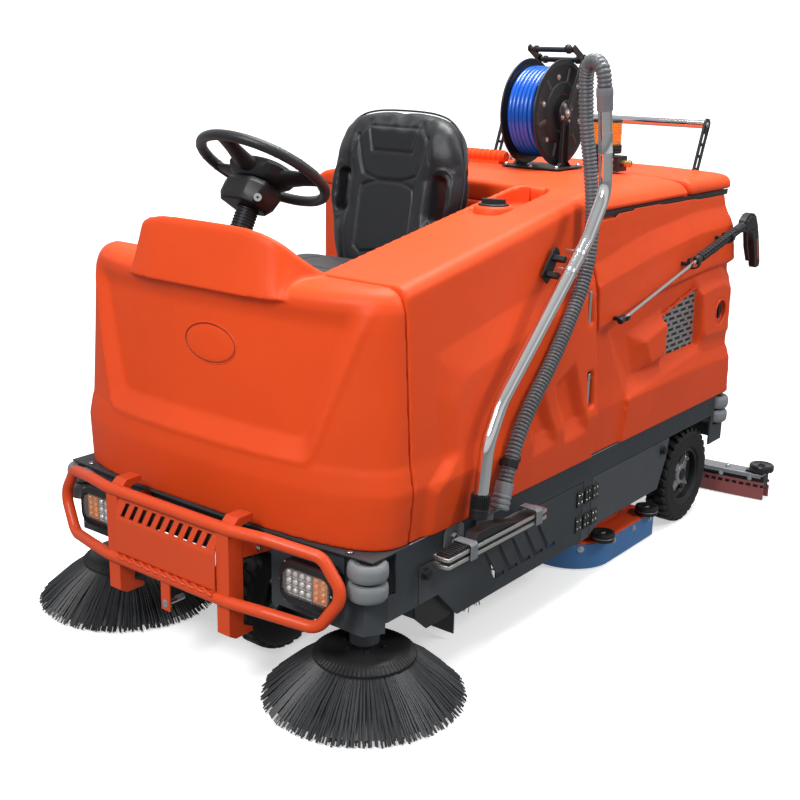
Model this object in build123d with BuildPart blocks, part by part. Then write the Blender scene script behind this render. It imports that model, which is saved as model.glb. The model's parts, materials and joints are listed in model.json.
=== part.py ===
from build123d import *
import math
import os

os.makedirs("parts", exist_ok=True)

# ---------------------------------------------------------------------------
# Ride-on sweeper-scrubber.  Millimetres, +Z up, floor at Z 0.
# The front of the machine faces -Y and its left side is +X.
# Lengthwise places are stations, counted rearwards from a datum ahead of the
# bumper; st() turns a station into Y.
# ---------------------------------------------------------------------------
MID = 3151.3            # station of the middle of the overall length
HALF_W = 580.0          # half width over the chassis side plates
DECK_Z = 443.7          # top of the chassis deck plate
DECK_T = 4.0
WALL = 8.0              # moulded shell thickness

S_FRONT = 2100.0        # front plate
S_COWL = 2250.0         # rear edge of the front cowl
S_BODY = 3150.0         # front of the rear body
S_LID = 3772.0          # seam between top cover and rear lid
S_REAR = 4160.0         # rear end of the chassis

TYRE_R = 175.6
TYRE_W = 85.0
AXLE_S = 3912.4         # rear axle station
WHEEL_X = 525.5         # rear wheel centre plane
FORK_S = 2280.0         # steering axis station
FORK_OFF = 100.0        # front wheel centre plane, left of the steering axis

BRUSH_X = 469.5         # side brush axis
BRUSH_S = 2210.6
BRUSH_R = 275.0
FLOOR_GAP = 3.0         # clearance of the bristle tips and blades

BROOM_S = 2800.0
BROOM_R = 148.0

DECK_S0, DECK_S1 = 3236.0, 3712.0   # scrub deck length
DECK_W = 548.0                      # half width over the scrub deck skirt
DISC_X, DISC_S, DISC_R = 268.0, 3474.0, 228.0

SQ_W = 713.0            # squeegee half width
SQ_S = 4329.0

STW = (0.0, 2334.0, 1327.0)         # steering wheel hub
STW_TILT = 33.0
STW_R = 175.0

TOW_R = 13.0            # rear towing pin hole
PIN_R = 8.0             # front threaded pin
GX = 620.0              # plane of the spray gun

REEL_X, REEL_S, REEL_Z, REEL_R = 52.0, 3650.0, 1440.0, 176.0


def st(s):
    return s - MID


def tank_top(s):
    """Height of the left tank's sloping top at a station."""
    return 1094.0 + (s - S_COWL) * 0.176


def mirror_x(p):
    return (-p[0],) + tuple(p[1:])


def save(p, name):
    p.label = name
    export_step(p, "parts/" + name + ".step")


# ---------------------------------------------------------------------------
# Chassis weldment
# ---------------------------------------------------------------------------
with BuildPart() as chassis_frame:
    # deck plate with a slightly bowed front edge
    with BuildSketch(Plane.XY.offset(DECK_Z - DECK_T)):
        with BuildLine():
            bow = ThreePointArc((-HALF_W, st(2104)), (0, st(2080)), (HALF_W, st(2104)))
            Polyline(bow @ 1, (HALF_W, st(S_REAR)), (-HALF_W, st(S_REAR)), bow @ 0)
        make_face()
    extrude(amount=DECK_T)
    # wrap-round front plate
    with BuildSketch(Plane.XY.offset(232)):
        with BuildLine():
            Polyline((580, st(2290)), (580, st(2165)), (548, st(2108)), (-548, st(2108)),
                     (-580, st(2165)), (-580, st(2290)), (-575, st(2290)), (-575, st(2167)),
                     (-545, st(2113)), (545, st(2113)), (575, st(2167)), (575, st(2290)),
                     (580, st(2290)))
        make_face()
    extrude(amount=DECK_Z - DECK_T - 232)
    # pockets for the corner rollers, front steering arch, raised side edge
    for sx in (-1, 1):
        with BuildSketch(Plane.XY.offset(330)):
            with Locations((sx * 550, st(2140))):
                Rectangle(130, 110)
        extrude(amount=DECK_Z - DECK_T - 330, mode=Mode.SUBTRACT)
        with BuildSketch(Plane.XY.offset(220)):
            with Locations((sx * 577, st(2240))):
                Rectangle(20, 160)
        extrude(amount=41, mode=Mode.SUBTRACT)
    with BuildSketch(Plane.XY.offset(220)):
        with Locations((0, st(2110))):
            Rectangle(470, 20)
    extrude(amount=150, mode=Mode.SUBTRACT)
    # roller shelves and pins
    for sx in (-1, 1):
        with BuildSketch(Plane.XY.offset(324)):
            with BuildLine():
                Polyline((sx * 480, st(2112)), (sx * 575, st(2112)), (sx * 578, st(2196)),
                         (sx * 480, st(2196)), (sx * 480, st(2112)))
            make_face()
        extrude(amount=6)
        with BuildSketch(Plane.XY.offset(324)):
            with Locations((sx * 548, st(2124))):
                Circle(8)
        extrude(amount=DECK_Z - 324)
    # side bands above the lower doors
    for sx in (-1, 1):
        with BuildSketch(Plane.XY.offset(371.5)):
            with Locations((sx * 577, st((2288 + 4054) / 2))):
                Rectangle(6, 4054 - 2288)
        extrude(amount=DECK_Z - DECK_T - 371.5)
        # hinge post between the lower doors
        with BuildSketch(Plane.XY.offset(171)):
            with Locations((sx * 577, st(3155))):
                Rectangle(6, 52)
        extrude(amount=201)
        # rear corner plate
        with BuildSketch(Plane.XY.offset(260)):
            with Locations((sx * 577, st((4052 + S_REAR) / 2))):
                Rectangle(6, S_REAR - 4052)
        extrude(amount=DECK_Z - DECK_T - 260)
        # front post beside the front lower door
        with BuildSketch(Plane.XY.offset(371.5)):
            with Locations((sx * 560, st(2700))):
                Rectangle(30, 20)
        extrude(amount=DECK_Z - DECK_T - 371.5)
        # main rails
        with BuildSketch(Plane.XY.offset(400)):
            with Locations((sx * 330, st((2112 + S_REAR - 3) / 2))):
                Rectangle(50, S_REAR - 3 - 2112)
        extrude(amount=DECK_Z - DECK_T - 400)
        # axle hangers
        with BuildSketch(Plane.XY.offset(205.6)):
            with Locations((sx * 330, st(AXLE_S))):
                Rectangle(12, 110)
        extrude(amount=195)
    # rear plate
    with BuildSketch(Plane.XY.offset(260)):
        with Locations((0, st(S_REAR - 3))):
            Rectangle(2 * HALF_W, 6)
    extrude(amount=DECK_Z - DECK_T - 260)
    # cross members
    for s in (2530, 3155, 3760, 4100):
        with BuildSketch(Plane.XY.offset(405)):
            with Locations((0, st(s))):
                Rectangle(2 * 574, 40)
        extrude(amount=DECK_Z - DECK_T - 405)
    # lower cross tube carrying the hinge posts
    with BuildSketch(Plane.XY.offset(300)):
        with Locations((0, st(3155))):
            Rectangle(2 * 574 + 2, 30)
    extrude(amount=30)
    for sx in (-1, 1):
        with BuildSketch(Plane.XY.offset(325)):
            with Locations((sx * 330, st(3155))):
                Rectangle(40, 24)
        extrude(amount=90)
    # pockets, shelves and pins of the rear rollers
    for sx in (-1, 1):
        with BuildSketch(Plane.XY.offset(328)):
            with Locations((sx * 560, st(4132))):
                Rectangle(110, 116)
        extrude(amount=DECK_Z - DECK_T - 328, mode=Mode.SUBTRACT)
        with BuildSketch(Plane.XY.offset(321)):
            with Locations((sx * 548, st(4126))):
                Rectangle(56, 64)
        extrude(amount=6)
        with BuildSketch(Plane.XY.offset(322)):
            with Locations((sx * 560, st(4128))):
                Circle(8)
        extrude(amount=DECK_Z - 323)
    # steering head under the deck plate
    with BuildSketch(Plane.XY.offset(412)):
        with Locations((0, st(FORK_S))):
            Rectangle(640, 60)
    extrude(amount=DECK_Z - DECK_T - 411)
    with BuildSketch(Plane.XY.offset(405)):
        with Locations((0, st(FORK_S))):
            Circle(70)
    extrude(amount=DECK_Z - DECK_T - 404)
    # pivot pins and lugs of the side brush arms
    for sx in (-1, 1):
        with BuildSketch(Plane.YZ.offset(sx * 440 - 50)):
            with Locations((st(2480), 214)):
                Circle(8.5)
        extrude(amount=100)
        for off in (-52, 44):
            with BuildSketch(Plane.YZ.offset(sx * 440 + off)):
                with BuildLine():
                    Polyline((st(2455), 200), (st(2505), 200), (st(2545), 408), (st(2515), 408),
                             (st(2455), 232), (st(2455), 200))
                make_face()
            extrude(amount=8)
    # squeegee pivot pin and its lugs
    with BuildSketch(Plane.YZ.offset(-228)):
        with Locations((st(4098), 252)):
            Circle(8.5)
    extrude(amount=456)
    for x0 in (-230, 222):
        with BuildSketch(Plane.YZ.offset(x0)):
            with BuildLine():
                Polyline((st(4080), 236), (st(4116), 236), (st(4118), 408), (st(4082), 408),
                         (st(4080), 236))
            make_face()
        extrude(amount=8)
    # drive and brake pedals on the floor plate
    for px, pw in ((-95, 90), (70, 60)):
        with BuildSketch(Plane.YZ.offset(px - pw / 2)):
            with BuildLine():
                Polyline((st(2302), DECK_Z - 1), (st(2204), 530), (st(2196), 524),
                         (st(2282), DECK_Z - 1), (st(2302), DECK_Z - 1))
            make_face()
        extrude(amount=pw)
    # rear towing lug with its pin hole
    with BuildSketch(Plane.XY.offset(372)):
        with BuildLine():
            Polyline((-40, st(4156)), (-30, st(4220)), (30, st(4220)), (40, st(4156)),
                     (-40, st(4156)))
        make_face()
        with Locations((0, st(4192))):
            Circle(TOW_R, mode=Mode.SUBTRACT)
    extrude(amount=12)
save(chassis_frame.part, "chassis_frame")

# ---------------------------------------------------------------------------
# Bumper guard: bent tube ring, two folded uprights and a pressed panel
# ---------------------------------------------------------------------------
ring_top = [(0, st(1959), 481), (236, st(1959), 481), (335, st(1982), 478), (478, st(2034), 452),
            (541, st(2044), 364), (473, st(2022), 264), (335, st(1975), 282), (236, st(1955), 285),
            (0, st(1955), 285)]
with BuildPart() as bumper_guard:
    with BuildLine() as ring:
        FilletPolyline(*ring_top, radius=[60, 60, 48, 55, 48, 60, 60])
    with BuildSketch(Plane(origin=ring_top[0], z_dir=(1, 0, 0))):
        Circle(16)
    sweep(path=ring.line)
    # upright: folded channel with hooked ends
    with BuildSketch(Plane.YZ.offset(191)):
        with BuildLine():
            Polyline((st(1952), 190), (st(1952), 470), (st(1990), 504), (st(2041), 504),
                     (st(2041), 492), (st(2004), 480), (st(2004), 205), (st(2036), 186),
                     (st(2036), 176), (st(1975), 176), (st(1952), 190))
        make_face()
    extrude(amount=45)
    # hollow of the channel, open to the rear
    with BuildSketch(Plane.YZ.offset(196)):
        with BuildLine():
            Polyline((st(1982), 205), (st(1982), 472), (st(1998), 490), (st(2060), 490),
                     (st(2060), 190), (st(1998), 190), (st(1982), 205))
        make_face()
    extrude(amount=35, mode=Mode.SUBTRACT)
    # bolted tab back to the front plate
    with BuildSketch(Plane.YZ.offset(231)):
        with BuildLine():
            Polyline((st(2000), 392), (st(2107.4), 380), (st(2107.4), 437), (st(2000), 437),
                     (st(2000), 392))
        make_face()
    extrude(amount=5)
    mirror(about=Plane.YZ)
    # two tubes through the channels
    with BuildSketch(Plane.YZ.offset(-240)):
        with Locations((st(1959), 481), (st(1955), 285)):
            Circle(16)
    extrude(amount=480)
    # centre panel: slanted lower edge, upright part and slanted top part
    with BuildSketch(Plane.YZ.offset(-192)):
        with BuildLine():
            Polyline((st(1945), 309), (st(1945), 408), (st(1960), 468), (st(1966), 468),
                     (st(1950), 406), (st(1950), 310), (st(1961), 289), (st(1955), 289),
                     (st(1945), 309))
        make_face()
    extrude(amount=384)
    # strap and forward pin below the lower tube
    with BuildSketch(Plane.XZ.offset(-st(1952))):
        with Locations((0, 236)):
            Rectangle(34, 88)
    extrude(amount=-6)
    with BuildSketch(Plane.XZ.offset(-st(1944))):
        with Locations((0, 212)):
            Circle(PIN_R)
    extrude(amount=-66)
save(bumper_guard.part, "bumper_guard")

# ---------------------------------------------------------------------------
# Headlamps let into the front plate
# ---------------------------------------------------------------------------
with BuildPart() as headlights:
    with BuildSketch(Plane.XZ.offset(-st(2054))):
        with Locations((400, 340), (-400, 340)):
            RectangleRounded(182, 122, 38)
    extrude(amount=-(2107.5 - 2054))
    fillet(headlights.edges().group_by(Axis.Y)[0], 8)
save(headlights.part, "headlights")

# ---------------------------------------------------------------------------
# Corner guide rollers
# ---------------------------------------------------------------------------
ROLLERS = {"corner_roller_front_left": (548, 2124), "corner_roller_front_right": (-548, 2124),
           "corner_roller_rear_left": (560, 4128), "corner_roller_rear_right": (-560, 4128)}
for rname, (rx, rs) in ROLLERS.items():
    rr = 52 if "front" in rname else 46
    with BuildPart() as corner_roller:
        with BuildSketch(Plane(origin=(rx, st(rs), 0), x_dir=(1, 0, 0), z_dir=(0, -1, 0))):
            with BuildLine():
                Polyline((9.5, 333), (rr - 10, 333), (rr, 343), (rr, 373), (rr - 8, 380),
                         (rr - 14, 384), (rr - 8, 388), (rr, 395), (rr, 425), (rr - 10, 435),
                         (9.5, 435), (9.5, 333))
            make_face()
        revolve(axis=Axis((rx, st(rs), 0), (0, 0, 1)))
    save(corner_roller.part, rname)

# ---------------------------------------------------------------------------
# Front cowl: lofted moulding, open to the rear, with a recessed front panel
# ---------------------------------------------------------------------------
# height, half width, front station at the centre, bow of the front, corner radius
COWL = [(444.0, 576.0, 2086.0, 22.0, 96.0), (588.0, 590.0, 2068.0, 24.0, 108.0),
        (655.0, 579.0, 2071.0, 26.0, 112.0), (1052.0, 553.0, 2086.0, 34.0, 118.0),
        (1078.0, 544.0, 2096.0, 34.0, 112.0), (1092.0, 522.0, 2118.0, 34.0, 92.0)]


def cowl_face(z, w, f, b, r, t):
    """Plan outline of the cowl at one height, set in by t."""
    with BuildSketch(Plane.XY.offset(z)) as sk:
        with BuildLine():
            a = ThreePointArc((-(w - t), st(f + b + t)), (0, st(f + t)), (w - t, st(f + b + t)))
            Polyline(a @ 1, (w - t, st(S_COWL) + t), (-(w - t), st(S_COWL) + t), a @ 0)
        make_face()
        fillet(sk.vertices().group_by(Axis.Y)[0], r - t)
    return sk.sketch


def recess(t):
    """Frustum of the recess in the front panel, set out by t."""
    with BuildPart() as rc:
        with BuildSketch(Plane.XZ.offset(-st(2112 + t))):
            with BuildLine():
                Polyline((-300 - t, 722 - t), (300 + t, 722 - t), (352 + t, 1000 + t),
                         (-352 - t, 1000 + t), (-300 - t, 722 - t))
            make_face()
        with BuildSketch(Plane.XZ.offset(-st(2050))):
            with BuildLine():
                Polyline((-372 - t, 640 - t), (372 + t, 640 - t), (430 + t, 1010 + t),
                         (-430 - t, 1010 + t), (-372 - t, 640 - t))
            make_face()
        loft(ruled=True)
    return rc.part


with BuildPart() as cowl_hollow:
    for lo, hi in zip(COWL[:-2], COWL[1:-1]):
        loft(sections=[cowl_face(*lo, WALL), cowl_face(*hi, WALL)], ruled=True)
    with BuildSketch(Plane.XY.offset(430)):
        add(cowl_face(430, *COWL[0][1:], WALL))
    extrude(amount=14.1)
    add(recess(WALL), mode=Mode.SUBTRACT)

with BuildPart() as front_cowl:
    for lo, hi in zip(COWL[:-1], COWL[1:]):
        loft(sections=[cowl_face(*lo, 0), cowl_face(*hi, 0)], ruled=True)
    # raised dash hood
    with BuildSketch(Plane.YZ.offset(-272)):
        with BuildLine():
            Polyline((st(2076), 1070), (st(2103), 1206), (st(2108), 1212), (st(2116), 1212),
                     (st(S_COWL), 1098), (st(S_COWL), 1070), (st(2076), 1070))
        make_face()
    extrude(amount=544)
    for sx in (-1, 1):
        with BuildSketch(Plane.XY.offset(1093)):
            with BuildLine():
                Polyline((sx * 214, st(2040)), (sx * 214, st(2104)), (sx * 240, st(2170)),
                         (sx * 272, st(S_COWL)), (sx * 300, st(S_COWL + 1)), (sx * 300, st(2040)),
                         (sx * 214, st(2040)))
            make_face()
        extrude(amount=140, mode=Mode.SUBTRACT)
    add(recess(0), mode=Mode.SUBTRACT)
    # inside of the hood
    with BuildSketch(Plane.YZ.offset(-206)):
        with BuildLine():
            Polyline((st(2094), 1040), (st(2114), 1194), (st(2126), 1194), (st(2262), 1088),
                     (st(2262), 1040), (st(2094), 1040))
        make_face()
    extrude(amount=412, mode=Mode.SUBTRACT)
    with BuildSketch(Plane.YZ.offset(-206)):
        with BuildLine():
            Polyline((st(2124), 1190), (st(2124), 1230), (st(2262), 1130), (st(2262), 1080),
                     (st(2124), 1190))
        make_face()
    extrude(amount=412, mode=Mode.SUBTRACT)
    add(cowl_hollow.part, mode=Mode.SUBTRACT)
save(front_cowl.part, "front_cowl")

# ---------------------------------------------------------------------------
# Left tank with its filler
# ---------------------------------------------------------------------------
FILL = (340.0, 2925.0)
with BuildPart() as left_tank:
    with BuildSketch(Plane.XZ.offset(-st(S_COWL + 2))):
        with BuildLine():
            Polyline((272, 444), (576, 444), (590, 588), (579, 655), (553, 1060), (541, 1300),
                     (272, 1300), (272, 444))
        make_face()
    extrude(amount=-(S_BODY - 2 - S_COWL - 2))
    # sloping top
    with BuildSketch(Plane.YZ.offset(200)):
        with BuildLine():
            Polyline((st(S_COWL - 10), tank_top(S_COWL - 10)),
                     (st(S_BODY + 10), tank_top(S_BODY + 10)), (st(S_BODY + 10), 1400),
                     (st(S_COWL - 10), 1400), (st(S_COWL - 10), tank_top(S_COWL - 10)))
        make_face()
    extrude(amount=500, mode=Mode.SUBTRACT)
    top_edges = left_tank.faces().sort_by(Axis.Z)[-1].edges()
    fillet(top_edges.sort_by(Axis.X)[-1], 34)
    # sunk filler recess and neck
    with BuildSketch(Plane.XY.offset(tank_top(FILL[1]) - 22)):
        with Locations((350, st(2985))):
            SlotOverall(330, 120, rotation=90)
    extrude(amount=120, mode=Mode.SUBTRACT)
    with BuildSketch(Plane.XY.offset(tank_top(FILL[1]) - 24)):
        with Locations((FILL[0], st(FILL[1]))):
            Circle(52)
    extrude(amount=20)
    # arm and pockets are outside relief; the body stays closed
save(left_tank.part, "left_tank")

with BuildPart() as filler_cap:
    with BuildSketch(Plane.XY.offset(tank_top(FILL[1]) - 4)):
        with Locations((FILL[0], st(FILL[1]))):
            Circle(44)
    extrude(amount=10)
    with BuildSketch(Plane.XY.offset(tank_top(FILL[1]) + 6)):
        with Locations((FILL[0], st(FILL[1]))):
            Circle(40)
    extrude(amount=8)
    with BuildSketch(Plane.XY.offset(tank_top(FILL[1]) + 14)):
        with Locations((FILL[0], st(FILL[1]))):
            SlotOverall(70, 14, rotation=20)
    extrude(amount=9)
save(filler_cap.part, "filler_cap")

# ---------------------------------------------------------------------------
# Operator's place
# ---------------------------------------------------------------------------
with BuildPart() as seat_base:
    with BuildSketch(Plane.XY.offset(DECK_Z)):
        with Locations((-12, st((2520 + 3146) / 2))):
            Rectangle(560, 3146 - 2520)
    extrude(amount=870 - DECK_Z)
    fillet(seat_base.edges().filter_by(Axis.Z).group_by(Axis.Y)[0], 40)
    fillet(seat_base.faces().sort_by(Axis.Z)[-1].edges(), 12)
    # slide rails of the seat
    for rx in (-150, 150):
        with BuildSketch(Plane.XY.offset(869)):
            with Locations((rx, st(2670))):
                Rectangle(40, 250)
        extrude(amount=56)
save(seat_base.part, "seat_base")

with BuildPart() as seat_cushion:
    with BuildSketch(Plane.XY.offset(925)):
        with Locations((0, st(2596))):
            RectangleRounded(480, 400, 70)
    extrude(amount=112)
    fillet(seat_cushion.faces().sort_by(Axis.Z)[-1].edges(), 38)
save(seat_cushion.part, "seat_cushion")

# seat back: shell leaning back, with an opening each side
BACK_LEAN = 10.0
back_plane = Plane(origin=(0, st(2822), 1020), x_dir=(1, 0, 0),
                   z_dir=(0, -math.cos(math.radians(BACK_LEAN)), math.sin(math.radians(BACK_LEAN))))
with BuildPart() as seat_back:
    with BuildSketch(back_plane):
        with BuildLine():
            Spline((-165, -60), (-218, 60), (-250, 230), (-215, 395), (-110, 452), (0, 458),
                   (110, 452), (215, 395), (250, 230), (218, 60), (165, -60))
            Line((165, -60), (-165, -60))
        make_face()
    extrude(amount=-105)
    fillet(seat_back.faces().filter_by(GeomType.PLANE).sort_by(SortBy.AREA)[-2:].edges(), 26)
    with BuildSketch(back_plane.offset(30)):
        with Locations((-194, 205), (194, 205)):
            SlotOverall(150, 44, rotation=90)
    extrude(amount=-180, mode=Mode.SUBTRACT)
save(seat_back.part, "seat_back")

# ---------------------------------------------------------------------------
# Steering column and wheel
# ---------------------------------------------------------------------------
tl = math.radians(STW_TILT)
col_dir = (0.0, math.sin(tl), math.cos(tl))       # up the column, towards the driver
hub = Vector(STW[0], st(STW[1]), STW[2])
col_top = hub - Vector(*col_dir) * 34
# the column leans less than the wheel: its foot sits in the dash hood
col_foot = Vector(0, st(2218), 1120)
with BuildPart() as steering_column:
    cdir = (col_top - Vector(*col_dir) * 30) - col_foot
    with BuildSketch(Plane(origin=col_foot, z_dir=cdir)):
        Circle(30)
    extrude(amount=cdir.length)
    with BuildSketch(Plane(origin=col_top - Vector(*col_dir) * 46, z_dir=col_dir)):
        Circle(34)
    extrude(amount=45)
    # bracket plate on the instrument panel
    with BuildSketch(Plane.YZ.offset(-60)):
        with BuildLine():
            Polyline((st(2160), 1166.8), (st(2256), 1092), (st(2256), 1102), (st(2164), 1175),
                     (st(2160), 1166.8))
        make_face()
    extrude(amount=120)
save(steering_column.part, "steering_column")

# black instrument panel lying in the back of the hood
with BuildPart() as dash_panel:
    with BuildSketch(Plane.YZ.offset(-205)):
        with BuildLine():
            Polyline((st(2126), 1193), (st(2262), 1087), (st(2262), 1079), (st(2126), 1184),
                     (st(2126), 1193))
        make_face()
    extrude(amount=410)
    # hole for the steering column
    with BuildSketch(Plane(origin=col_foot - cdir.normalized() * 60, z_dir=cdir)):
        Circle(32)
    extrude(amount=140, mode=Mode.SUBTRACT)
save(dash_panel.part, "dash_panel")

wheel_plane = Plane(origin=hub, x_dir=(1, 0, 0), z_dir=col_dir)
with BuildPart() as steering_wheel:
    # rim
    with BuildSketch(Plane(origin=hub + wheel_plane.x_dir * STW_R, x_dir=(1, 0, 0),
                           z_dir=wheel_plane.y_dir)):
        Circle(14)
    revolve(axis=Axis(hub, Vector(*col_dir)))
    # hub boss
    with BuildSketch(wheel_plane.offset(-33)):
        Circle(56)
    extrude(amount=47)
    # three spokes
    with BuildSketch(wheel_plane.offset(-20)):
        with Locations((-108, 0), (108, 0)):
            Rectangle(128, 46)
        with Locations((0, -108)):
            Rectangle(44, 128)
    extrude(amount=17)
save(steering_wheel.part, "steering_wheel")

# ---------------------------------------------------------------------------
# Rear body: recovery tank over the battery bay, covers and doors
# ---------------------------------------------------------------------------
with BuildPart() as recovery_tank:
    with BuildSketch(Plane.XY.offset(DECK_Z)) as rsk:
        with BuildLine():
            Polyline((541, st(S_BODY)), (541, st(4086)), (-541, st(4086)), (-541, st(3285)),
                     (-568, st(3285)), (-568, st(S_BODY)), (541, st(S_BODY)))
        make_face()
        fillet(rsk.vertices().sort_by(Axis.X)[:2].sort_by(Axis.Y)[0], 120)
    extrude(amount=1190 - DECK_Z)
    # battery bay, open to both sides behind the doors
    with BuildSketch(Plane.XY.offset(DECK_Z)):
        with Locations((0, st((3192 + 4046) / 2))):
            Rectangle(1200, 4046 - 3192)
    extrude(amount=760 - DECK_Z, mode=Mode.SUBTRACT)
    with BuildSketch(Plane.XY.offset(DECK_Z)):
        with Locations((-538, st((3180 + 3285) / 2))):
            Rectangle(60, 3285 - 3180)
    extrude(amount=762 - DECK_Z)
    # waisted rear panel
    with BuildSketch(Plane.YZ.offset(-541)):
        with BuildLine():
            Polyline((st(4060), DECK_Z), (st(4158), DECK_Z), (st(4118), 640), (st(4150), 830),
                     (st(4112), 1060), (st(4080), 1176), (st(4060), 1176), (st(4060), DECK_Z))
        make_face()
    extrude(amount=1082)
save(recovery_tank.part, "recovery_tank")

with BuildPart() as battery_block:
    with BuildSketch(Plane.XY.offset(DECK_Z)):
        with Locations((0, st(3610))):
            Rectangle(760, 560)
    extrude(amount=270)
save(battery_block.part, "battery_block")

def crown(z_side, z_mid, w, drop, s0, s1):
    """Crowned cover solid between two stations."""
    with BuildPart() as cr:
        with BuildSketch(Plane.XZ.offset(-st(s0))):
            with BuildLine():
                Spline((-w, z_side), (-w * 0.8, z_mid - 12), (0, z_mid), (w * 0.8, z_mid - 12),
                       (w, z_side))
                Polyline((w, z_side), (w, z_side - drop), (-w, z_side - drop), (-w, z_side))
            make_face()
        extrude(amount=-(s1 - s0))
    return cr.part


with BuildPart() as top_cover:
    add(crown(1212, 1252, 556, 21, S_BODY + 2, S_LID))
    # ribbed hinge barrel standing on the crown
    with BuildSketch(Plane.YZ.offset(-420)):
        with Locations((st(REEL_S + 10), 1277)):
            Circle(20)
    extrude(amount=320)
    with BuildSketch(Plane.YZ.offset(-400)):
        with BuildLine():
            Polyline((st(REEL_S - 14), 1230), (st(REEL_S + 34), 1230), (st(REEL_S + 24), 1272),
                     (st(REEL_S - 4), 1272), (st(REEL_S - 14), 1230))
        make_face()
    extrude(amount=280)
    with BuildSketch(Plane.YZ.offset(-430)):
        with Locations((st(REEL_S + 10), 1277)):
            Circle(5)
    extrude(amount=345)
save(top_cover.part, "top_cover")

with BuildPart() as rear_lid:
    add(crown(1206, 1250, 556, 16, S_LID + 6, 4098))
    with BuildSketch(Plane.XY.offset(1180)):
        with Locations((0, st(4240))):
            Rectangle(1300, 300)
    fillet(rear_lid.edges().filter_by(Axis.X).sort_by(Axis.Y)[-2:].sort_by(Axis.Z)[0:1], 4)
save(rear_lid.part, "rear_lid")


def side_door(sx, s0, s1):
    """Thick moulded door: outline in side view, waisted section."""
    with BuildPart() as dr:
        # vertical section: outer waisted line, inner flat
        with BuildSketch(Plane.XZ.offset(-st(s0))):
            with BuildLine():
                Polyline((sx * 546, 447), (sx * 578, 447), (sx * 587, 588), (sx * 579, 655),
                         (sx * 557, 1060), (sx * 548, 1196), (sx * 546, 1196), (sx * 546, 447))
            make_face()
        extrude(amount=-(4170 - s0))
        # rear and top outline
        with BuildSketch(Plane.YZ.offset(400 if sx > 0 else -700)):
            with BuildLine():
                Polyline((st(s0 - 5), 440), (st(4159), 440), (st(4159), 447), (st(4112), 649),
                         (st(4148), 835), (st(4107), 1067), (st(4060), 1168), (st(3460), 1182),
                         (st(s0 - 5), 1172), (st(s0 - 5), 440))
            make_face()
        extrude(amount=300, mode=Mode.INTERSECT)
    return dr.part


with BuildPart() as rear_door_left:
    add(side_door(1, S_BODY, 4159))
    # clips holding the spray gun
    for s, z, x0 in ((3245, 876, 565), (3700, 986, 559), (3960, 1043, 556)):
        with BuildSketch(Plane.YZ.offset(x0)):
            with Locations((st(s), z)):
                RectangleRounded(26, 52, 5)
        extrude(amount=5)
        with BuildSketch(Plane.YZ.offset(x0 + 5)):
            with Locations((st(s), z)):
                Rectangle(20, 20)
        extrude(amount=GX - x0 - 5 - (14 if s < 3600 else 19))
save(rear_door_left.part, "rear_door_left")
with BuildPart() as rear_door_right:
    add(side_door(-1, 3290, 4159))
save(rear_door_right.part, "rear_door_right")

# ---------------------------------------------------------------------------
# Equipment on the covers
# ---------------------------------------------------------------------------
with BuildPart() as reel_frame:
    # foot plate
    with BuildSketch(Plane.XY.offset(1256.2)):
        with Locations((REEL_X, st(REEL_S))):
            RectangleRounded(230, 180, 10)
    extrude(amount=5)
    # two pedestals with hub plates
    for px in (REEL_X + 76, REEL_X - 81):
        with BuildSketch(Plane.YZ.offset(px)):
            with BuildLine():
                Polyline((st(REEL_S - 45), 1260), (st(REEL_S - 24), 1274), (st(REEL_S - 18), REEL_Z),
                         (st(REEL_S + 18), REEL_Z), (st(REEL_S + 24), 1274), (st(REEL_S + 45), 1260),
                         (st(REEL_S - 45), 1260))
            make_face()
            with Locations((st(REEL_S), REEL_Z)):
                Circle(36)
        extrude(amount=5)
    # axle
    with BuildSketch(Plane.YZ.offset(REEL_X - 80)):
        with Locations((st(REEL_S), REEL_Z)):
            Circle(9)
    extrude(amount=160)
    # guide arms and roller head, leaning up and back
    for px in (REEL_X + 81, REEL_X - 86):
        with BuildSketch(Plane.YZ.offset(px)):
            with BuildLine():
                Polyline((st(REEL_S - 20), REEL_Z - 16), (st(REEL_S + 20), REEL_Z - 20),
                         (st(REEL_S + 112), REEL_Z + 172), (st(REEL_S + 84), REEL_Z + 184),
                         (st(REEL_S - 20), REEL_Z - 16))
            make_face()
        extrude(amount=5)
    for ds, dz in ((93, 172), (30, 205)):
        with BuildSketch(Plane.YZ.offset(REEL_X - 84)):
            with Locations((st(REEL_S + ds), REEL_Z + dz)):
                Circle(9)
        extrude(amount=168)
    for px in (REEL_X + 81, REEL_X - 86):
        with BuildSketch(Plane.YZ.offset(px)):
            with BuildLine():
                Polyline((st(REEL_S + 112), REEL_Z + 172), (st(REEL_S + 96), REEL_Z + 158),
                         (st(REEL_S + 18), REEL_Z + 196), (st(REEL_S + 28), REEL_Z + 218),
                         (st(REEL_S + 112), REEL_Z + 172))
            make_face()
        extrude(amount=5)
save(reel_frame.part, "reel_frame")

with BuildPart() as reel_drum:
    for px in (REEL_X + 62, REEL_X - 66):
        with BuildSketch(Plane.YZ.offset(px)):
            with Locations((st(REEL_S), REEL_Z)):
                Circle(REEL_R)
                Circle(10, mode=Mode.SUBTRACT)
        extrude(amount=4)
    with BuildSketch(Plane.YZ.offset(REEL_X - 64)):
        with Locations((st(REEL_S), REEL_Z)):
            Circle(96)
            Circle(88, mode=Mode.SUBTRACT)
    extrude(amount=128)
save(reel_drum.part, "reel_drum")

with BuildPart() as reel_hose:
    with BuildSketch(Plane.YZ.offset(REEL_X - 61.5)):
        with Locations((st(REEL_S), REEL_Z)):
            Circle(152)
            Circle(96.2, mode=Mode.SUBTRACT)
    extrude(amount=123)
save(reel_hose.part, "reel_hose")

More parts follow.
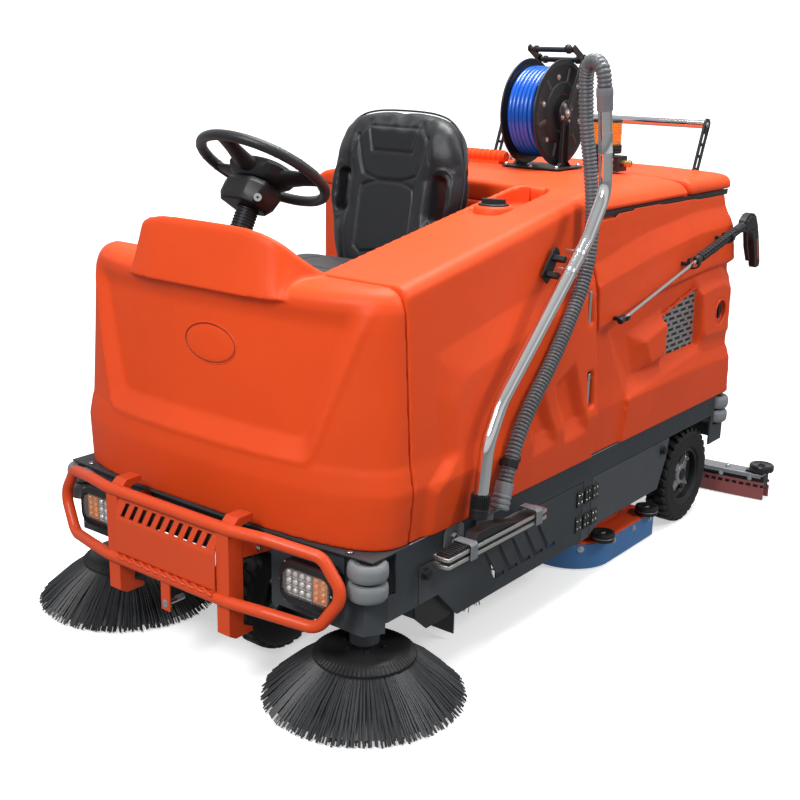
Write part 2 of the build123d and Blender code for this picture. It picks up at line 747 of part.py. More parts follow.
BEACON = (262.0, 3712.0)
with BuildPart() as beacon:
    with BuildSketch(Plane.XY.offset(1314)):
        with Locations((BEACON[0], st(BEACON[1]))):
            Circle(54)
    extrude(amount=28)
    with BuildSketch(Plane.XY.offset(1342)):
        with Locations((BEACON[0], st(BEACON[1]))):
            Circle(48)
    extrude(amount=84)
    fillet(beacon.faces().sort_by(Axis.Z)[-1].edges(), 8)
save(beacon.part, "beacon")

with BuildPart() as valve_block:
    with BuildSketch(Plane.XY.offset(1248)):
        with Locations((BEACON[0] + 8, st(BEACON[1] - 2))):
            Rectangle(120, 64)
    extrude(amount=62)
    with BuildSketch(Plane.XY.offset(1306)):
        with Locations((BEACON[0], st(BEACON[1]))):
            Circle(46)
    extrude(amount=8)
    with BuildSketch(Plane.YZ.offset(BEACON[0] + 68)):
        with Locations((st(BEACON[1] - 2), 1284)):
            Circle(12)
    extrude(amount=34)
    add(top_cover.part.moved(Location((0, 0, 0.05))), mode=Mode.SUBTRACT)
save(valve_block.part, "valve_block")

RAIL_X = 420.0
with BuildPart() as rear_rail:
    for px in (RAIL_X, -RAIL_X - 6):
        with BuildSketch(Plane.YZ.offset(px)):
            with BuildLine():
                Polyline((st(4052), 1224), (st(4084), 1222), (st(4158), 1396), (st(4152), 1416),
                         (st(4134), 1418), (st(4122), 1408), (st(4052), 1224))
            make_face()
        extrude(amount=6)
    with BuildSketch(Plane.YZ.offset(-RAIL_X)):
        with Locations((st(4139), 1400)):
            Circle(11)
    extrude(amount=2 * RAIL_X)
    add(rear_lid.part, mode=Mode.SUBTRACT)
save(rear_rail.part, "rear_rail")

# ---------------------------------------------------------------------------
# Vacuum wand, its hose and brackets
# ---------------------------------------------------------------------------
WX = 640.0
WAND = [(WX, st(2466), 492), (WX, st(2492), 665), (WX, st(2550), 767), (WX, st(2945), 1144),
        (WX, st(3034), 1270), (WX, st(2995), 1512)]
with BuildPart() as vac_wand:
    with BuildLine() as wl:
        FilletPolyline(*WAND, radius=[150, 150, 110, 120])
    with BuildSketch(Plane(origin=WAND[0], z_dir=wl.line % 0)):
        Circle(18)
    sweep(path=wl.line)
    # cuff at the top, over the tube
    up = Vector(*WAND[-1]) - Vector(*WAND[-2])
    up = up.normalized()
    with BuildSketch(Plane(origin=Vector(*WAND[-1]) - up * 22, z_dir=up)):
        Circle(23)
    extrude(amount=62)
    # collar at the foot
    dn = (wl.line % 0)
    with BuildSketch(Plane(origin=Vector(*WAND[0]) - dn * 24, z_dir=dn)):
        Circle(26)
    extrude(amount=66)
save(vac_wand.part, "vac_wand")

cuff_top = Vector(*WAND[-1]) + up * 40
HOSE_D = 42.0
HOSE = [tuple(cuff_top), tuple(cuff_top + up * 37.9), (617, st(2991), 1618), (583, st(3009), 1621),
        (560, st(3027), 1596), (557, st(3036), 1536), (560, st(3049), 1424), (566, st(3065), 1349),
        (580, st(3069), 1238), (590, st(3063), 1126), (594, st(3026), 1007), (600, st(2929), 889),
        (608, st(2839), 800), (618, st(2709), 692), (628, st(2628), 591), (631, st(2598), 522)]


def hose_radii(pts):
    out = []
    for a, b, c in zip(pts[:-2], pts[1:-1], pts[2:]):
        u, v = Vector(*b) - Vector(*a), Vector(*c) - Vector(*b)
        turn = math.radians(u.get_angle(v))
        out.append(0.45 * min(u.length, v.length) / math.tan(turn / 2))
    return out


radii = hose_radii(HOSE)
with BuildPart() as vac_hose:
    with BuildLine() as hl:
        FilletPolyline(*HOSE, radius=radii)
    with BuildSketch(Plane(origin=HOSE[0], z_dir=hl.line % 0)):
        Circle(HOSE_D / 2)
    sweep(path=hl.line)
save(vac_hose.part, "vac_hose")
print("hose radii", [round(r, 1) for r in radii])
print("hose runs", [round((Vector(*b) - Vector(*a)).length, 1) for a, b in zip(HOSE, HOSE[1:])])
hose_length = sum(e.length for e in hl.line.edges())
print("hose length", round(hose_length, 1), "volume ratio",
      round(vac_hose.part.volume / (math.pi * HOSE_D ** 2 / 4 * hose_length), 4))

with BuildPart() as floor_nozzle:
    # mouth: two strips and the body between, then the neck
    with BuildSketch(Plane.YZ.offset(WX - 28)):
        with BuildLine():
            Polyline((st(2300), 388), (st(2770), 388), (st(2770), 410), (st(2640), 418),
                     (st(2540), 440), (st(2420), 440), (st(2360), 418), (st(2300), 410),
                     (st(2300), 388))
        make_face()
    extrude(amount=56)
    with BuildSketch(Plane(origin=Vector(*WAND[0]) - dn * 24, z_dir=-dn)):
        Circle(24)
    extrude(amount=40)
    with BuildSketch(Plane.XY.offset(379)):
        with Locations((WX, st(2535))):
            Rectangle(50, 470)
    extrude(amount=9)
save(floor_nozzle.part, "floor_nozzle")

hose_end = Vector(*HOSE[-1])
end_dir = (Vector(*HOSE[-1]) - Vector(*HOSE[-2])).normalized()
with BuildPart() as wand_brackets:
    # lower bracket plate with its shelf, bolted on the chassis band
    with BuildSketch(Plane.YZ.offset(580)):
        with Locations((st(2535), 408)):
            RectangleRounded(290, 66, 8)
    extrude(amount=4)
    with BuildSketch(Plane.YZ.offset(580)):
        with Locations((st(2535), 376.5)):
            Rectangle(270, 3.5)
    extrude(amount=70)
    # stub the hose cuff rests on
    with BuildSketch(Plane(origin=hose_end + end_dir * 24, z_dir=end_dir)):
        Circle(15)
    extrude(amount=52)
    with BuildSketch(Plane.YZ.offset(580)):
        with Locations((st(2572), 448)):
            Rectangle(60, 12)
    extrude(amount=66)
    # upper clip plate
    with BuildSketch(Plane.YZ.offset(556)):
        with BuildLine():
            Polyline((st(2842), 1052), (st(2872), 1026), (st(2924), 1106), (st(2900), 1122),
                     (st(2842), 1052))
        make_face()
    extrude(amount=60)
save(wand_brackets.part, "wand_brackets")

with BuildPart() as hose_cuff:
    with BuildSketch(Plane(origin=hose_end, z_dir=end_dir)):
        Circle(24)
    extrude(amount=14)
    with BuildSketch(Plane(origin=hose_end + end_dir * 14, z_dir=end_dir)):
        Circle(28)
    extrude(amount=44)
    with BuildSketch(Plane(origin=hose_end + end_dir * 24, z_dir=end_dir)):
        Circle(15.4)
    extrude(amount=40, mode=Mode.SUBTRACT)
save(hose_cuff.part, "hose_cuff")

# ---------------------------------------------------------------------------
# Spray gun on the left rear door
# ---------------------------------------------------------------------------
G0, G1, G2 = (GX, st(3215), 868), (GX, st(3714), 989), (GX, st(4077), 1068)
with BuildPart() as spray_gun:
    d1 = Vector(*G1) - Vector(*G0)
    with BuildSketch(Plane(origin=G0, z_dir=d1)):
        Circle(6)
    extrude(amount=d1.length + 20)
    with BuildSketch(Plane(origin=G0, z_dir=d1)):
        Circle(10)
    extrude(amount=26)
    d2 = Vector(*G2) - Vector(*G1)
    with BuildSketch(Plane(origin=G1, z_dir=d2)):
        Circle(17)
    extrude(amount=d2.length)
    with BuildSketch(Plane.YZ.offset(GX - 16)):
        with BuildLine():
            Polyline((st(4060), 1050), (st(4072), 1090), (st(4120), 1110), (st(4160), 1098),
                     (st(4200), 1040), (st(4236), 930), (st(4232), 912), (st(4200), 904),
                     (st(4186), 916), (st(4160), 1000), (st(4130), 1044), (st(4060), 1050))
        make_face()
    extrude(amount=32)
save(spray_gun.part, "spray_gun")

# ---------------------------------------------------------------------------
# Side brushes on their lifting arms
# ---------------------------------------------------------------------------
for side, sx in (("left", 1), ("right", -1)):
    with BuildPart() as side_brush:
        with BuildSketch(Plane(origin=(sx * BRUSH_X, st(BRUSH_S), 0), x_dir=(1, 0, 0), z_dir=(0, -1, 0))):
            with BuildLine():
                Polyline((0, 120), (0, 158), (110, 158), (137, 148), (140, 134), (BRUSH_R, FLOOR_GAP),
                         (175, FLOOR_GAP), (95, 120), (0, 120))
            make_face()
        revolve(axis=Axis((sx * BRUSH_X, st(BRUSH_S), 0), (0, 0, 1)))
    save(side_brush.part, "side_brush_" + side)
    with BuildPart() as brush_arm:
        # gear motor over the brush
        with BuildSketch(Plane.XY.offset(160)):
            with Locations((sx * BRUSH_X, st(BRUSH_S))):
                Circle(40)
        extrude(amount=98)
        # flat arm running back to the pivot
        with BuildSketch(Plane.XY.offset(200)):
            with BuildLine():
                Polyline((sx * (BRUSH_X - 40), st(BRUSH_S)), (sx * (BRUSH_X + 40), st(BRUSH_S)),
                         (sx * 470, st(2470)), (sx * 410, st(2470)),
                         (sx * (BRUSH_X - 40), st(BRUSH_S)))
            make_face()
        extrude(amount=10)
        # pivot sleeve and its lug
        with BuildSketch(Plane.YZ.offset(sx * 440 - 34)):
            with Locations((st(2480), 214)):
                Circle(17)
                Circle(9, mode=Mode.SUBTRACT)
        extrude(amount=68)
    save(brush_arm.part, "brush_arm_" + side)

# ---------------------------------------------------------------------------
# Steered front drive wheel
# ---------------------------------------------------------------------------


def tyre(cx, cs, name):
    with BuildPart() as ty:
        with BuildSketch(Plane(origin=(cx, st(cs), TYRE_R), x_dir=(1, 0, 0), z_dir=(0, 0, 1))):
            with BuildLine():
                h, r = TYRE_W / 2, TYRE_R
                Polyline((-h + 6, 100), (-h, 118), (-h, r - 18), (-h + 9, r - 3), (-h + 16, r),
                         (h - 16, r), (h - 9, r - 3), (h, r - 18), (h, 118), (h - 6, 100),
                         (-h + 6, 100))
            make_face()
        revolve(axis=Axis((cx, st(cs), TYRE_R), (1, 0, 0)))
    save(ty.part, name)


def rim(cx, cs, out, name, bore=0.0):
    """Dished wheel with its hub; out is the side the dish faces."""
    with BuildPart() as rm:
        with BuildSketch(Plane(origin=(cx, st(cs), TYRE_R), x_dir=(1, 0, 0), z_dir=(0, 0, 1))):
            with BuildLine():
                Polyline((-34, 99.8), (34, 99.8), (34, 88), (out * 10 + 8, 82), (out * 10 + 8, 40),
                         (30, 32), (30, bore), (-30, bore), (-30, 32), (out * 10 - 8, 40),
                         (out * 10 - 8, 82), (-34, 88), (-34, 99.8))
            make_face()
        revolve(axis=Axis((cx, st(cs), TYRE_R), (1, 0, 0)))
    save(rm.part, name)


tyre(FORK_OFF, FORK_S, "front_tyre")
rim(FORK_OFF, FORK_S, 1, "front_rim")
with BuildPart() as drive_fork:
    # turntable
    with BuildSketch(Plane.XY.offset(376)):
        with Locations((0, st(FORK_S))):
            Circle(88)
    extrude(amount=24)
    with BuildSketch(Plane.XY.offset(398)):
        with Locations((0, st(FORK_S))):
            Circle(60)
    extrude(amount=5.5)
    # drop plate and drive motor inboard of the wheel
    with BuildSketch(Plane.XY.offset(110)):
        with Locations((32, st(FORK_S))):
            Rectangle(16, 130)
    extrude(amount=266)
    with BuildSketch(Plane.YZ.offset(-104)):
        with Locations((st(FORK_S), TYRE_R)):
            Circle(58)
    extrude(amount=128)
    # wheel spindle
    with BuildSketch(Plane.YZ.offset(40)):
        with Locations((st(FORK_S), TYRE_R)):
            Circle(24)
    extrude(amount=29.5)
save(drive_fork.part, "drive_fork")

# ---------------------------------------------------------------------------
# Rear axle and wheels
# ---------------------------------------------------------------------------
with BuildPart() as rear_axle:
    with BuildSketch(Plane.YZ.offset(-470)):
        with Locations((st(AXLE_S), TYRE_R)):
            Rectangle(60, 60)
    extrude(amount=940)
    with BuildSketch(Plane.YZ.offset(-495)):
        with Locations((st(AXLE_S), TYRE_R)):
            Circle(24)
    extrude(amount=990)
save(rear_axle.part, "rear_axle")
for side, sx in (("left", 1), ("right", -1)):
    tyre(sx * WHEEL_X, AXLE_S, "rear_tyre_" + side)
    rim(sx * WHEEL_X, AXLE_S, -sx, "rear_rim_" + side)

# ---------------------------------------------------------------------------
# Main broom in its chamber
# ---------------------------------------------------------------------------
with BuildPart() as main_broom:
    with BuildSketch(Plane.YZ.offset(-420)):
        with Locations((st(BROOM_S), BROOM_R + FLOOR_GAP)):
            Circle(BROOM_R)
    extrude(amount=840)
    with BuildSketch(Plane.YZ.offset(-458)):
        with Locations((st(BROOM_S), BROOM_R + FLOOR_GAP)):
            Circle(18)
    extrude(amount=916)
save(main_broom.part, "main_broom")

with BuildPart() as broom_housing:
    # arched shell with end plates, open below
    with BuildSketch(Plane.YZ.offset(-470)):
        with BuildLine():
            Polyline((st(2610), 20), (st(2610), 300), (st(2660), 372), (st(3080), 372),
                     (st(3118), 320), (st(3118), 20), (st(3112), 20), (st(3112), 318),
                     (st(3078), 366), (st(2663), 366), (st(2616), 298), (st(2616), 20),
                     (st(2610), 20))
        make_face()
    extrude(amount=940)
    for x0 in (-470, 464):
        with BuildSketch(Plane.YZ.offset(x0)):
            with BuildLine():
                Polyline((st(2610), 120), (st(2610), 300), (st(2660), 372), (st(3080), 372),
                         (st(3118), 320), (st(3118), 120), (st(2610), 120))
            make_face()
        extrude(amount=6)
    # hangers up to the rails
    for sx in (-1, 1):
        for s in (2700, 3040):
            with BuildSketch(Plane.XY.offset(370)):
                with Locations((sx * 330, st(s))):
                    Rectangle(30, 30)
            extrude(amount=30)
    # shaft holes
    with BuildSketch(Plane.YZ.offset(-480)):
        with Locations((st(BROOM_S), BROOM_R + FLOOR_GAP)):
            Circle(24)
    extrude(amount=960, mode=Mode.SUBTRACT)
save(broom_housing.part, "broom_housing")

# ---------------------------------------------------------------------------
# Scrub deck: cover, skirt, two disc brushes and guide rollers
# ---------------------------------------------------------------------------


def deck_outline(t, w=DECK_W):
    """Plan outline of the deck set in by t."""
    with BuildSketch(Plane.XY) as sk:
        with BuildLine():
            Polyline((-w + t, st(3340) + t), (-w + 45 + t, st(3276) + t), (-390 + t * 0.4, st(DECK_S0) + t),
                     (390 - t * 0.4, st(DECK_S0) + t), (w - 45 - t, st(3276) + t), (w - t, st(3340) + t),
                     (w - t, st(DECK_S1) - t), (-w + t, st(DECK_S1) - t), (-w + t, st(3340) + t))
        make_face()
        fillet(sk.vertices().group_by(Axis.Y)[1], 40)
    return sk.sketch


with BuildPart() as scrub_skirt:
    with BuildSketch(Plane.XY.offset(4)):
        add(deck_outline(0))
        add(deck_outline(6), mode=Mode.SUBTRACT)
    extrude(amount=86)
save(scrub_skirt.part, "scrub_skirt")

with BuildPart() as scrub_deck:
    with BuildSketch(Plane.XY.offset(62)):
        add(deck_outline(6.3))
        add(deck_outline(14), mode=Mode.SUBTRACT)
    extrude(amount=30)
    with BuildSketch(Plane.XY.offset(90.3)):
        add(deck_outline(0))
    extrude(amount=8)
    with BuildSketch(Plane.XY.offset(98)):
        with Locations((0, st(3488))):
            RectangleRounded(940, 330, 60)
    extrude(amount=42)
    # brush motors
    with BuildSketch(Plane.XY.offset(139)):
        with Locations((DISC_X, st(DISC_S)), (-DISC_X, st(DISC_S))):
            Circle(70)
    extrude(amount=150)
    # cross bar the lift links pull on
    with BuildSketch(Plane.XY.offset(180)):
        with Locations((0, st(DISC_S))):
            Rectangle(620, 50)
    extrude(amount=20)
    # spindle sockets
    with BuildSketch(Plane.XY.offset(60)):
        with Locations((DISC_X, st(DISC_S)), (-DISC_X, st(DISC_S))):
            Circle(22)
    extrude(amount=34)
save(scrub_deck.part, "scrub_deck")

with BuildPart() as deck_rollers:
    for sx in (-1, 1):
        for s in (3345, 3655):
            with BuildSketch(Plane.XY.offset(98.4)):
                with Locations((sx * 545, st(s))):
                    Circle(40)
            extrude(amount=30)
save(deck_rollers.part, "deck_rollers")

for side, sx in (("left", 1), ("right", -1)):
    with BuildPart() as disc_brush:
        with BuildSketch(Plane.XY.offset(46)):
            with Locations((sx * DISC_X, st(DISC_S))):
                Circle(DISC_R - 4)
        extrude(amount=12)
        with BuildSketch(Plane.XY.offset(FLOOR_GAP)):
            with Locations((sx * DISC_X, st(DISC_S))):
                Circle(DISC_R)
        extrude(amount=43)
    save(disc_brush.part, "disc_brush_" + side)

# ---------------------------------------------------------------------------
# Squeegee on its towing arms
# ---------------------------------------------------------------------------


def sq_curve(t):
    """Bowed centre line of the squeegee, its middle furthest forward."""
    return [(-SQ_W + t, st(SQ_S)), (0, st(SQ_S - 46)), (SQ_W - t, st(SQ_S))]


def bowed_bar(z0, z1, d0, d1, t):
    """Bar of constant depth following the bowed line."""
    with BuildPart() as bb:
        with BuildSketch(Plane.XY.offset(z0)):
            with BuildLine():
                a, m, c = sq_curve(t)
                f = ThreePointArc((a[0], a[1] + d0), (m[0], m[1] + d0), (c[0], c[1] + d0))
                r = ThreePointArc((a[0], a[1] + d1), (m[0], m[1] + d1), (c[0], c[1] + d1))
                Line(f @ 0, r @ 0)
                Line(f @ 1, r @ 1)
            make_face()
        extrude(amount=z1 - z0)
    return bb.part


with BuildPart() as squeegee_blades:
    add(bowed_bar(FLOOR_GAP, 72, -30, -25, 0))
    add(bowed_bar(FLOOR_GAP, 72, 25, 30, 0))
save(squeegee_blades.part, "squeegee_blades")

with BuildPart() as squeegee_body:
    add(bowed_bar(40, 92, -23.8, 23.8, 4))
    add(bowed_bar(92, 104, -34, 34, 6))
    # end roller brackets
    for sx in (-1, 1):
        with BuildSketch(Plane.XY.offset(104)):
            with Locations((sx * 668, st(SQ_S - 10))):
                Rectangle(70, 40)
        extrude(amount=8)
    # towing arms to the pivot under the chassis rear
    for px in (-190, 178):
        with BuildSketch(Plane.YZ.offset(px)):
            with BuildLine():
                Polyline((st(4290), 104), (st(4290), 128), (st(4110), 268), (st(4084), 262),
                         (st(4084), 238), (st(4104), 236), (st(4262), 104), (st(4290), 104))
            make_face()
        extrude(amount=12)
    with BuildSketch(Plane.YZ.offset(-200)):
        with Locations((st(4098), 252)):
            Circle(17)
    extrude(amount=400)
    with BuildSketch(Plane.YZ.offset(-210)):
        with Locations((st(4098), 252)):
            Circle(9)
    extrude(amount=420, mode=Mode.SUBTRACT)
save(squeegee_body.part, "squeegee_body")

with BuildPart() as squeegee_rollers:
    for sx in (-1, 1):
        with BuildSketch(Plane.XY.offset(112.4)):
            with Locations((sx * 690, st(SQ_S - 8))):
                Circle(46)
        extrude(amount=28)
save(squeegee_rollers.part, "squeegee_rollers")

# ---------------------------------------------------------------------------
# Lower side doors
# ---------------------------------------------------------------------------
for side, sx in (("left", 1), ("right", -1)):
    x0 = 574 if sx > 0 else -580
    with BuildPart() as front_door:
        with BuildSketch(Plane.YZ.offset(x0)):
            with BuildLine():
                Polyline((st(2293), 262), (st(2378), 262), (st(2470), 171), (st(3126), 171),
                         (st(3126), 369), (st(2293), 369), (st(2293), 262))
            make_face()
            # slanted vent slots with a short foot
            for i in range(5):
                o = 2588 + 69 * i
                with BuildLine():
                    Polyline((st(o), 309), (st(o + 13), 309), (st(o + 73), 224), (st(o + 108), 224),
                             (st(o + 108), 212), (st(o + 60), 212), (st(o), 309))
                make_face(mode=Mode.SUBTRACT)
        extrude(amount=6)
    save(front_door.part, "skirt_door_front_" + side)
    with BuildPart() as back_door:
        with BuildSketch(Plane.YZ.offset(x0)):
            with BuildLine():
                Polyline((st(3184), 178), (st(3240), 200), (st(3650), 200), (st(3700), 300),
                         (st(3716), 369), (st(3184), 369), (st(3184), 178))
            make_face()
        extrude(amount=6)
    save(back_door.part, "skirt_door_rear_" + side)
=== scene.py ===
import bpy
import bmesh
import json
import math
import random
from mathutils import Matrix, Vector, noise

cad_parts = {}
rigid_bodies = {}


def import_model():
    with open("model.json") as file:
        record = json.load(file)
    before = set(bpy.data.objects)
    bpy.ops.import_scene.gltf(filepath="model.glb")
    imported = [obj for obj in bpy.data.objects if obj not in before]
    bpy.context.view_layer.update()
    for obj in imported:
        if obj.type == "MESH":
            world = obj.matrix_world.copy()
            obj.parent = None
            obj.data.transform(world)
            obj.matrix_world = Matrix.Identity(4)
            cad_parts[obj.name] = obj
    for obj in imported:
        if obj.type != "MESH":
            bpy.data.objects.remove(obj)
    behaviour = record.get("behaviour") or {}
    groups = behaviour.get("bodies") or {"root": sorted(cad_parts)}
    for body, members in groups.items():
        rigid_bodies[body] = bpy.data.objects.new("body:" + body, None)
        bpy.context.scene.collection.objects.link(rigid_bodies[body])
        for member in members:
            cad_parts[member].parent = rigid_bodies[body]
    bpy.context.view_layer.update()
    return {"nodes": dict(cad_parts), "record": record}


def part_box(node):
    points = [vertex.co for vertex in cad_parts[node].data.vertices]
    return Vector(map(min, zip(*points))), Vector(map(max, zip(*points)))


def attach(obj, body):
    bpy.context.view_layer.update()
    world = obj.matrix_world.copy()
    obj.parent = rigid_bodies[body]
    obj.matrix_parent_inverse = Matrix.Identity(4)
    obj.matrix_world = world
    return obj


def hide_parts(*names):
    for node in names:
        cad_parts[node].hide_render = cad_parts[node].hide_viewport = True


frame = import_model()
nodes = frame["nodes"]
scene = bpy.context.scene
rnd = random.Random(7)
MID = 3.1513


def st(s):
    """A station in millimetres, as the row's Y in metres."""
    return s / 1000 - MID


def V(x, s, z):
    """A point from X in mm, station in mm and height in mm."""
    return Vector((x / 1000, st(s), z / 1000))


# ------------------------------------------------------------------ camera
cam_data = bpy.data.cameras.new("camera")
cam = bpy.data.objects.new("camera", cam_data)
scene.collection.objects.link(cam)
az, el, roll = math.radians(37.823), math.radians(16.320), math.radians(-1.205)
fw = Vector((-math.sin(az) * math.cos(el), math.cos(az) * math.cos(el), -math.sin(el)))
rt = Vector((math.cos(az), math.sin(az), 0))
dn = fw.cross(rt)
r2 = rt * math.cos(roll) + dn * math.sin(roll)
d2 = -rt * math.sin(roll) + dn * math.cos(roll)
rot = Matrix((r2, -d2, -fw)).transposed().to_4x4()
cam.matrix_world = Matrix.Translation((2.2856, -3.1513, 1.65)) @ rot
cam_data.sensor_width = 36
cam_data.lens = 1212.89 * 36 / 800
cam_data.clip_start = 0.05
cam_data.clip_end = 60
scene.camera = cam

# ------------------------------------------------------------------ mesh helpers


def basis(axis):
    a = Vector(axis).normalized()
    t = Vector((0, 0, 1)) if abs(a.z) < 0.9 else Vector((1, 0, 0))
    u = a.cross(t).normalized()
    return a, u, a.cross(u).normalized()


class Build:
    """Collects simple closed forms into one mesh."""

    def __init__(self):
        self.v, self.f = [], []

    def add(self, verts, faces):
        n = len(self.v)
        self.v += [tuple(p) for p in verts]
        self.f += [tuple(i + n for i in f) for f in faces]
        return self

    def box(self, c, size, axes=None):
        c = Vector(c)
        ux, uy, uz = axes or (Vector((1, 0, 0)), Vector((0, 1, 0)), Vector((0, 0, 1)))
        h = [s / 2 for s in size]
        pts = [c + ux * (i * h[0]) + uy * (j * h[1]) + uz * (k * h[2])
               for k in (-1, 1) for j in (-1, 1) for i in (-1, 1)]
        return self.add(pts, [(0, 2, 3, 1), (4, 5, 7, 6), (0, 1, 5, 4), (2, 6, 7, 3),
                              (0, 4, 6, 2), (1, 3, 7, 5)])

    def lathe(self, o, axis, prof, n=32):
        """prof is (radius, height) pairs from one end to the other; radius 0 closes an end."""
        o = Vector(o)
        a, u, w = basis(axis)
        rings, verts, faces = [], [], []
        for r, h in prof:
            if r <= 1e-7:
                verts.append(o + a * h)
                rings.append([len(verts) - 1])
            else:
                row = []
                for i in range(n):
                    t = 2 * math.pi * i / n
                    verts.append(o + a * h + (u * math.cos(t) + w * math.sin(t)) * r)
                    row.append(len(verts) - 1)
                rings.append(row)
        for p, q in zip(rings[:-1], rings[1:]):
            for i in range(n):
                j = (i + 1) % n
                if len(p) == 1 and len(q) == 1:
                    continue
                if len(p) == 1:
                    faces.append((p[0], q[j], q[i]))
                elif len(q) == 1:
                    faces.append((p[i], p[j], q[0]))
                else:
                    faces.append((p[i], p[j], q[j], q[i]))
        if len(rings[0]) > 1 and rings[0] is not rings[-1] and not self._same(prof[0], prof[-1]):
            faces.append(tuple(rings[0][::-1]))
            faces.append(tuple(rings[-1])) if len(rings[-1]) > 1 else None
        elif len(rings[-1]) > 1 and len(rings[0]) == 1:
            faces.append(tuple(rings[-1]))
        elif len(rings[0]) > 1 and self._same(prof[0], prof[-1]):
            p, q = rings[-1], rings[0]
            faces = [f for f in faces]
        return self.add(verts, faces)

    @staticmethod
    def _same(a, b):
        return abs(a[0] - b[0]) < 1e-9 and abs(a[1] - b[1]) < 1e-9

    def ring(self, o, axis, prof, n=48):
        """A closed section of (radius, height) pairs turned about the axis."""
        o = Vector(o)
        a, u, w = basis(axis)
        m = len(prof)
        verts, faces = [], []
        for i in range(n):
            t = 2 * math.pi * i / n
            d = u * math.cos(t) + w * math.sin(t)
            for r, h in prof:
                verts.append(o + a * h + d * r)
        for i in range(n):
            j = (i + 1) % n
            for k in range(m):
                l = (k + 1) % m
                faces.append((i * m + k, j * m + k, j * m + l, i * m + l))
        return self.add(verts, faces)

    def cyl(self, a, b, r, r2=None, n=24):
        a, b = Vector(a), Vector(b)
        d = b - a
        return self.lathe(a, d, [(r, 0), (r if r2 is None else r2, d.length)], n)

    def rod(self, a, b, r, ch=0.0008, n=24):
        """A cylinder with chamfered ends."""
        a, b = Vector(a), Vector(b)
        d = b - a
        h = d.length
        return self.lathe(a, d, [(0, 0), (r - ch, 0), (r, ch), (r, h - ch), (r - ch, h), (0, h)], n)

    def bolt(self, p, axis, r=0.006, h=0.004, n=6, washer=True):
        """A hexagon head on its washer, standing along the axis from p."""
        a = Vector(axis).normalized()
        p = Vector(p)
        if washer:
            self.lathe(p, a, [(0, 0), (r * 1.5, 0), (r * 1.5, h * 0.25), (0, h * 0.25)], 20)
            p = p + a * h * 0.25
        self.lathe(p, a, [(0, 0), (r, 0), (r, h * 0.8), (r * 0.8, h), (0, h)], n)
        return self

    def screw(self, p, axis, r=0.005, h=0.003):
        """A domed round head."""
        self.lathe(p, axis, [(0, 0), (r, 0), (r * 0.95, h * 0.45), (r * 0.7, h * 0.85), (0, h)], 16)
        return self

    def tube(self, pts, r, n=16, caps=True, squash=None):
        """A tube along points; r is one radius or one for each point."""
        pts = [Vector(p) for p in pts]
        rs = r if isinstance(r, (list, tuple)) else [r] * len(pts)
        tans = []
        for i in range(len(pts)):
            d = pts[min(i + 1, len(pts) - 1)] - pts[max(i - 1, 0)]
            tans.append(d.normalized())
        _, u, w = basis(tans[0])
        verts, faces = [], []
        for i, p in enumerate(pts):
            if i:
                q = tans[i - 1].rotation_difference(tans[i])
                u = q @ u
            u = (u - tans[i] * u.dot(tans[i])).normalized()
            w = tans[i].cross(u)
            for k in range(n):
                t = 2 * math.pi * k / n
                verts.append(p + (u * math.cos(t) + w * math.sin(t)) * rs[i])
        for i in range(len(pts) - 1):
            for k in range(n):
                l = (k + 1) % n
                faces.append((i * n + k, i * n + l, (i + 1) * n + l, (i + 1) * n + k))
        if caps:
            faces.append(tuple(range(n))[::-1])
            faces.append(tuple((len(pts) - 1) * n + k for k in range(n)))
        return self.add(verts, faces)

    def loop(self, pts, r, n=14):
        """A closed tube through points."""
        pts = [Vector(p) for p in pts]
        m = len(pts)
        tans = [(pts[(i + 1) % m] - pts[i - 1]).normalized() for i in range(m)]
        _, u, w = basis(tans[0])
        frames = []
        for i in range(m):
            if i:
                u = tans[i - 1].rotation_difference(tans[i]) @ u
            u = (u - tans[i] * u.dot(tans[i])).normalized()
            frames.append((u.copy(), tans[i].cross(u)))
        end = tans[-1].rotation_difference(tans[0]) @ u
        twist = math.atan2(end.dot(frames[0][1]), end.dot(frames[0][0]))
        verts, faces = [], []
        for i, p in enumerate(pts):
            a, b = frames[i]
            for k in range(n):
                t = 2 * math.pi * k / n - twist * i / m
                verts.append(p + (a * math.cos(t) + b * math.sin(t)) * r)
        for i in range(m):
            j = (i + 1) % m
            for k in range(n):
                l = (k + 1) % n
                faces.append((i * n + k, i * n + l, j * n + l, j * n + k))
        return self.add(verts, faces)

    def prism(self, poly, vec):
        """A flat outline (points in space) pushed along vec."""
        poly = [Vector(p) for p in poly]
        vec = Vector(vec)
        n = len(poly)
        nrm = Vector((0, 0, 0))
        for i in range(n):
            nrm += poly[i].cross(poly[(i + 1) % n])
        if nrm.dot(vec) < 0:
            poly = poly[::-1]
        faces = [tuple(range(n))[::-1], tuple(range(n, 2 * n))]
        for i in range(n):
            j = (i + 1) % n
            faces.append((i, j, n + j, n + i))
        return self.add(poly + [p + vec for p in poly], faces)

    def sphere(self, c, r, n=16, scale=(1, 1, 1)):
        prof = [(math.sin(math.pi * i / n) * r, -math.cos(math.pi * i / n) * r) for i in range(n + 1)]
        prof[0], prof[-1] = (0, -r), (0, r)
        k = len(self.v)
        self.lathe((0, 0, 0), (0, 0, 1), prof, n * 2)
        c = Vector(c)
        for i in range(k, len(self.v)):
            p = self.v[i]
            self.v[i] = (c.x + p[0] * scale[0], c.y + p[1] * scale[1], c.z + p[2] * scale[2])
        return self

    def mirror(self, start=0):
        """Adds a copy of everything from start on, mirrored in X."""
        v, k = self.v[start:], start
        fs = [f for f in self.f if min(f) >= start]
        self.add([(-x, y, z) for x, y, z in v], [tuple(i - k for i in f)[::-1] for f in fs])
        return self

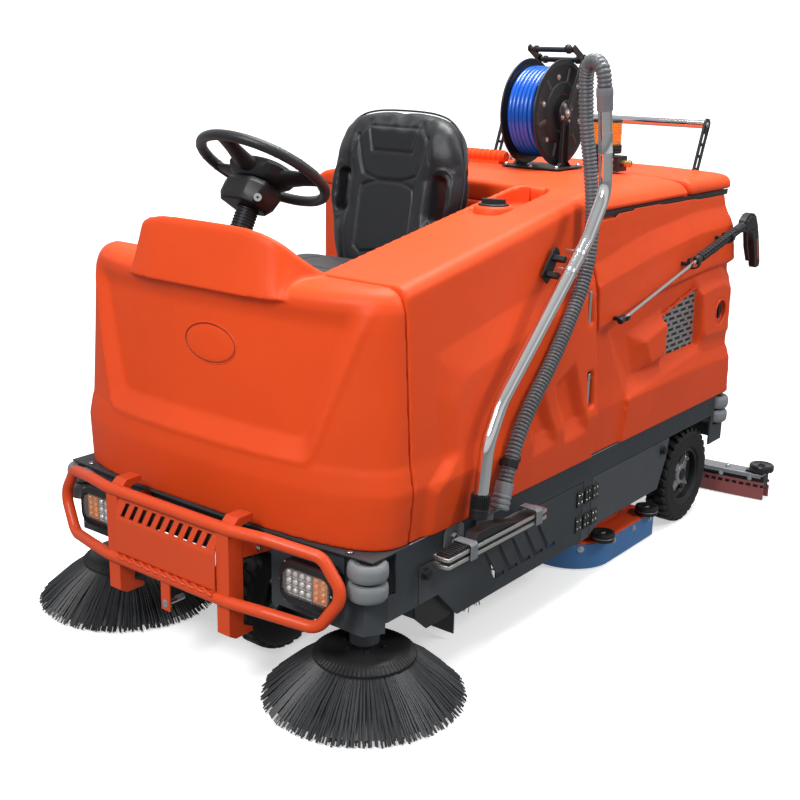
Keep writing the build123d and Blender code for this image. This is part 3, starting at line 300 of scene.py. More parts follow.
    def done(self, name, mat, body, slot, bevel=0.0, segs=2, smooth=38, angle=35):
        me = bpy.data.meshes.new(name)
        me.from_pydata(self.v, [], self.f)
        me.validate()
        return finish_mesh(name, me, mat, body, bevel, segs, smooth, angle)


def finish_mesh(name, me, mat, body, bevel=0.0, segs=2, smooth=38, angle=35):
    ob = bpy.data.objects.new(name, me)
    scene.collection.objects.link(ob)
    me.materials.append(M[mat])
    if smooth:
        me.shade_smooth()
        me.set_sharp_from_angle(angle=math.radians(smooth))
    if bevel:
        md = ob.modifiers.new("bevel", "BEVEL")
        md.width = bevel
        md.segments = segs
        md.limit_method = "ANGLE"
        md.angle_limit = math.radians(angle)
        md.harden_normals = False
    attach(ob, body)
    return ob


def arc_path(pts, radii, step=10):
    """A run of straight lines with rounded corners, as points. pts in metres."""
    pts = [Vector(p) for p in pts]
    out = [pts[0]]
    for i in range(1, len(pts) - 1):
        a, b, c = pts[i - 1], pts[i], pts[i + 1]
        u, v = (a - b).normalized(), (c - b).normalized()
        ang = u.angle(v)
        r = radii[i - 1]
        d = r / math.tan(ang / 2)
        p, q = b + u * d, b + v * d
        ctr = b + (u + v).normalized() * (r / math.sin(ang / 2))
        n0, n1 = p - ctr, q - ctr
        tot = n0.angle(n1)
        ax = n0.cross(n1).normalized()
        for k in range(step + 1):
            out.append(ctr + Matrix.Rotation(tot * k / step, 3, ax) @ n0)
    out.append(pts[-1])
    return out


ROOT = "machine_frame"


# ------------------------------------------------------------------ materials


def _n(nt, kind, **inputs):
    node = nt.nodes.new(kind)
    for key, value in inputs.items():
        if key.startswith("_"):
            setattr(node, key[1:], value)
        else:
            node.inputs[key.replace("__", " ")].default_value = value
    return node


def pbr(name, base, rough=0.5, metal=0.0, var=0.07, var_scale=3.0, grain=0.15,
        grain_scale=420.0, grain_depth=0.0006, bevel=0.0, coat=0.0, spec=0.5, dust_and_top_light=0.0,
        dust_and_top_light_col=(0.35, 0.33, 0.30), rough_var=0.08, wear=0.0, wear_col=(0.55, 0.55, 0.56),
        sheen=0.0, stretch=(1, 1, 1), cells=0.0, cell_scale=260.0):
    """A procedural finish: colour drift, grain in the bump, roughness drift, a paler grey tone on faces turned up
    (partly dust, partly painted light from above) and worn edges.
    """
    m = bpy.data.materials.new(name)
    m.use_nodes = True
    nt = m.node_tree
    b = nt.nodes["Principled BSDF"]
    b.inputs["Metallic"].default_value = metal
    b.inputs["Specular IOR Level"].default_value = spec
    if coat:
        b.inputs["Coat Weight"].default_value = coat
        b.inputs["Coat Roughness"].default_value = 0.12
    if sheen:
        b.inputs["Sheen Weight"].default_value = sheen
    tc = _n(nt, "ShaderNodeTexCoord")
    mp = _n(nt, "ShaderNodeMapping")
    mp.inputs["Scale"].default_value = stretch
    nt.links.new(tc.outputs["Object"], mp.inputs["Vector"])
    big = _n(nt, "ShaderNodeTexNoise", Scale=var_scale, Detail=5.0, Roughness=0.6)
    nt.links.new(mp.outputs[0], big.inputs["Vector"])
    lo = [max(0.0, c * (1 - var)) for c in base]
    hi = [min(1.0, c * (1 + var) + 0.004 * var) for c in base]
    ramp = _n(nt, "ShaderNodeValToRGB")
    ramp.color_ramp.elements[0].position = 0.3
    ramp.color_ramp.elements[1].position = 0.7
    ramp.color_ramp.elements[0].color = (*lo, 1)
    ramp.color_ramp.elements[1].color = (*hi, 1)
    nt.links.new(big.outputs["Fac"], ramp.inputs["Fac"])
    colour = ramp.outputs["Color"]
    geo = None
    # faces turned up are mixed towards a paler grey: partly dust, partly painted light from above
    if dust_and_top_light:
        geo = _n(nt, "ShaderNodeNewGeometry")
        sep = _n(nt, "ShaderNodeSeparateXYZ")
        nt.links.new(geo.outputs["Normal"], sep.inputs[0])
        up = _n(nt, "ShaderNodeMapRange")
        up.inputs["From Min"].default_value = 0.2
        up.inputs["From Max"].default_value = 1.0
        up.inputs["To Max"].default_value = dust_and_top_light
        nt.links.new(sep.outputs["Z"], up.inputs["Value"])
        dn_ = _n(nt, "ShaderNodeTexNoise", Scale=24.0, Detail=6.0, Roughness=0.7)
        nt.links.new(tc.outputs["Object"], dn_.inputs["Vector"])
        mul = _n(nt, "ShaderNodeMath", _operation="MULTIPLY")
        nt.links.new(up.outputs[0], mul.inputs[0])
        nt.links.new(dn_.outputs["Fac"], mul.inputs[1])
        mx = _n(nt, "ShaderNodeMix", _data_type="RGBA")
        mx.inputs[7].default_value = (*dust_and_top_light_col, 1)
        nt.links.new(mul.outputs[0], mx.inputs[0])
        nt.links.new(colour, mx.inputs[6])
        colour = mx.outputs[2]
    if wear:
        geo = geo or _n(nt, "ShaderNodeNewGeometry")
        wr = _n(nt, "ShaderNodeMapRange")
        wr.inputs["From Min"].default_value = 0.53
        wr.inputs["From Max"].default_value = 0.62
        wr.inputs["To Max"].default_value = wear
        nt.links.new(geo.outputs["Pointiness"], wr.inputs["Value"])
        mx = _n(nt, "ShaderNodeMix", _data_type="RGBA")
        mx.inputs[7].default_value = (*wear_col, 1)
        nt.links.new(wr.outputs[0], mx.inputs[0])
        nt.links.new(colour, mx.inputs[6])
        colour = mx.outputs[2]
    nt.links.new(colour, b.inputs["Base Color"])
    rr = _n(nt, "ShaderNodeMapRange")
    rr.inputs["To Min"].default_value = max(0.02, rough - rough_var)
    rr.inputs["To Max"].default_value = min(1.0, rough + rough_var)
    rn = _n(nt, "ShaderNodeTexNoise", Scale=var_scale * 6, Detail=4.0)
    nt.links.new(mp.outputs[0], rn.inputs["Vector"])
    nt.links.new(rn.outputs["Fac"], rr.inputs["Value"])
    nt.links.new(rr.outputs[0], b.inputs["Roughness"])
    normal = None
    if bevel:
        bv = _n(nt, "ShaderNodeBevel", Radius=bevel)
        bv.samples = 4
        normal = bv.outputs[0]
    if grain:
        if cells:
            g = _n(nt, "ShaderNodeTexVoronoi", Scale=cell_scale)
            g.feature = "SMOOTH_F1"
            gout = g.outputs["Distance"]
        else:
            g = _n(nt, "ShaderNodeTexNoise", Scale=grain_scale, Detail=3.0, Roughness=0.55)
            gout = g.outputs["Fac"]
        nt.links.new(mp.outputs[0], g.inputs["Vector"])
        bp = _n(nt, "ShaderNodeBump", Strength=grain, Distance=grain_depth)
        nt.links.new(gout, bp.inputs["Height"])
        if normal is not None:
            nt.links.new(normal, bp.inputs["Normal"])
        normal = bp.outputs[0]
    if normal is not None:
        nt.links.new(normal, b.inputs["Normal"])
    return m


M = {}
M["orange"] = pbr("orange_moulded", (0.680, 0.062, 0.0085), 0.50, spec=0.22, var=0.05, grain=0.30,
                  grain_scale=700, grain_depth=0.0005, dust_and_top_light=0.03)
# dark orange for the ring round the oval: painted shade of the groove
M["groove"] = pbr("oval_groove", (0.20, 0.016, 0.004), 0.6, var=0.05, grain=0.1)
M["orange_sat"] = pbr("orange_powder_coat", (0.640, 0.062, 0.011), 0.40, spec=0.35, var=0.05, grain=0.20,
                      grain_scale=500, grain_depth=0.0004, bevel=0.0015, dust_and_top_light=0.05,
                      wear=0.25, wear_col=(0.45, 0.05, 0.02))
M["chassis"] = pbr("chassis_grey", (0.032, 0.038, 0.045), 0.52, metal=0.0, spec=0.25, grain=0.25,
                   grain_scale=900, grain_depth=0.0004, bevel=0.0015, dust_and_top_light=0.10,
                   wear=0.2, wear_col=(0.16, 0.17, 0.18))
M["black_steel"] = pbr("black_steel", (0.009, 0.010, 0.011), 0.36, metal=0.1, grain=0.12,
                       grain_scale=600, bevel=0.001, dust_and_top_light=0.06, wear=0.2,
                       wear_col=(0.12, 0.12, 0.12), spec=0.35)
M["black_plastic"] = pbr("black_plastic", (0.009, 0.0095, 0.011), 0.44, grain=0.25,
                         grain_scale=900, grain_depth=0.0004, bevel=0.0015, dust_and_top_light=0.05, spec=0.35)
M["vinyl"] = pbr("black_vinyl", (0.010, 0.012, 0.015), 0.42, var=0.12, grain=0.55,
                 cells=1.0, cell_scale=520, grain_depth=0.0007, dust_and_top_light=0.06, sheen=0.08, spec=0.35)
M["rubber"] = pbr("grey_rubber", (0.185, 0.200, 0.212), 0.62, var=0.10, grain=0.35,
                  grain_scale=500, dust_and_top_light=0.10)
M["tyre"] = pbr("tyre_rubber", (0.010, 0.0105, 0.012), 0.66, var=0.2, grain=0.4,
                grain_scale=500, dust_and_top_light=0.25, dust_and_top_light_col=(0.12, 0.11, 0.10), spec=0.35)
M["bristle"] = pbr("bristle", (0.016, 0.018, 0.021), 0.50, var=0.35, var_scale=40, grain=0.3,
                   grain_scale=700, dust_and_top_light=0.15, dust_and_top_light_col=(0.10, 0.10, 0.10))
M["chrome"] = pbr("chrome", (0.80, 0.81, 0.82), 0.10, metal=1.0, var=0.04, grain=0.03,
                  grain_scale=60, rough_var=0.05)
M["steel"] = pbr("zinc_steel", (0.56, 0.57, 0.58), 0.28, metal=1.0, var=0.10, grain=0.15,
                 grain_scale=300)
M["alu"] = pbr("brushed_aluminium", (0.60, 0.60, 0.58), 0.38, metal=1.0, var=0.06, grain=0.3,
               grain_scale=300, stretch=(0.06, 0.06, 1.0), bevel=0.0008)
M["grey_hose"] = pbr("grey_hose", (0.095, 0.102, 0.112), 0.40, var=0.10, grain=0.15,
                     grain_scale=400, dust_and_top_light=0.08)
M["grey_cuff"] = pbr("grey_cuff", (0.165, 0.175, 0.190), 0.36, var=0.08, grain=0.12,
                     grain_scale=300, bevel=0.0008)
M["blue_hose"] = pbr("blue_hose", (0.006, 0.085, 0.46), 0.24, var=0.12, var_scale=8,
                     grain=0.08, grain_scale=300, coat=0.3)
M["blue_rubber"] = pbr("blue_rubber", (0.045, 0.160, 0.39), 0.50, var=0.15, grain=0.25,
                       grain_scale=300, dust_and_top_light=0.12)
M["red_rubber"] = pbr("red_rubber", (0.31, 0.088, 0.084), 0.55, var=0.10, grain=0.2,
                      grain_scale=300, dust_and_top_light=0.1)
M["lamp_black"] = pbr("lamp_bezel", (0.012, 0.012, 0.014), 0.25, grain=0.08, bevel=0.0015)
M["hub"] = pbr("hub_grey", (0.36, 0.37, 0.39), 0.34, metal=0.75, var=0.08, grain=0.15,
               grain_scale=300, bevel=0.0015)
M["battery"] = pbr("battery_case", (0.03, 0.03, 0.034), 0.5, grain=0.2, bevel=0.002)

M["led_back_white"] = pbr("led_back_white", (0.19, 0.19, 0.185), 0.3, metal=0.6, var=0.3, var_scale=60, grain=0.3, grain_scale=90)
M["led_back_amber"] = pbr("led_back_amber", (0.42, 0.12, 0.004), 0.3, var=0.3, var_scale=60, grain=0.3, grain_scale=90)
M["perforated"] = pbr("perforated_sheet", (0.34, 0.345, 0.35), 0.45, metal=0.55, var=0.1, grain=0.15)
M["led_white"] = pbr("led_white", (0.72, 0.73, 0.72), 0.14, metal=0.35, var=0.05, grain=0.05,
                      grain_scale=200, spec=0.8)
M["led_amber"] = pbr("led_amber", (0.88, 0.27, 0.010), 0.18, metal=0.15, var=0.08, grain=0.05,
                      grain_scale=200, spec=0.8)


def glassy(name, colour, rough, alpha):
    """A clear or tinted cover: mostly see-through, glossy, a little uneven."""
    m = pbr(name, colour, rough, var=0.03, grain=0.04, grain_scale=120, coat=0.6)
    b_ = m.node_tree.nodes["Principled BSDF"]
    b_.inputs["Alpha"].default_value = alpha
    b_.inputs["Transmission Weight"].default_value = 0.0
    return m


M["lens_clear"] = glassy("lens_clear", (0.85, 0.86, 0.86), 0.05, 0.08)
M["amber"] = pbr("amber_lens", (0.86, 0.24, 0.012), 0.16, var=0.08, var_scale=12, grain=0.10,
                 grain_scale=200, coat=0.7)
M["amber"].node_tree.nodes["Principled BSDF"].inputs["Subsurface Weight"].default_value = 0.15
M["brass"] = pbr("brass", (0.60, 0.42, 0.16), 0.28, metal=1.0, var=0.1, grain=0.1)
M["red_handle"] = pbr("red_plastic", (0.62, 0.030, 0.022), 0.35, var=0.06, grain=0.15)
M["lever_yellow"] = pbr("brass_dark", (0.30, 0.22, 0.11), 0.35, metal=0.9, var=0.1, grain=0.1)

SLOT_MAT = {
    "dark_steel": "chassis", "orange_steel": "orange_sat", "lamp": "lamp_black",
    "grey_rubber": "rubber", "orange_plastic": "orange", "black_plastic": "black_plastic",
    "black_vinyl": "vinyl", "battery": "battery", "black_steel": "black_steel",
    "blue_hose": "blue_hose", "amber": "amber", "chrome_tube": "chrome",
    "grey_hose": "grey_hose", "aluminium_strip": "alu", "bristle": "bristle", "tyre": "tyre",
    "rim": "hub", "blue_rubber": "blue_rubber", "red_rubber": "red_rubber",
}
slot_of = {s["node"]: s["material_slot"] for s in frame["record"]["subparts"]}
for name, ob in nodes.items():
    ob.data.materials.clear()
    ob.data.materials.append(M[SLOT_MAT[slot_of[name]]])

# ------------------------------------------------------------------ stage


def area(name, loc, target, size, power, size_y=None):
    ld = bpy.data.lights.new(name, "AREA")
    ld.energy = power
    ld.size = size
    if size_y:
        ld.shape = "RECTANGLE"
        ld.size_y = size_y
    lo = bpy.data.objects.new(name, ld)
    scene.collection.objects.link(lo)
    lo.location = loc
    lo.rotation_euler = (Vector(target) - Vector(loc)).to_track_quat("-Z", "Y").to_euler()
    return lo


floor_mesh = bpy.data.meshes.new("floor")
floor_mesh.from_pydata([(-14, -14, 0), (14, -14, 0), (14, 14, 0), (-14, 14, 0)], [], [(0, 1, 2, 3)])
floor = bpy.data.objects.new("floor", floor_mesh)
scene.collection.objects.link(floor)
floor.location.z = -0.0005
floor.data.materials.append(pbr("floor", (0.80, 0.80, 0.80), 0.80, var=0.01, grain=0.05, grain_scale=80))
fl = floor.data.materials[0].node_tree.nodes["Principled BSDF"]
fl.inputs["Emission Color"].default_value = (1, 1, 1, 1)
fnt = floor.data.materials[0].node_tree
f_tc = fnt.nodes.new("ShaderNodeTexCoord")
f_ln = fnt.nodes.new("ShaderNodeVectorMath")
f_ln.operation = "LENGTH"
f_mr = fnt.nodes.new("ShaderNodeMapRange")
for k_, v_ in (("From Min", 2.0), ("From Max", 8.0), ("To Min", 0.50), ("To Max", 1.0)):
    f_mr.inputs[k_].default_value = v_
fnt.links.new(f_tc.outputs["Object"], f_ln.inputs[0])
fnt.links.new(f_ln.outputs["Value"], f_mr.inputs["Value"])
fnt.links.new(f_mr.outputs["Result"], fl.inputs["Emission Strength"])
floor.visible_diffuse = False
floor.visible_glossy = False
# pale backdrop round the floor, seen by the camera and casting no light
bd_v, bd_f = [], []
for i in range(64):
    a_ = 2 * math.pi * i / 64
    for h in (-0.2, 16.0):
        bd_v.append((13.6 * math.cos(a_), 13.6 * math.sin(a_), h))
for i in range(64):
    j = (i + 1) % 64
    bd_f.append((2 * i, 2 * j, 2 * j + 1, 2 * i + 1))
bd_mesh = bpy.data.meshes.new("backdrop")
bd_mesh.from_pydata(bd_v, [], bd_f)
backdrop = bpy.data.objects.new("backdrop", bd_mesh)
scene.collection.objects.link(backdrop)
bd_mat = pbr("backdrop", (0.9, 0.9, 0.9), 0.9, var=0.0, grain=0.0)
bdb = bd_mat.node_tree.nodes["Principled BSDF"]
bdb.inputs["Emission Color"].default_value = (1, 1, 1, 1)
bdb.inputs["Emission Strength"].default_value = 1.0
backdrop.data.materials.append(bd_mat)
backdrop.visible_diffuse = False
backdrop.visible_glossy = False
backdrop.visible_transmission = False
backdrop.visible_shadow = False
world = bpy.data.worlds.new("studio")
world.use_nodes = True
w_nt = world.node_tree
w_bg = w_nt.nodes["Background"]
w_tc = w_nt.nodes.new("ShaderNodeTexCoord")
w_sp = w_nt.nodes.new("ShaderNodeSeparateXYZ")
w_mr = w_nt.nodes.new("ShaderNodeMapRange")
w_mr.inputs["From Min"].default_value = -1.0
w_cr = w_nt.nodes.new("ShaderNodeValToRGB")
w_nt.links.new(w_tc.outputs["Generated"], w_sp.inputs[0])
w_nt.links.new(w_sp.outputs["Z"], w_mr.inputs["Value"])
w_nt.links.new(w_mr.outputs["Result"], w_cr.inputs["Fac"])
w_nt.links.new(w_cr.outputs["Color"], w_bg.inputs["Color"])
els = w_cr.color_ramp.elements
els[0].position, els[0].color = 0.0, (0.40, 0.40, 0.40, 1)
els[1].position, els[1].color = 1.0, (0.60, 0.60, 0.60, 1)
for p_, g_ in ((0.42, 0.32), (0.50, 0.18), (0.53, 0.60), (0.68, 0.70), (0.76, 0.34)):
    e_ = els.new(p_)
    e_.color = (g_, g_, g_, 1)
w_bg.inputs["Strength"].default_value = 1.0
scene.world = world
area("key", (0.9, -3.9, 3.4), (0, -0.6, 0.7), 1.1, 138)
area("top", (0.3, 0.5, 4.6), (0, 0.2, 0.6), 2.2, 265)
area("side", (4.2, 1.5, 3.9), (0, 0.4, 0.7), 1.0, 92)
scene.view_settings.view_transform = "Standard"
scene.view_settings.look = "None"
scene.view_settings.exposure = 0.0

# ------------------------------------------------------------------ vacuum hose
WX = 0.640
WAND = [Vector((WX, st(2466), .492)), Vector((WX, st(2492), .665)), Vector((WX, st(2550), .767)),
        Vector((WX, st(2945), 1.144)), Vector((WX, st(3034), 1.270)), Vector((WX, st(2995), 1.512))]
up = (WAND[5] - WAND[4]).normalized()
foot = (WAND[1] - WAND[0]).normalized()
cuff_top = WAND[5] + up * 0.040
HOSE = [cuff_top, cuff_top + up * 0.0379, V(617, 2991, 1618), V(583, 3009, 1621),
        V(560, 3027, 1596), V(557, 3036, 1536), V(560, 3049, 1424), V(566, 3065, 1349),
        V(580, 3069, 1238), V(590, 3063, 1126), V(594, 3026, 1007), V(600, 2929, 889),
        V(608, 2839, 800), V(618, 2709, 692), V(628, 2628, 591), V(631, 2598, 522)]


def nurbs_points(name, pts, res=14):
    """Points along a smooth NURBS line with these control points, in the row frame."""
    cu = bpy.data.curves.new(name, "CURVE")
    cu.dimensions = "3D"
    sp = cu.splines.new("NURBS")
    sp.points.add(len(pts) - 1)
    for p, c in zip(sp.points, pts):
        p.co = (*c, 1)
    sp.order_u = 3
    sp.use_endpoint_u = True
    cu.resolution_u = res
    ob = bpy.data.objects.new(name, cu)
    scene.collection.objects.link(ob)
    bpy.context.view_layer.update()
    dg = bpy.context.evaluated_depsgraph_get()
    me = bpy.data.meshes.new_from_object(ob.evaluated_get(dg))
    out = [v.co.copy() for v in me.vertices]
    bpy.data.objects.remove(ob)
    bpy.data.curves.remove(cu)
    bpy.data.meshes.remove(me)
    return out


def resample(pts, step):
    """Evenly spaced points and the total length."""
    run = [0.0]
    for a, b in zip(pts, pts[1:]):
        run.append(run[-1] + (b - a).length)
    total = run[-1]
    n = max(2, round(total / step))
    out, k = [], 0
    for i in range(n + 1):
        d = total * i / n
        while k < len(run) - 2 and run[k + 1] < d:
            k += 1
        seg = run[k + 1] - run[k]
        t = 0 if seg < 1e-12 else (d - run[k]) / seg
        out.append(pts[k].lerp(pts[k + 1], min(1, max(0, t))))
    return out, total


hose_line = nurbs_points("hose_line", HOSE)
PITCH = 0.0110
fine, hose_len = resample(hose_line, PITCH / 6)
prof6 = [0.0178, 0.0180, 0.0206, 0.0210, 0.0210, 0.0206]
hb = Build()
hb.tube(fine, [prof6[i % 6] for i in range(len(fine))], n=20)
hose = hb.done("suction_hose", "grey_hose", ROOT, "grey_hose", smooth=60)
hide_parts("vac_hose")

# end cuff of the hose: sleeve, stepped rings and stub it is pushed over
hend = HOSE[-1]
hdir = (HOSE[-1] - HOSE[-2]).normalized()
c0, c1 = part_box("hose_cuff")
cuff_len = max(0.05, (hend.z - c0.z) / abs(hdir.z) - 0.002)
cb = Build()
cb.lathe(hend - hdir * 0.006, hdir, [(0.0175, 0), (0.0238, 0), (0.0245, 0.002), (0.0245, 0.034),
         (0.0262, 0.036), (0.0262, 0.041), (0.0246, 0.0425), (0.0246, 0.048), (0.0268, 0.050),
         (0.0268, 0.057), (0.0250, 0.0585), (0.0250, 0.062), (0.0268, 0.064), (0.0268, 0.071),
         (0.0235, 0.073), (0.0235, 0.075), (0.0175, 0.075), (0.0175, 0)], 40)
cuff = cb.done("hose_end_cuff", "grey_cuff", ROOT, "grey_hose", smooth=32)
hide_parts("hose_cuff")

# strap round the hose near its foot
si = min(range(len(fine)), key=lambda i: (fine[i] - V(629, 2622, 575)).length)
sp_, sd = fine[si], (fine[si + 1] - fine[si - 1]).normalized()
sb = Build()
sb.ring(sp_, sd, [(0.0212, -0.011), (0.0240, -0.011), (0.0240, 0.011), (0.0212, 0.011)], 40)
_, su, sw = basis(sd)
sb.box(sp_ + Vector((0.004, 0.030, 0.004)), (0.012, 0.016, 0.016), None)
sb.box(sp_ + Vector((-0.026, -0.010, 0.002)), (0.030, 0.010, 0.016), None)
sb.done("hose_strap", "black_plastic", ROOT, "black_steel", bevel=0.001)

# ------------------------------------------------------------------ suction wand
wb = Build()
wpath = arc_path(WAND, [0.150, 0.150, 0.110, 0.120], 14)
wb.tube(wpath, 0.0194, n=32)
wand = wb.done("wand_tube", "chrome", ROOT, "chrome_tube", smooth=50)
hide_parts("vac_wand")
wb = Build()
jd = up
jp = WAND[4] + jd * 0.105
wb.lathe(jp, jd, [(0.0188, 0), (0.0202, 0), (0.0206, 0.0015), (0.0206, 0.005), (0.0200, 0.0065),
         (0.0200, 0.060), (0.0188, 0.060), (0.0188, 0)], 36)
wb.done("wand_joint", "chrome", ROOT, "chrome_tube", smooth=40)
# grey cuff at the top
wb = Build()
wb.lathe(WAND[5] - up * 0.022, up, [(0.0165, 0), (0.0216, 0), (0.0222, 0.002), (0.0222, 0.036),
         (0.0232, 0.038), (0.0232, 0.056), (0.0222, 0.062), (0.0165, 0.062), (0.0165, 0)], 40)
wb.done("wand_cuff", "grey_cuff", ROOT, "grey_hose", smooth=32)
# ribbed collar and neck at the foot
wb = Build()
o = WAND[0] - foot * 0.024
n_r = 28
wb.lathe(o, foot, [(0.018, 0), (0.0250, 0), (0.0250, 0.020), (0.0262, 0.021), (0.0262, 0.026),
         (0.0225, 0.028), (0.0225, 0.064), (0.0240, 0.066), (0.018, 0.066), (0.018, 0)], 40)
a_, u_, w_ = basis(foot)
for i in range(n_r):
    t = 2 * math.pi * i / n_r
    d = u_ * math.cos(t) + w_ * math.sin(t)
    wb.box(o + foot * 0.046 + d * 0.0240, (0.0042, 0.0030, 0.034), (d, a_.cross(d), a_))
wb.done("wand_collar", "black_plastic", ROOT, "black_plastic", bevel=0.0004, smooth=32)

# ------------------------------------------------------------------ moulded shells


def temp_ob(name, v, f):
    me = bpy.data.meshes.new(name)
    me.from_pydata([tuple(p) for p in v], [], f)
    bm = bmesh.new()
    bm.from_mesh(me)
    bmesh.ops.remove_doubles(bm, verts=bm.verts, dist=1e-5)
    bmesh.ops.recalc_face_normals(bm, faces=bm.faces)
    bm.to_mesh(me)
    bm.free()
    ob = bpy.data.objects.new(name, me)
    scene.collection.objects.link(ob)
    return ob


def baked(ob):
    """The object's mesh with its modifiers applied; the object is removed."""
    bpy.context.view_layer.update()
    dg = bpy.context.evaluated_depsgraph_get()
    me = bpy.data.meshes.new_from_object(ob.evaluated_get(dg))
    old = ob.data
    bpy.data.objects.remove(ob)
    bpy.data.meshes.remove(old)
    return me


def moulded(name, starts, adds=(), cuts=(), voxel=0.007, smooth=10, factor=0.5, keep=1.0,
            mat="orange", body=ROOT, adds_first=False, shape=None):
    """A soft-edged moulding: closed forms joined and cut, remeshed fine and relaxed.
    starts are CAD node names or Build forms; adds and cuts are Build forms."""
    v, f = [], []

    def take(vs, fs):
        n = len(v)
        v.extend(vs)
        f.extend(tuple(i + n for i in t) for t in fs)

    for s_ in starts:
        if isinstance(s_, str):
            me0 = nodes[s_].data
            take([tuple(p.co) for p in me0.vertices], [tuple(p.vertices) for p in me0.polygons])
        else:
            take(s_.v, s_.f)
    ob = temp_ob(name + "_t", v, f)
    helpers = []
    jobs = [("DIFFERENCE", cuts), ("UNION", adds)]
    for kind, items in (jobs[::-1] if adds_first else jobs):
        for c in items:
            h = temp_ob("h", c.v, c.f)
            helpers.append(h)
            md = ob.modifiers.new("b", "BOOLEAN")
            md.operation = kind
            md.solver = "EXACT"
            md.object = h
    rm = ob.modifiers.new("r", "REMESH")
    rm.mode = "VOXEL"
    rm.voxel_size = voxel
    rm.adaptivity = 0.0
    me = baked(ob)
    for h in helpers:
        hm = h.data
        bpy.data.objects.remove(h)
        bpy.data.meshes.remove(hm)
    if shape:
        shape(me)
    ob = bpy.data.objects.new(name, me)
    scene.collection.objects.link(ob)
    if smooth:
        sm = ob.modifiers.new("s", "SMOOTH")
        sm.factor = factor
        sm.iterations = smooth
    if keep < 1.0:
        dc = ob.modifiers.new("d", "DECIMATE")
        dc.ratio = keep
    me = baked(ob)
    me.materials.clear()
    ob = finish_mesh(name, me, mat, body, smooth=0)
    me.shade_smooth()
    return ob


def frustum(outer, x0, inner, x1, sx=1):
    """A relief form between two outlines of (station, height) in mm at two X planes."""
    b = Build()
    n = len(outer)
    lo = [V(sx * x0, s, z) for s, z in outer]
    hi = [V(sx * x1, s, z) for s, z in inner]
    faces = [tuple(range(n)), tuple(range(2 * n - 1, n - 1, -1))]
    for i in range(n):
        j = (i + 1) % n
        faces.append((i, n + i, n + j, j))
    b.add(lo + hi, faces)
    return b


WALL_T = [(400, 572), (444, 576), (588, 590), (655, 579), (1060, 553), (1300, 540)]
WALL_D = [(400, 572), (447, 578), (588, 587), (655, 579), (1060, 557), (1300, 541)]


def wall_x(table, z):
    for (z0, x0), (z1, x1) in zip(table, table[1:]):
        if z <= z1:
            return x0 + (x1 - x0) * (z - z0) / (z1 - z0)
    return table[-1][1]


def in_poly(x, y, poly):
    inside = False
    n = len(poly)
    j = n - 1
    for i in range(n):
        xi, yi = poly[i]
        xj, yj = poly[j]
        if (yi > y) != (yj > y) and x < (xj - xi) * (y - yi) / (yj - yi) + xi:
            inside = not inside
        j = i
    return inside


def edge_dist(x, y, poly):
    best = 1e9
    n = len(poly)
    for i in range(n):
        ax_, ay_ = poly[i]
        dx, dy = poly[(i + 1) % n][0] - ax_, poly[(i + 1) % n][1] - ay_
        t = ((x - ax_) * dx + (y - ay_) * dy) / (dx * dx + dy * dy)
        t = 0 if t < 0 else 1 if t > 1 else t
        d = (x - ax_ - dx * t) ** 2 + (y - ay_ - dy * t) ** 2
        if d < best:
            best = d
    return math.sqrt(best)


def bevelled(x, y, outer, inner):
    """0 outside the outer outline, 1 inside the inner one, a straight slope between them."""
    if not in_poly(x, y, outer):
        return 0.0
    if in_poly(x, y, inner):
        return 1.0
    a_, b_ = edge_dist(x, y, outer), edge_dist(x, y, inner)
    return a_ / (a_ + b_ + 1e-9)


def side_relief(table, steps, sx=1):
    """A shaping function that moves the side wall out by each step in turn; a step is (outer, inner, mm, mode)."""
    boxes = [(min(p[0] for p in o), max(p[0] for p in o), min(p[1] for p in o), max(p[1] for p in o)) for o, i, d, m in steps]

    def run(me):
        for v in me.vertices:
            x = v.co.x * sx * 1000
            s_, z_ = (v.co.y + MID) * 1000, v.co.z * 1000
            w = wall_x(table, z_)
            if x < w - 16:
                continue
            f = min(1.0, (x - w + 16) / 12)
            h = 0.0
            for (o, i, d, m), (s0, s1, z0, z1) in zip(steps, boxes):
                if s0 <= s_ <= s1 and z0 <= z_ <= z1:
                    k = bevelled(s_, z_, o, i)
                    h = h + d * k if m == "add" else h + (d - h) * k
            if h:
                v.co.x = sx * max(x + h * f, min(x, 551.5)) / 1000
    return run


def slab(poly, x0, x1):
    """An outline of (station, height) in mm pushed from X x0 to x1."""
    return Build().prism([V(x0, s, z) for s, z in poly], (Vector(((x1 - x0) / 1000, 0, 0))))


# front cowl: rounded shell with a broad bevelled recess that runs out under the hood
COWL_Z = [(444, 576, 2086, 3.2), (520, 584, 2076, 2.9), (588, 589, 2068, 2.75), (640, 580, 2070, 2.6), (655, 576, 2073, 2.55),
          (850, 564, 2079, 2.42), (1000, 555, 2084, 2.36), (1036, 552, 2088, 2.35), (1060, 545, 2099, 2.35),
          (1077, 534, 2116, 2.35), (1087, 519, 2136, 2.35), (1092, 500, 2160, 2.35)]


def cowl_row(z):
    for a_, b_ in zip(COWL_Z, COWL_Z[1:]):
        if z <= b_[0]:
            t = max(0.0, (z - a_[0]) / (b_[0] - a_[0]))
            return [p + (q - p) * t for p, q in zip(a_[1:], b_[1:])]
    return list(COWL_Z[-1][1:])


def ramp01(v):
    return max(0.0, min(1.0, v))


def cowl_dent(x, z):
    """How far the front is set back by the recess, in mm: a rounded lip, a bevel, then the floor."""
    x = abs(x)
    xo = 388 + .347 * (z - 650)
    dx, dz = (xo - x) * .945, z - 640
    d = dx if dx < dz - 26 else dz if dz < dx - 26 else min(dx, dz) - 6.5 * (1 - abs(dx - dz) / 26) ** 2
    fade = 1 - ramp01((z - 985) / 85)
    fade = fade * fade * (3 - 2 * fade)
    if d <= 0:
        return 0.0
    lip = 7.5
    if d < 14:
        p = -lip * (d / 14)
    elif d < 64:
        p = -lip + (32 + lip) * (d - 14) / 50
    else:
        p = 32
    return p * fade


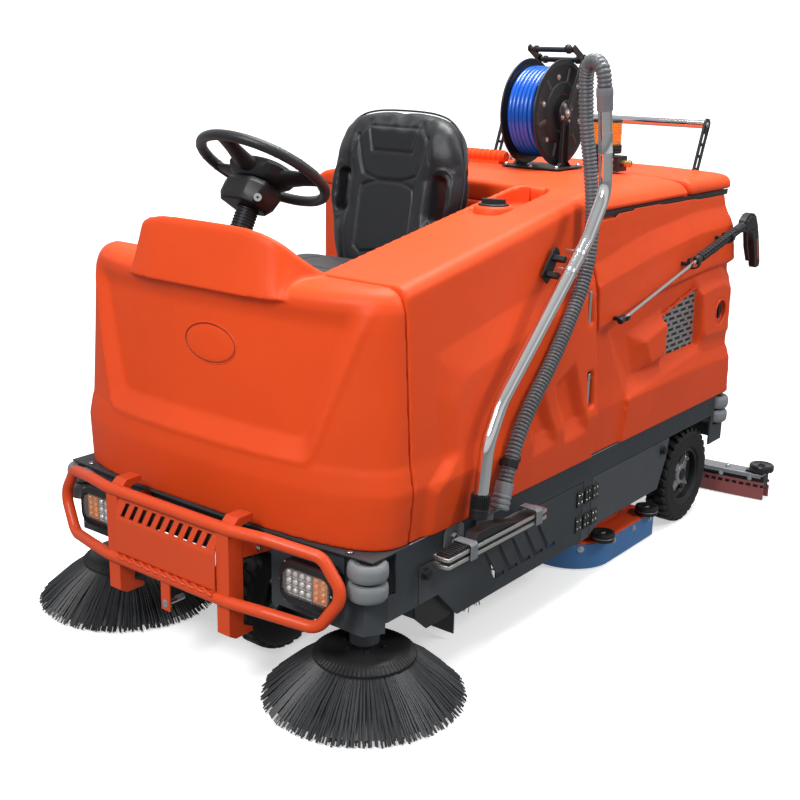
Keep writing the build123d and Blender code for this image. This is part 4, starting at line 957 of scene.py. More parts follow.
def cowl_front(x, z, inset=0.0):
    """Station of the cowl's front at X and height."""
    w, f, n_ = cowl_row(z)
    w, f = w - inset, f + inset
    k = max(0.0, 1 - (abs(x) / w) ** n_) ** (1 / n_)
    return 2250 - (2250 - f) * k + cowl_dent(x, z)


def cowl_form(inset, z0, z1, rear=2250):
    heights = [z0]
    z_ = z0
    while z_ < z1 - 1:
        z_ = min(z1, z_ + (4.5 if 575 < z_ < 725 else 12 if z_ < 1020 else 5))
        heights.append(z_)
    rows = []
    for z_ in heights:
        w, f, n_ = cowl_row(min(1092, z_ + (inset if z_ > 1030 else 0)))
        w, f = w - inset, f + inset
        row = []
        m = 150
        for i in range(m + 1):
            t = math.pi * i / m
            ct, sn = math.cos(t), math.sin(t)
            x = w * math.copysign(abs(ct) ** (2 / n_), ct)
            s_ = rear - (rear - f) * abs(sn) ** (2 / n_)
            row.append(V(x, s_ + cowl_dent(x, z_) * abs(sn) ** .5, z_))
        rows.append(row)
    b = Build()
    plate_rows(b, rows)
    return b


def plate_rows(b, rows):
    n = len(rows[0])
    P = [p for r_ in rows for p in r_]
    f = []
    for i in range(len(rows) - 1):
        for j in range(n):
            l = (j + 1) % n
            f.append((i * n + j, i * n + n + j, i * n + n + l, i * n + l))
    f.append(tuple(range(n)))
    f.append(tuple((len(rows) - 1) * n + j for j in range(n))[::-1])
    b.add(P, f)


RIDGE = [(0, 1213, 2107), (150, 1212, 2107), (200, 1204, 2111), (235, 1192, 2119), (255, 1178, 2132), (275, 1150, 2158), (292, 1118, 2198),
         (306, 1088, 2236)]


def ridge(x):
    x = abs(x)
    for (x0, z0, s0), (x1, z1, s1) in zip(RIDGE, RIDGE[1:]):
        if x <= x1:
            t = (x - x0) / (x1 - x0)
            return z0 + (z1 - z0) * t, s0 + (s1 - s0) * t
    return RIDGE[-1][1:]


def hood_form():
    rows = []
    for i in range(81):
        x = -306 + 612 * i / 80
        zr, sr = ridge(x)
        zb, sb = ridge(x * .90)
        rows.append([V(x, sb - 31, 1046), V(x, sr - 6, zr - 16), V(x, sr - 1, zr - 5), V(x, sr + 6, zr), V(x, min(2246, sr + 18), zr - 5),
                     V(x, 2250, min(zr - 8, 1099)), V(x, 2250, 1046)])
    b = Build()
    plate_rows(b, rows)
    return b


body_ = cowl_form(0, 444, 1092)
inner_ = cowl_form(10, 430, 1080, rear=2262)
h_in = Build().prism([V(-200, s, z) for s, z in ((2099, 1040), (2119, 1184), (2129, 1189), (2262, 1087), (2262, 1040))], (.400, 0, 0))
h_out = Build().prism([V(-206, s, z) for s, z in ((2126, 1188), (2126, 1240), (2262, 1134), (2262, 1080))], (.412, 0, 0))
cowl = moulded("cowl_skin", [body_], adds=[hood_form()], cuts=[inner_, h_in, h_out], voxel=0.0058, smooth=3, keep=0.5,
               adds_first=True)
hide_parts("front_cowl")
# blank oval in the recess: a shallow plate with a groove round it; the groove is a thin ring in dark orange, painted
# shade
ovc = (17, 898)


def oval_pts(ra, rb, lift, n=80):
    out = []
    for i in range(n):
        t = 2 * math.pi * i / n
        x, z = ovc[0] + ra * math.cos(t), ovc[1] + rb * math.sin(t)
        out.append(V(x, cowl_front(x, z) - lift, z))
    return out


ov = Build()
rows = [oval_pts(88, 47, -3), oval_pts(88, 47, 1.2), oval_pts(85, 44, 2.0), oval_pts(50, 26, 2.0), oval_pts(10, 5, 2.0)]
plate_rows(ov, rows)
ov.done("oval_plate", "orange", ROOT, "orange_plastic", smooth=60)
# thin raised ring coloured dark: painted shade standing in for the groove
ov = Build()
ov.loop(oval_pts(91.5, 50.5, -.2), 0.0019, 8)
ov.done("oval_groove", "groove", ROOT, "orange_plastic", smooth=60)
ov = Build()
ov.loop(oval_pts(95, 54, -.4), 0.0024, 8)
ov.done("oval_rim", "orange", ROOT, "orange_plastic", smooth=60)

# left tank: raised side panel and two pockets
TANK_STEPS = [
    ([(2352, 926), (2374, 918), (2630, 966), (2857, 1002), (3200, 1054), (3200, 430), (2300, 430), (2300, 585), (2386, 640), (2350, 800)],
     [(2466, 838), (2714, 884), (2857, 910), (3200, 962), (3200, 420), (2332, 420), (2332, 560), (2434, 640), (2432, 780)], 15, "add"),
    ([(2766, 690), (2850, 728), (2916, 552), (2784, 541)], [(2808, 658), (2836, 670), (2872, 602), (2824, 594)], -12, "to"),
    ([(2906, 728), (3022, 776), (3094, 547), (2958, 539)], [(2952, 700), (3004, 724), (3050, 598), (2994, 592)], -12, "to"),
]
hinge_cuts = [slab([(3094, z0), (3126, z0), (3126, z1), (3094, z1)], 556, 620)
              for z0, z1 in ((868, 972), (616, 724))]
tank = moulded("tank_skin", ["left_tank"], cuts=hinge_cuts, voxel=0.0064, smooth=2, keep=0.6,
               shape=side_relief(WALL_T, TANK_STEPS))
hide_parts("left_tank")
hb_ = Build()
for z0, z1 in ((872, 968), (620, 720)):
    xs = 0.5680 if z0 > 800 else 0.5790
    hb_.box((xs, st(3112), (z0 + z1) / 2000), (0.006, 0.024, (z1 - z0) / 1000))
    hb_.rod((xs + 0.005, st(3106), z0 / 1000), (xs + 0.005, st(3106), z1 / 1000), 0.0056)
hb_.done("door_hinge_leaves", "steel", ROOT, "dark_steel", bevel=0.0008)


def circle_pts(cs, cz, rs, rz, n=28):
    return [(cs + rs * math.cos(2 * math.pi * i / n), cz + rz * math.sin(2 * math.pi * i / n)) for i in range(n)]


GRILLE = [(3876, 874), (3614, 809), (3622, 786), (3612, 770), (3630, 752), (3636, 730), (3630, 704), (3624, 690), (3612, 678), (3614, 664),
          (3888, 664)]


def door_skin(sx, s0, name, node, body):
    sec = [(546, 447), (578, 447), (587, 588), (579, 655), (557, 1060), (548, 1196), (546, 1196)]
    a = Build().prism([V(sx * x, s0, z) for x, z in sec], (0, (4170 - s0) / 1000, 0))
    out = [(s0, 440), (4159, 440), (4159, 447), (4112, 649), (4148, 835), (4107, 1067), (4060, 1171),
           (3460, 1184), (3290, 1178), (3272, 1168), (s0, 1164)]
    o2 = Build().prism([V(sx * 400, s, z) for s, z in out], (sx * 0.3, 0, 0))
    ta = temp_ob("da", a.v, a.f)
    tb = temp_ob("db", o2.v, o2.f)
    md = ta.modifiers.new("b", "BOOLEAN")
    md.operation = "INTERSECT"
    md.solver = "EXACT"
    md.object = tb
    me = baked(ta)
    hm = tb.data
    bpy.data.objects.remove(tb)
    bpy.data.meshes.remove(hm)
    base = Build()
    base.v = [tuple(p.co) for p in me.vertices]
    base.f = [tuple(p.vertices) for p in me.polygons]
    bpy.data.meshes.remove(me)
    e = s0 + 14
    p0 = 3226 if s0 < 3200 else 3330
    steps = [
        ([(e - 30, 1036), (3429, 1094), (3854, 1136), (4150, 1130), (4150, 905), (3499, 884), (e - 30, 822)],
         [(e - 30, 972), (3497, 1026), (3854, 1062), (4150, 1062), (4150, 930), (3499, 908), (e - 30, 846)], 17, "add"),
        ([(3360, 628), (3912, 668), (4150, 646), (4170, 430), (3330, 430)],
         [(3352, 588), (3900, 602), (4150, 584), (4170, 420), (3340, 420)], 11, "add"),
        ([(p0, 842), (3499, 904), (3900, 934), (4200, 944), (4200, 646), (3912, 650), (3352, 592)],
         [(p0 + 44, 820), (3499, 876), (3900, 908), (4200, 918), (4200, 692), (3912, 690), (3396, 646)], -15, "to"),
        ([(3378, 792), (3622, 838), (3612, 644), (3422, 654)], [(3462, 754), (3612, 790), (3600, 692), (3504, 682)], 17, "to"),
        ([(3850, 910), (4054, 924), (4160, 890), (4130, 636), (3936, 636), (3874, 650)],
         [(3876, 850), (4046, 862), (4108, 838), (4094, 692), (3912, 698), (3896, 714)], 18, "to"),
        (circle_pts(4026, 768, 46, 46), circle_pts(4026, 768, 36, 36), -2, "to"),
        ([(3616, 804), (3870, 868), (3886, 664), (3630, 664)], [(3624, 798), (3862, 857), (3878, 671), (3638, 671)], -26, "to"),
    ]
    skin = moulded(name, [base], voxel=0.0056, smooth=1, keep=0.6, body=body, shape=side_relief(WALL_D, steps, sx))
    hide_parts(node)
    # perforated grille: a plate with brick-pattern slots behind a rounded moulded edge
    # black plate right behind the slotted bars: painted shade for the dark inside seen through the slots
    g = Build()
    gx = sx * 0.5560
    g.prism([V(gx * 1000, s, z) for s, z in ((3606, 812), (3880, 876), (3894, 656), (3606, 656))],
            (-sx * 0.0015, 0, 0))
    g.done(name + "_grille_back", "black_plastic", body, "black_plastic")
    g = Build()
    z = 660
    row = 0
    while z < 876:
        s_lo, s_hi = 3608, 3888
        a_ = max(s_lo, 3612 + (z + 4 - 806) / 0.252) if z > 802 else s_lo
        if a_ < s_hi:
            g.prism([V(gx * 1000, a_, z), V(gx * 1000, s_hi, z), V(gx * 1000, s_hi, z + 8.5), V(gx * 1000, a_, z + 8.5)],
                    (sx * 0.0022, 0, 0))
            k = s_lo + (28 if row % 2 else 0)
            while k < s_hi - 15:
                if k >= a_:
                    g.prism([V(gx * 1000, k, z + 7), V(gx * 1000, k + 16, z + 7), V(gx * 1000, k + 16, z + 20),
                             V(gx * 1000, k, z + 20)], (sx * 0.0022, 0, 0))
                k += 56
        z += 19
        row += 1
    g.done(name + "_grille", "perforated", body, "dark_steel", smooth=0)
    g = Build()
    g.loop([V(gx * 1000 + sx * 2.5, s, z) for s, z in GRILLE], .0052, 10)
    g.done(name + "_grille_edge", "orange", body, "orange_plastic", smooth=60)
    # latch: a black lever standing in a round dish
    lb = Build()
    lx = 0.5720
    lb.ring((sx * lx, st(4026), .768), (sx, 0, 0), [(0.0230, 0), (0.0290, 0), (0.0290, 0.006), (0.0270, 0.009), (0.0230, 0.008)], 36)
    lb.lathe((sx * (lx - 0.003), st(4026), .768), (sx, 0, 0), [(0, 0), (0.025, 0), (0.025, 0.004), (0, 0.004)], 30)
    lb.box((sx * (lx + 0.006), st(4026), .768), (0.016, 0.015, 0.050))
    lb.done(name + "_latch", "black_plastic", body, "black_plastic", bevel=0.0015)
    lb = Build()
    lb.loop([V(sx * 588.5, s, z) for s, z in circle_pts(4026, 768, 42, 42, 40)], .0042, 10)
    lb.done(name + "_latch_lip", "orange", body, "orange_plastic", smooth=60)
    return skin


door_skin(1, 3150, "door_left_skin", "rear_door_left", "rear_door_left")
door_skin(-1, 3290, "door_right_skin", "rear_door_right", "rear_door_right")

COVER_S = [(0, 1253), (150, 1252.5), (300, 1249.5), (440, 1243), (492, 1238), (520, 1231), (539, 1220), (550, 1206), (555, 1190.5)]
LID_S = [(0, 1251), (150, 1250.8), (300, 1249), (440, 1245), (500, 1242), (528, 1239), (544, 1232), (552, 1221), (555.5, 1208), (556, 1190)]


def crowned(sec, s0, s1, end_r):
    """A rounded cover: one section run along the machine, drawn in at both ends."""
    full_ = [(-x, z) for x, z in sec[::-1]] + sec[1:]
    rows = []
    for s_, q in ((s0, end_r), (s0 + end_r * .3, end_r * .36), (s0 + end_r, 0), (s1 - end_r, 0), (s1 - end_r * .3, end_r * .36), (s1, end_r)):
        row = [V(x, s_, max(1191, z - q)) for x, z in full_]
        row += [V(x, s_, 1190) for x in (500, 200, -200, -500)]
        rows.append(row)
    b = Build()
    plate_rows(b, rows)
    return b


top = moulded("top_cover_skin", [crowned(COVER_S, 3153, 3766, 14)], voxel=0.0068, smooth=4, keep=0.4)
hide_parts("top_cover")
lid = moulded("rear_lid_skin", [crowned(LID_S, 3779, 4098, 12)], voxel=0.0064, smooth=4, keep=0.4, body="rear_lid")
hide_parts("rear_lid")
rtank = moulded("recovery_tank_skin", ["recovery_tank"], voxel=0.0088, smooth=5, keep=0.4)
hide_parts("recovery_tank")

# dark strip in the gap between the covers and the tops of the doors, painted shade for that gap, shaped as a rubber
# strip with a bulb and two lips
for sx, s0 in ((1, 3156), (-1, 3296)):
    b = Build()
    prof = [(541.6, 1171.5), (545.2, 1171.0), (545.9, 1173.0), (545.0, 1175.0), (545.0, 1177.5), (545.9, 1179.5), (545.2, 1181.0),
            (544.9, 1182.5), (546.0, 1184.3), (546.1, 1186.6), (545.0, 1188.6), (543.0, 1189.0), (541.6, 1188.0)]
    # black strip standing in for the shade in the gap
    b.prism([V(sx * x, s0, z) for x, z in prof], (0, (4092 - s0) / 1000, 0))
    b.done("door_seal_" + ("l" if sx > 0 else "r"), "black_plastic", ROOT, "black_plastic", smooth=30)
# ------------------------------------------------------------------ side brushes


def side_brush(sx, side):
    body = "side_brush_" + side
    c = V(sx * 469.5, 2210.6, 0)
    z = Vector((0, 0, 1))
    # smooth conical cover with a ring of grooves round its shoulder
    b = Build()
    n = 144
    prof = [(0.0, .1535), (.030, .1535), (.034, .1500), (.100, .1480), (.112, .1445), (.124, .1370),
            (.1375, .1290), (.1385, .1250), (.1370, .1215), (.090, .1205), (0.0, .1205)]
    rows, verts, faces = [], [], []
    for k, (r, h) in enumerate(prof):
        if r == 0:
            verts.append(c + z * h)
            rows.append([len(verts) - 1])
            continue
        row = []
        for i in range(n):
            t = 2 * math.pi * i / n
            groove = 0.0028 if k in (5, 6, 7) and i % 2 == 0 else 0.0
            verts.append(c + Vector((math.cos(t) * (r - groove), math.sin(t) * (r - groove), h - groove * 0.6)))
            row.append(len(verts) - 1)
        rows.append(row)
    for p, q in zip(rows[:-1], rows[1:]):
        for i in range(n):
            j = (i + 1) % n
            if len(p) == 1:
                faces.append((p[0], q[i], q[j]))
            elif len(q) == 1:
                faces.append((p[i], p[j], q[0]))
            else:
                faces.append((p[i], q[i], q[j], p[j]))
    b.add(verts, [f[::-1] for f in faces])
    b.lathe(c + z * .149, z, [(0, 0), (.036, 0), (.036, .008), (.030, .009), (0, .009)], 32)
    for i in range(6):
        t = math.pi * i / 3 + .3
        b.bolt(c + Vector((.055 * math.cos(t), .055 * math.sin(t), .1485)), z, .006, .005)
    b.done(body + "_cover", "black_plastic", body, "black_plastic", smooth=30)
    # bristles: tapered strands in rings, raked outwards, tips a little uneven
    r_ = random.Random(11 if sx > 0 else 12)
    b = Build()
    rings = [(.129, .271, 210, .0064), (.123, .264, 190, .0062), (.115, .250, 120, .0054),
             (.104, .232, 90, .0046), (.098, .212, 60, .0046), (.094, .192, 50, .0046)]
    for r0, r1, m, w in rings:
        for i in range(m):
            t = 2 * math.pi * (i + r_.uniform(-.30, .30)) / m
            t1 = t + r_.uniform(-.022, .022)
            rr = min(.2735, r1 + r_.uniform(-.005, .002))
            a = c + Vector((math.cos(t) * r0, math.sin(t) * r0, .1235 + r_.uniform(-.001, .001)))
            e = c + Vector((math.cos(t1) * rr, math.sin(t1) * rr, .0042 + r_.uniform(0, .006)))
            m1 = a.lerp(e, .5) + Vector((math.cos(t) * .004, math.sin(t) * .004, .003))
            d = (e - a).normalized()
            s_ = Vector((-math.sin(t), math.cos(t), 0))
            o_ = d.cross(s_)
            k0 = len(b.v)
            for p, q in ((a, w * .62), (m1, w * .9), (e, w * .86)):
                for (ca, cb) in ((1, 0), (-.1, .8), (-1, 0), (.1, -.8)):
                    b.v.append(tuple(p + s_ * (ca * q / 2) + o_ * (cb * q / 2)))
            for lv in (0, 1):
                for j in range(4):
                    l = (j + 1) % 4
                    b.f.append((k0 + lv * 4 + j, k0 + lv * 4 + l, k0 + lv * 4 + 4 + l, k0 + lv * 4 + 4 + j))
            b.f.append((k0 + 3, k0 + 2, k0 + 1, k0))
            b.f.append((k0 + 8, k0 + 9, k0 + 10, k0 + 11))
    # dark core the strands are set in
    b.lathe(c, z, [(.070, .121), (.121, .121), (.254, .018), (.246, .012), (.070, .108)], 96)
    ob = b.done(body + "_bristles", "bristle", body, "bristle", smooth=50)
    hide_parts(body)


side_brush(1, "left")
side_brush(-1, "right")

# ------------------------------------------------------------------ tyres and rims


def tyre_piece(cx, cs, name, body, node):
    c = V(cx, cs, 175.6)
    ax = Vector((1, 0, 0))
    b = Build()
    prof = [(.1000, -.0365), (.1000, -.0345), (.1040, -.0405), (.1120, -.0422), (.1180, -.0415),
            (.1320, -.0424), (.1400, -.0420), (.1480, -.0415), (.1560, -.0405), (.1610, -.0370),
            (.1630, -.0300), (.1640, -.0150), (.1642, 0)]
    prof = prof[1:]
    prof = prof + [(r, -h) for r, h in prof[-2::-1]]
    b.ring(c, ax, prof, 96)
    n = 30
    for i in range(n):
        t = 2 * math.pi * (i + .5) / n
        for sgn in (-1, 1):
            tt = t + (0 if sgn > 0 else math.pi / n)
            # one shoulder block: an angled bar from the middle out over the shoulder
            d0 = Vector((0, math.cos(tt), math.sin(tt)))
            q0 = Vector((0, -math.sin(tt), math.cos(tt)))
            hw = .0098
            x_in, x_out = sgn * .004, sgn * .0405
            sk = .007
            top = [(.1745, x_in, -sk), (.1745, sgn * .024, 0), (.1715, sgn * .0355, sk)]
            bot = [(.1580, x_in, -sk), (.1580, sgn * .024, 0), (.1500, x_out, sk)]
            P = []
            for row in (top, bot):
                for r, x, s_ in row:
                    for e in (-hw, hw):
                        rad = math.sqrt(max(0, r * r - (s_ + e) ** 2)) if row is top else r
                        P.append(c + d0 * rad + q0 * (s_ + e) + ax * x)
            f = [(0, 1, 3, 2), (2, 3, 5, 4), (6, 8, 9, 7), (8, 10, 11, 9), (0, 2, 8, 6), (2, 4, 10, 8),
                 (1, 7, 9, 3), (3, 9, 11, 5), (0, 6, 7, 1), (4, 5, 11, 10)]
            if sgn < 0:
                f = [g[::-1] for g in f]
            b.add(P, f)
    # bead and side rings
    for sgn in (-1, 1):
        b.ring(c + ax * (sgn * .0408), ax, [(.122, -.001), (.1255, -.001), (.1255, .0016), (.122, .0016)] if sgn > 0
               else [(.122, -.0016), (.1255, -.0016), (.1255, .001), (.122, .001)], 64)
    ob = b.done(name, "tyre", body, "tyre", bevel=.0008, segs=1, smooth=40, angle=50)
    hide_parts(node)


def rim_piece(cx, cs, side, name, body, node):
    """side is the X direction the star faces."""
    c = V(cx, cs, 175.6)
    ax = Vector((side, 0, 0))
    b = Build()
    b.ring(c, ax, [(.0998, -.034), (.0998, .034), (.0945, .036), (.0900, .033), (.0890, .012), (.0780, .002),
                   (.034, .000), (.034, -.010), (.0780, -.010), (.0890, -.022), (.0900, -.034)], 72)
    b.lathe(c, ax, [(0, -.032), (.030, -.032), (.034, -.012), (.034, .004), (0, .004)], 36)
    b.done(name + "_dish", "black_steel", body, "rim", smooth=35)
    # star hub with four thick arms
    b = Build()
    b.lathe(c, ax, [(0, .004), (.040, .004), (.040, .014), (.036, .022), (.027, .025), (0, .025)], 40)
    a, u, w = basis(ax)
    for i in range(4):
        t = math.pi / 2 * i + math.pi / 4
        d = u * math.cos(t) + w * math.sin(t)
        q = a.cross(d)
        P = []
        for r, hw, h0, h1 in ((.024, .021, .004, .022), (.052, .0155, .003, .019), (.078, .0185, .003, .013), (.0895, .024, .004, .011)):
            for e, h in ((-hw, h0), (hw, h0), (hw * .82, h1), (-hw * .82, h1)):
                P.append(c + d * r + q * e + a * h)
        f = [(0, 1, 2, 3), (15, 14, 13, 12)]
        for k in range(3):
            for j in range(4):
                l = (j + 1) % 4
                f.append((k * 4 + j, k * 4 + 4 + j, k * 4 + 4 + l, k * 4 + l))
        b.add(P, f)
        b.bolt(c + d * .066 + a * .0165, ax, .0058, .006)
    b.done(name + "_star", "hub", body, "rim", bevel=.0012, smooth=35)
    b = Build()
    b.lathe(c, ax, [(0, .024), (.022, .024), (.022, .027), (.019, .0285), (0, .0285)], 32)
    ob = b.done(name + "_cap", "black_plastic", body, "rim", smooth=35)
    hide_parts(node)


tyre_piece(525.5, 3912.4, "tyre_rear_left", "rear_wheel_left", "rear_tyre_left")
tyre_piece(-525.5, 3912.4, "tyre_rear_right", "rear_wheel_right", "rear_tyre_right")
tyre_piece(100, 2280, "tyre_front", "front_wheel", "front_tyre")
rim_piece(525.5, 3912.4, 1, "rim_rear_left", "rear_wheel_left", "rear_rim_left")
rim_piece(-525.5, 3912.4, -1, "rim_rear_right", "rear_wheel_right", "rear_rim_right")
rim_piece(100, 2280, 1, "rim_front", "front_wheel", "front_rim")

# ------------------------------------------------------------------ corner rollers: two stacked wheels on a black centre


def guide_roller(cx, cs, R, body):
    c = V(cx, cs, 0)
    z = Vector((0, 0, 1))
    b = Build()
    k = R
    for z0 in (.333, .3855):
        b.ring(c + z * z0, z, [(.014, 0.003), (k - .014, 0.001), (k - .006, .003), (k - .0015, .009), (k, .018), (k, .031),
                               (k - .0015, .040), (k - .006, .0462), (k - .014, .0482), (k - .020, .0462),
                               (k - .024, .044), (.014, .044)], 56)
    b.done(body + "_wheels", "rubber", body, "grey_rubber", smooth=35)
    b = Build()
    b.lathe(c + z * .334, z, [(0, 0), (.017, 0), (.017, .050), (.020, .051), (.020, .0525), (.017, .0535), (.017, .0985),
                              (0, .0985)], 32)
    b.ring(c + z * .4290, z, [(.006, 0), (.021, 0), (.021, .003), (.018, .0045), (.006, .0045)], 32)
    b.done(body + "_centre", "black_plastic", body, "grey_rubber", smooth=35)
    b = Build()
    b.screw(c + z * .4325, z, .008, .0022)
    ob = b.done(body + "_screw", "steel", body, "grey_rubber", smooth=45)
    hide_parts(body)


guide_roller(548, 2124, .052, "corner_roller_front_left")
guide_roller(-548, 2124, .052, "corner_roller_front_right")
guide_roller(560, 4128, .046, "corner_roller_rear_left")
guide_roller(-560, 4128, .046, "corner_roller_rear_right")

# ------------------------------------------------------------------ headlights


def rrect(cx, s, cz, w, h, r, n=8):
    """A rounded rectangle facing forwards, as points (X, station, Z in mm)."""
    out = []
    for qx, qz, a0 in ((1, 1, 0), (-1, 1, 90), (-1, -1, 180), (1, -1, 270)):
        for i in range(n + 1):
            t = math.radians(a0 + 90 * i / n)
            out.append(V(cx + qx * (w / 2 - r) + r * math.cos(t), s, cz + qz * (h / 2 - r) + r * math.sin(t)))
    return out


def plate(b, rows):
    """Joins outlines with equal point counts into a closed form, capped at both ends."""
    n = len(rows[0])
    k = len(b.v)
    P = [p for r_ in rows for p in r_]
    f = []
    for i in range(len(rows) - 1):
        for j in range(n):
            l = (j + 1) % n
            f.append((i * n + j, i * n + l, i * n + n + l, i * n + n + j))
    f.append(tuple(range(n))[::-1])
    f.append(tuple((len(rows) - 1) * n + j for j in range(n)))
    b.add(P, f)


def headlight(sx):
    cx, cz = sx * 400, 340
    b = Build()
    plate(b, [rrect(cx, 2107, cz, 182, 122, 38), rrect(cx, 2070, cz, 182, 122, 38), rrect(cx, 2060, cz, 178, 118, 36),
              rrect(cx, 2056, cz, 172, 112, 34), rrect(cx, 2056.4, cz, 162, 82, 30), rrect(cx, 2068, cz, 156, 72, 26)])
    b.done("lamp_bezel_l" if sx > 0 else "lamp_bezel_r", "lamp_black", ROOT, "lamp", smooth=40)
    b = Build()
    for ux, uz in ((-70, 52), (70, 52), (-70, -52), (70, -52), (-86, 0), (86, 0)):
        b.screw(V(cx + ux, 2058.5, cz + uz), (0, -1, 0), .0036, .0022)
    b.done("lamp_screws_l" if sx > 0 else "lamp_screws_r", "steel", ROOT, "lamp", smooth=45)
    # LED tiles: white block inboard, amber outboard
    for kind, cols, rows, x0, pw in (("white", 4, 3, -74, 22.5), ("amber", 2, 4, 18, 24.0)):
        b = Build()
        rows_z = 68 / rows
        wblk = cols * pw
        xc = x0 + wblk / 2
        b.box(V(cx + sx * xc, 2069, cz), (wblk / 1000, .006, .072))
        b.done(("lamp_back_%s_" % kind) + ("l" if sx > 0 else "r"), "led_back_" + kind, ROOT, "lamp", bevel=.001)
        b = Build()
        for i in range(cols):
            for j in range(rows):
                q = V(cx + sx * (x0 + pw * (i + .5)), 2065.5, cz + (j - (rows - 1) / 2) * rows_z)
                b.sphere(q, .0078 if kind == "white" else .0066, 12, (1, .62, 1))
                b.box(q + Vector((0, .001, -rows_z / 2000)), (pw / 1000 * .8, .003, .0022))
        b.done(("lamp_%s_" % kind) + ("l" if sx > 0 else "r"), "led_" + kind, ROOT, "lamp", smooth=30)
    b = Build()
    plate(b, [rrect(cx, 2060.5, cz, 156, 74, 26), rrect(cx, 2057.2, cz, 154, 72, 25), rrect(cx, 2055.6, cz, 144, 62, 21)])
    b.done("lamp_lens_l" if sx > 0 else "lamp_lens_r", "lens_clear", ROOT, "lamp", smooth=50)


headlight(1)
headlight(-1)
hl = Build()
hl.box(V(400, 2100, 340), (.12, .006, .08)).box(V(-400, 2100, 340), (.12, .006, .08))
hl = hl.done("lamp_backs", "lamp_black", ROOT, "lamp", bevel=.001)
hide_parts("headlights")

# ------------------------------------------------------------------ bumper guard
BT = [(0, 1959, 481), (236, 1959, 481), (335, 1982, 478), (478, 2034, 452), (541, 2044, 364), (473, 2022, 264),
      (335, 1975, 282), (236, 1955, 285), (0, 1955, 285)]
half = arc_path([V(*p) for p in BT], [.060, .060, .048, .055, .048, .060, .060], 10)
full = half[:-1] + [Vector((-p.x, p.y, p.z)) for p in half[::-1]][:-1]
b = Build()
b.loop(full, .016, 24)
b.done("guard_tube", "orange_sat", ROOT, "orange_steel", smooth=60)
b = Build()
for sx in (-1, 1):
    x0 = sx * 191
    # folded channel: outer side, inner side and front face with a hooked foot and top
    prof = [(1952, 190), (1952, 470), (1990, 504), (2041, 504), (2041, 499), (1992, 499), (1957, 467), (1957, 192),
            (1977, 181), (2036, 181), (2036, 176), (1975, 176)]
    b.prism([V(x0, s, z) for s, z in prof], (sx * .045, 0, 0))
    side = [(1955, 190), (1955, 468), (1991, 501), (2041, 501), (2041, 488), (2004, 480), (2004, 205), (2036, 190), (2036, 178),
            (1976, 178)]
    for xo in (x0, x0 + sx * 41):
        b.prism([V(xo, s, z) for s, z in side], (sx * .004, 0, 0))
    # bolted tab
    b.prism([V(sx * 231, s, z) for s, z in ((2000, 392), (2107, 380), (2107, 437), (2000, 437))], (sx * .005, 0, 0))
b.done("guard_uprights", "orange_sat", ROOT, "orange_steel", bevel=.0016)
# centre panel: plain face, slotted band and folded upper part
b = Build()
t_ = .0045


def strip(x0, x1, s0, z0, s1, z1, thick=.0045, skew=0.0):
    a_, c_ = V(0, s0, z0), V(0, s1, z1)
    d_ = (c_ - a_)
    nrm = Vector((0, -d_.z, d_.y)).normalized() * thick
    lo0, lo1 = Vector((x0, a_.y, a_.z)), Vector((x1, a_.y, a_.z))
    hi0, hi1 = Vector((x0 + skew, c_.y, c_.z)), Vector((x1 + skew, c_.y, c_.z))
    return [lo0, lo1, hi1, hi0], nrm


poly, nn = strip(-.192, .192, 1945, 309, 1945, 404)
b.prism(poly, (0, t_, 0))
poly, nn = strip(-.192, .192, 1955, 289, 1945, 309)
b.prism(poly, (0, t_, 0))
poly, nn = strip(-.192, .192, 1945, 404, 1947.5, 414)
b.prism(poly, (0, t_, 0))
poly, nn = strip(-.192, .192, 1956.5, 454, 1960, 468)
b.prism(poly, (0, t_, 0))
# bars between ten slanted slots
edges = [-.192]
k = -.166
while k < .168:
    edges += [k, k + .0155]
    k += .0352
edges.append(.192)
for i in range(0, len(edges) - 1, 2):
    x0_, x1_ = edges[i], edges[i + 1]
    sk = .0165
    lo_l = x0_ if i == 0 else x0_ - sk / 2
    lo_r = x1_ if i == len(edges) - 2 else x1_ - sk / 2
    hi_l = x0_ if i == 0 else x0_ + sk / 2
    hi_r = x1_ if i == len(edges) - 2 else x1_ + sk / 2
    P = [Vector((lo_l, st(1947.5), .414)), Vector((lo_r, st(1947.5), .414)), Vector((hi_r, st(1956.5), .454)),
         Vector((hi_l, st(1956.5), .454))]
    b.prism(P, (0, t_, 0))
b.prism([V(-17, 1946, 192), V(17, 1946, 192), V(17, 1946, 280), V(-17, 1946, 280)], (0, .006, 0))
b.done("guard_panel", "orange_sat", ROOT, "orange_steel", bevel=.0010)
# dark sheet behind the slots, painted shade seen through them, and a twisted rod along the foot of the panel
b = Build()
for ph in (0, math.pi):
    pts = [Vector((x_ / 1000, st(1943) + .0042 * math.cos(x_ / 11 + ph), .298 + .0042 * math.sin(x_ / 11 + ph)))
           for x_ in range(-186, 187, 4)]
    b.tube(pts, .0044, 8)
b.done("guard_twist", "orange_sat", ROOT, "orange_steel", smooth=60)
# black sheet behind the slotted band: painted shade
b = Build()
b.box(V(0, 1966, 434), (.372, .002, .052))
b.done("guard_slot_back", "black_steel", ROOT, "orange_steel")
b = Build()
for sx in (-1, 1):
    for z_ in (402, 424):
        b.bolt(V(sx * 236, 2060, z_), (sx, 0, 0), .006, .006)
b.rod(V(0, 1944, 212), V(0, 2010, 212), .0078)
for i in range(14):
    b.ring(V(0, 1982 + i * 2, 212), (0, 1, 0), [(.0060, 0), (.0082, .0005), (.0060, .001)], 20)
b.bolt(V(0, 1952, 212), (0, -1, 0), .012, .007)
bolts = b.done("guard_bolts", "steel", ROOT, "orange_steel", smooth=35)
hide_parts("bumper_guard")
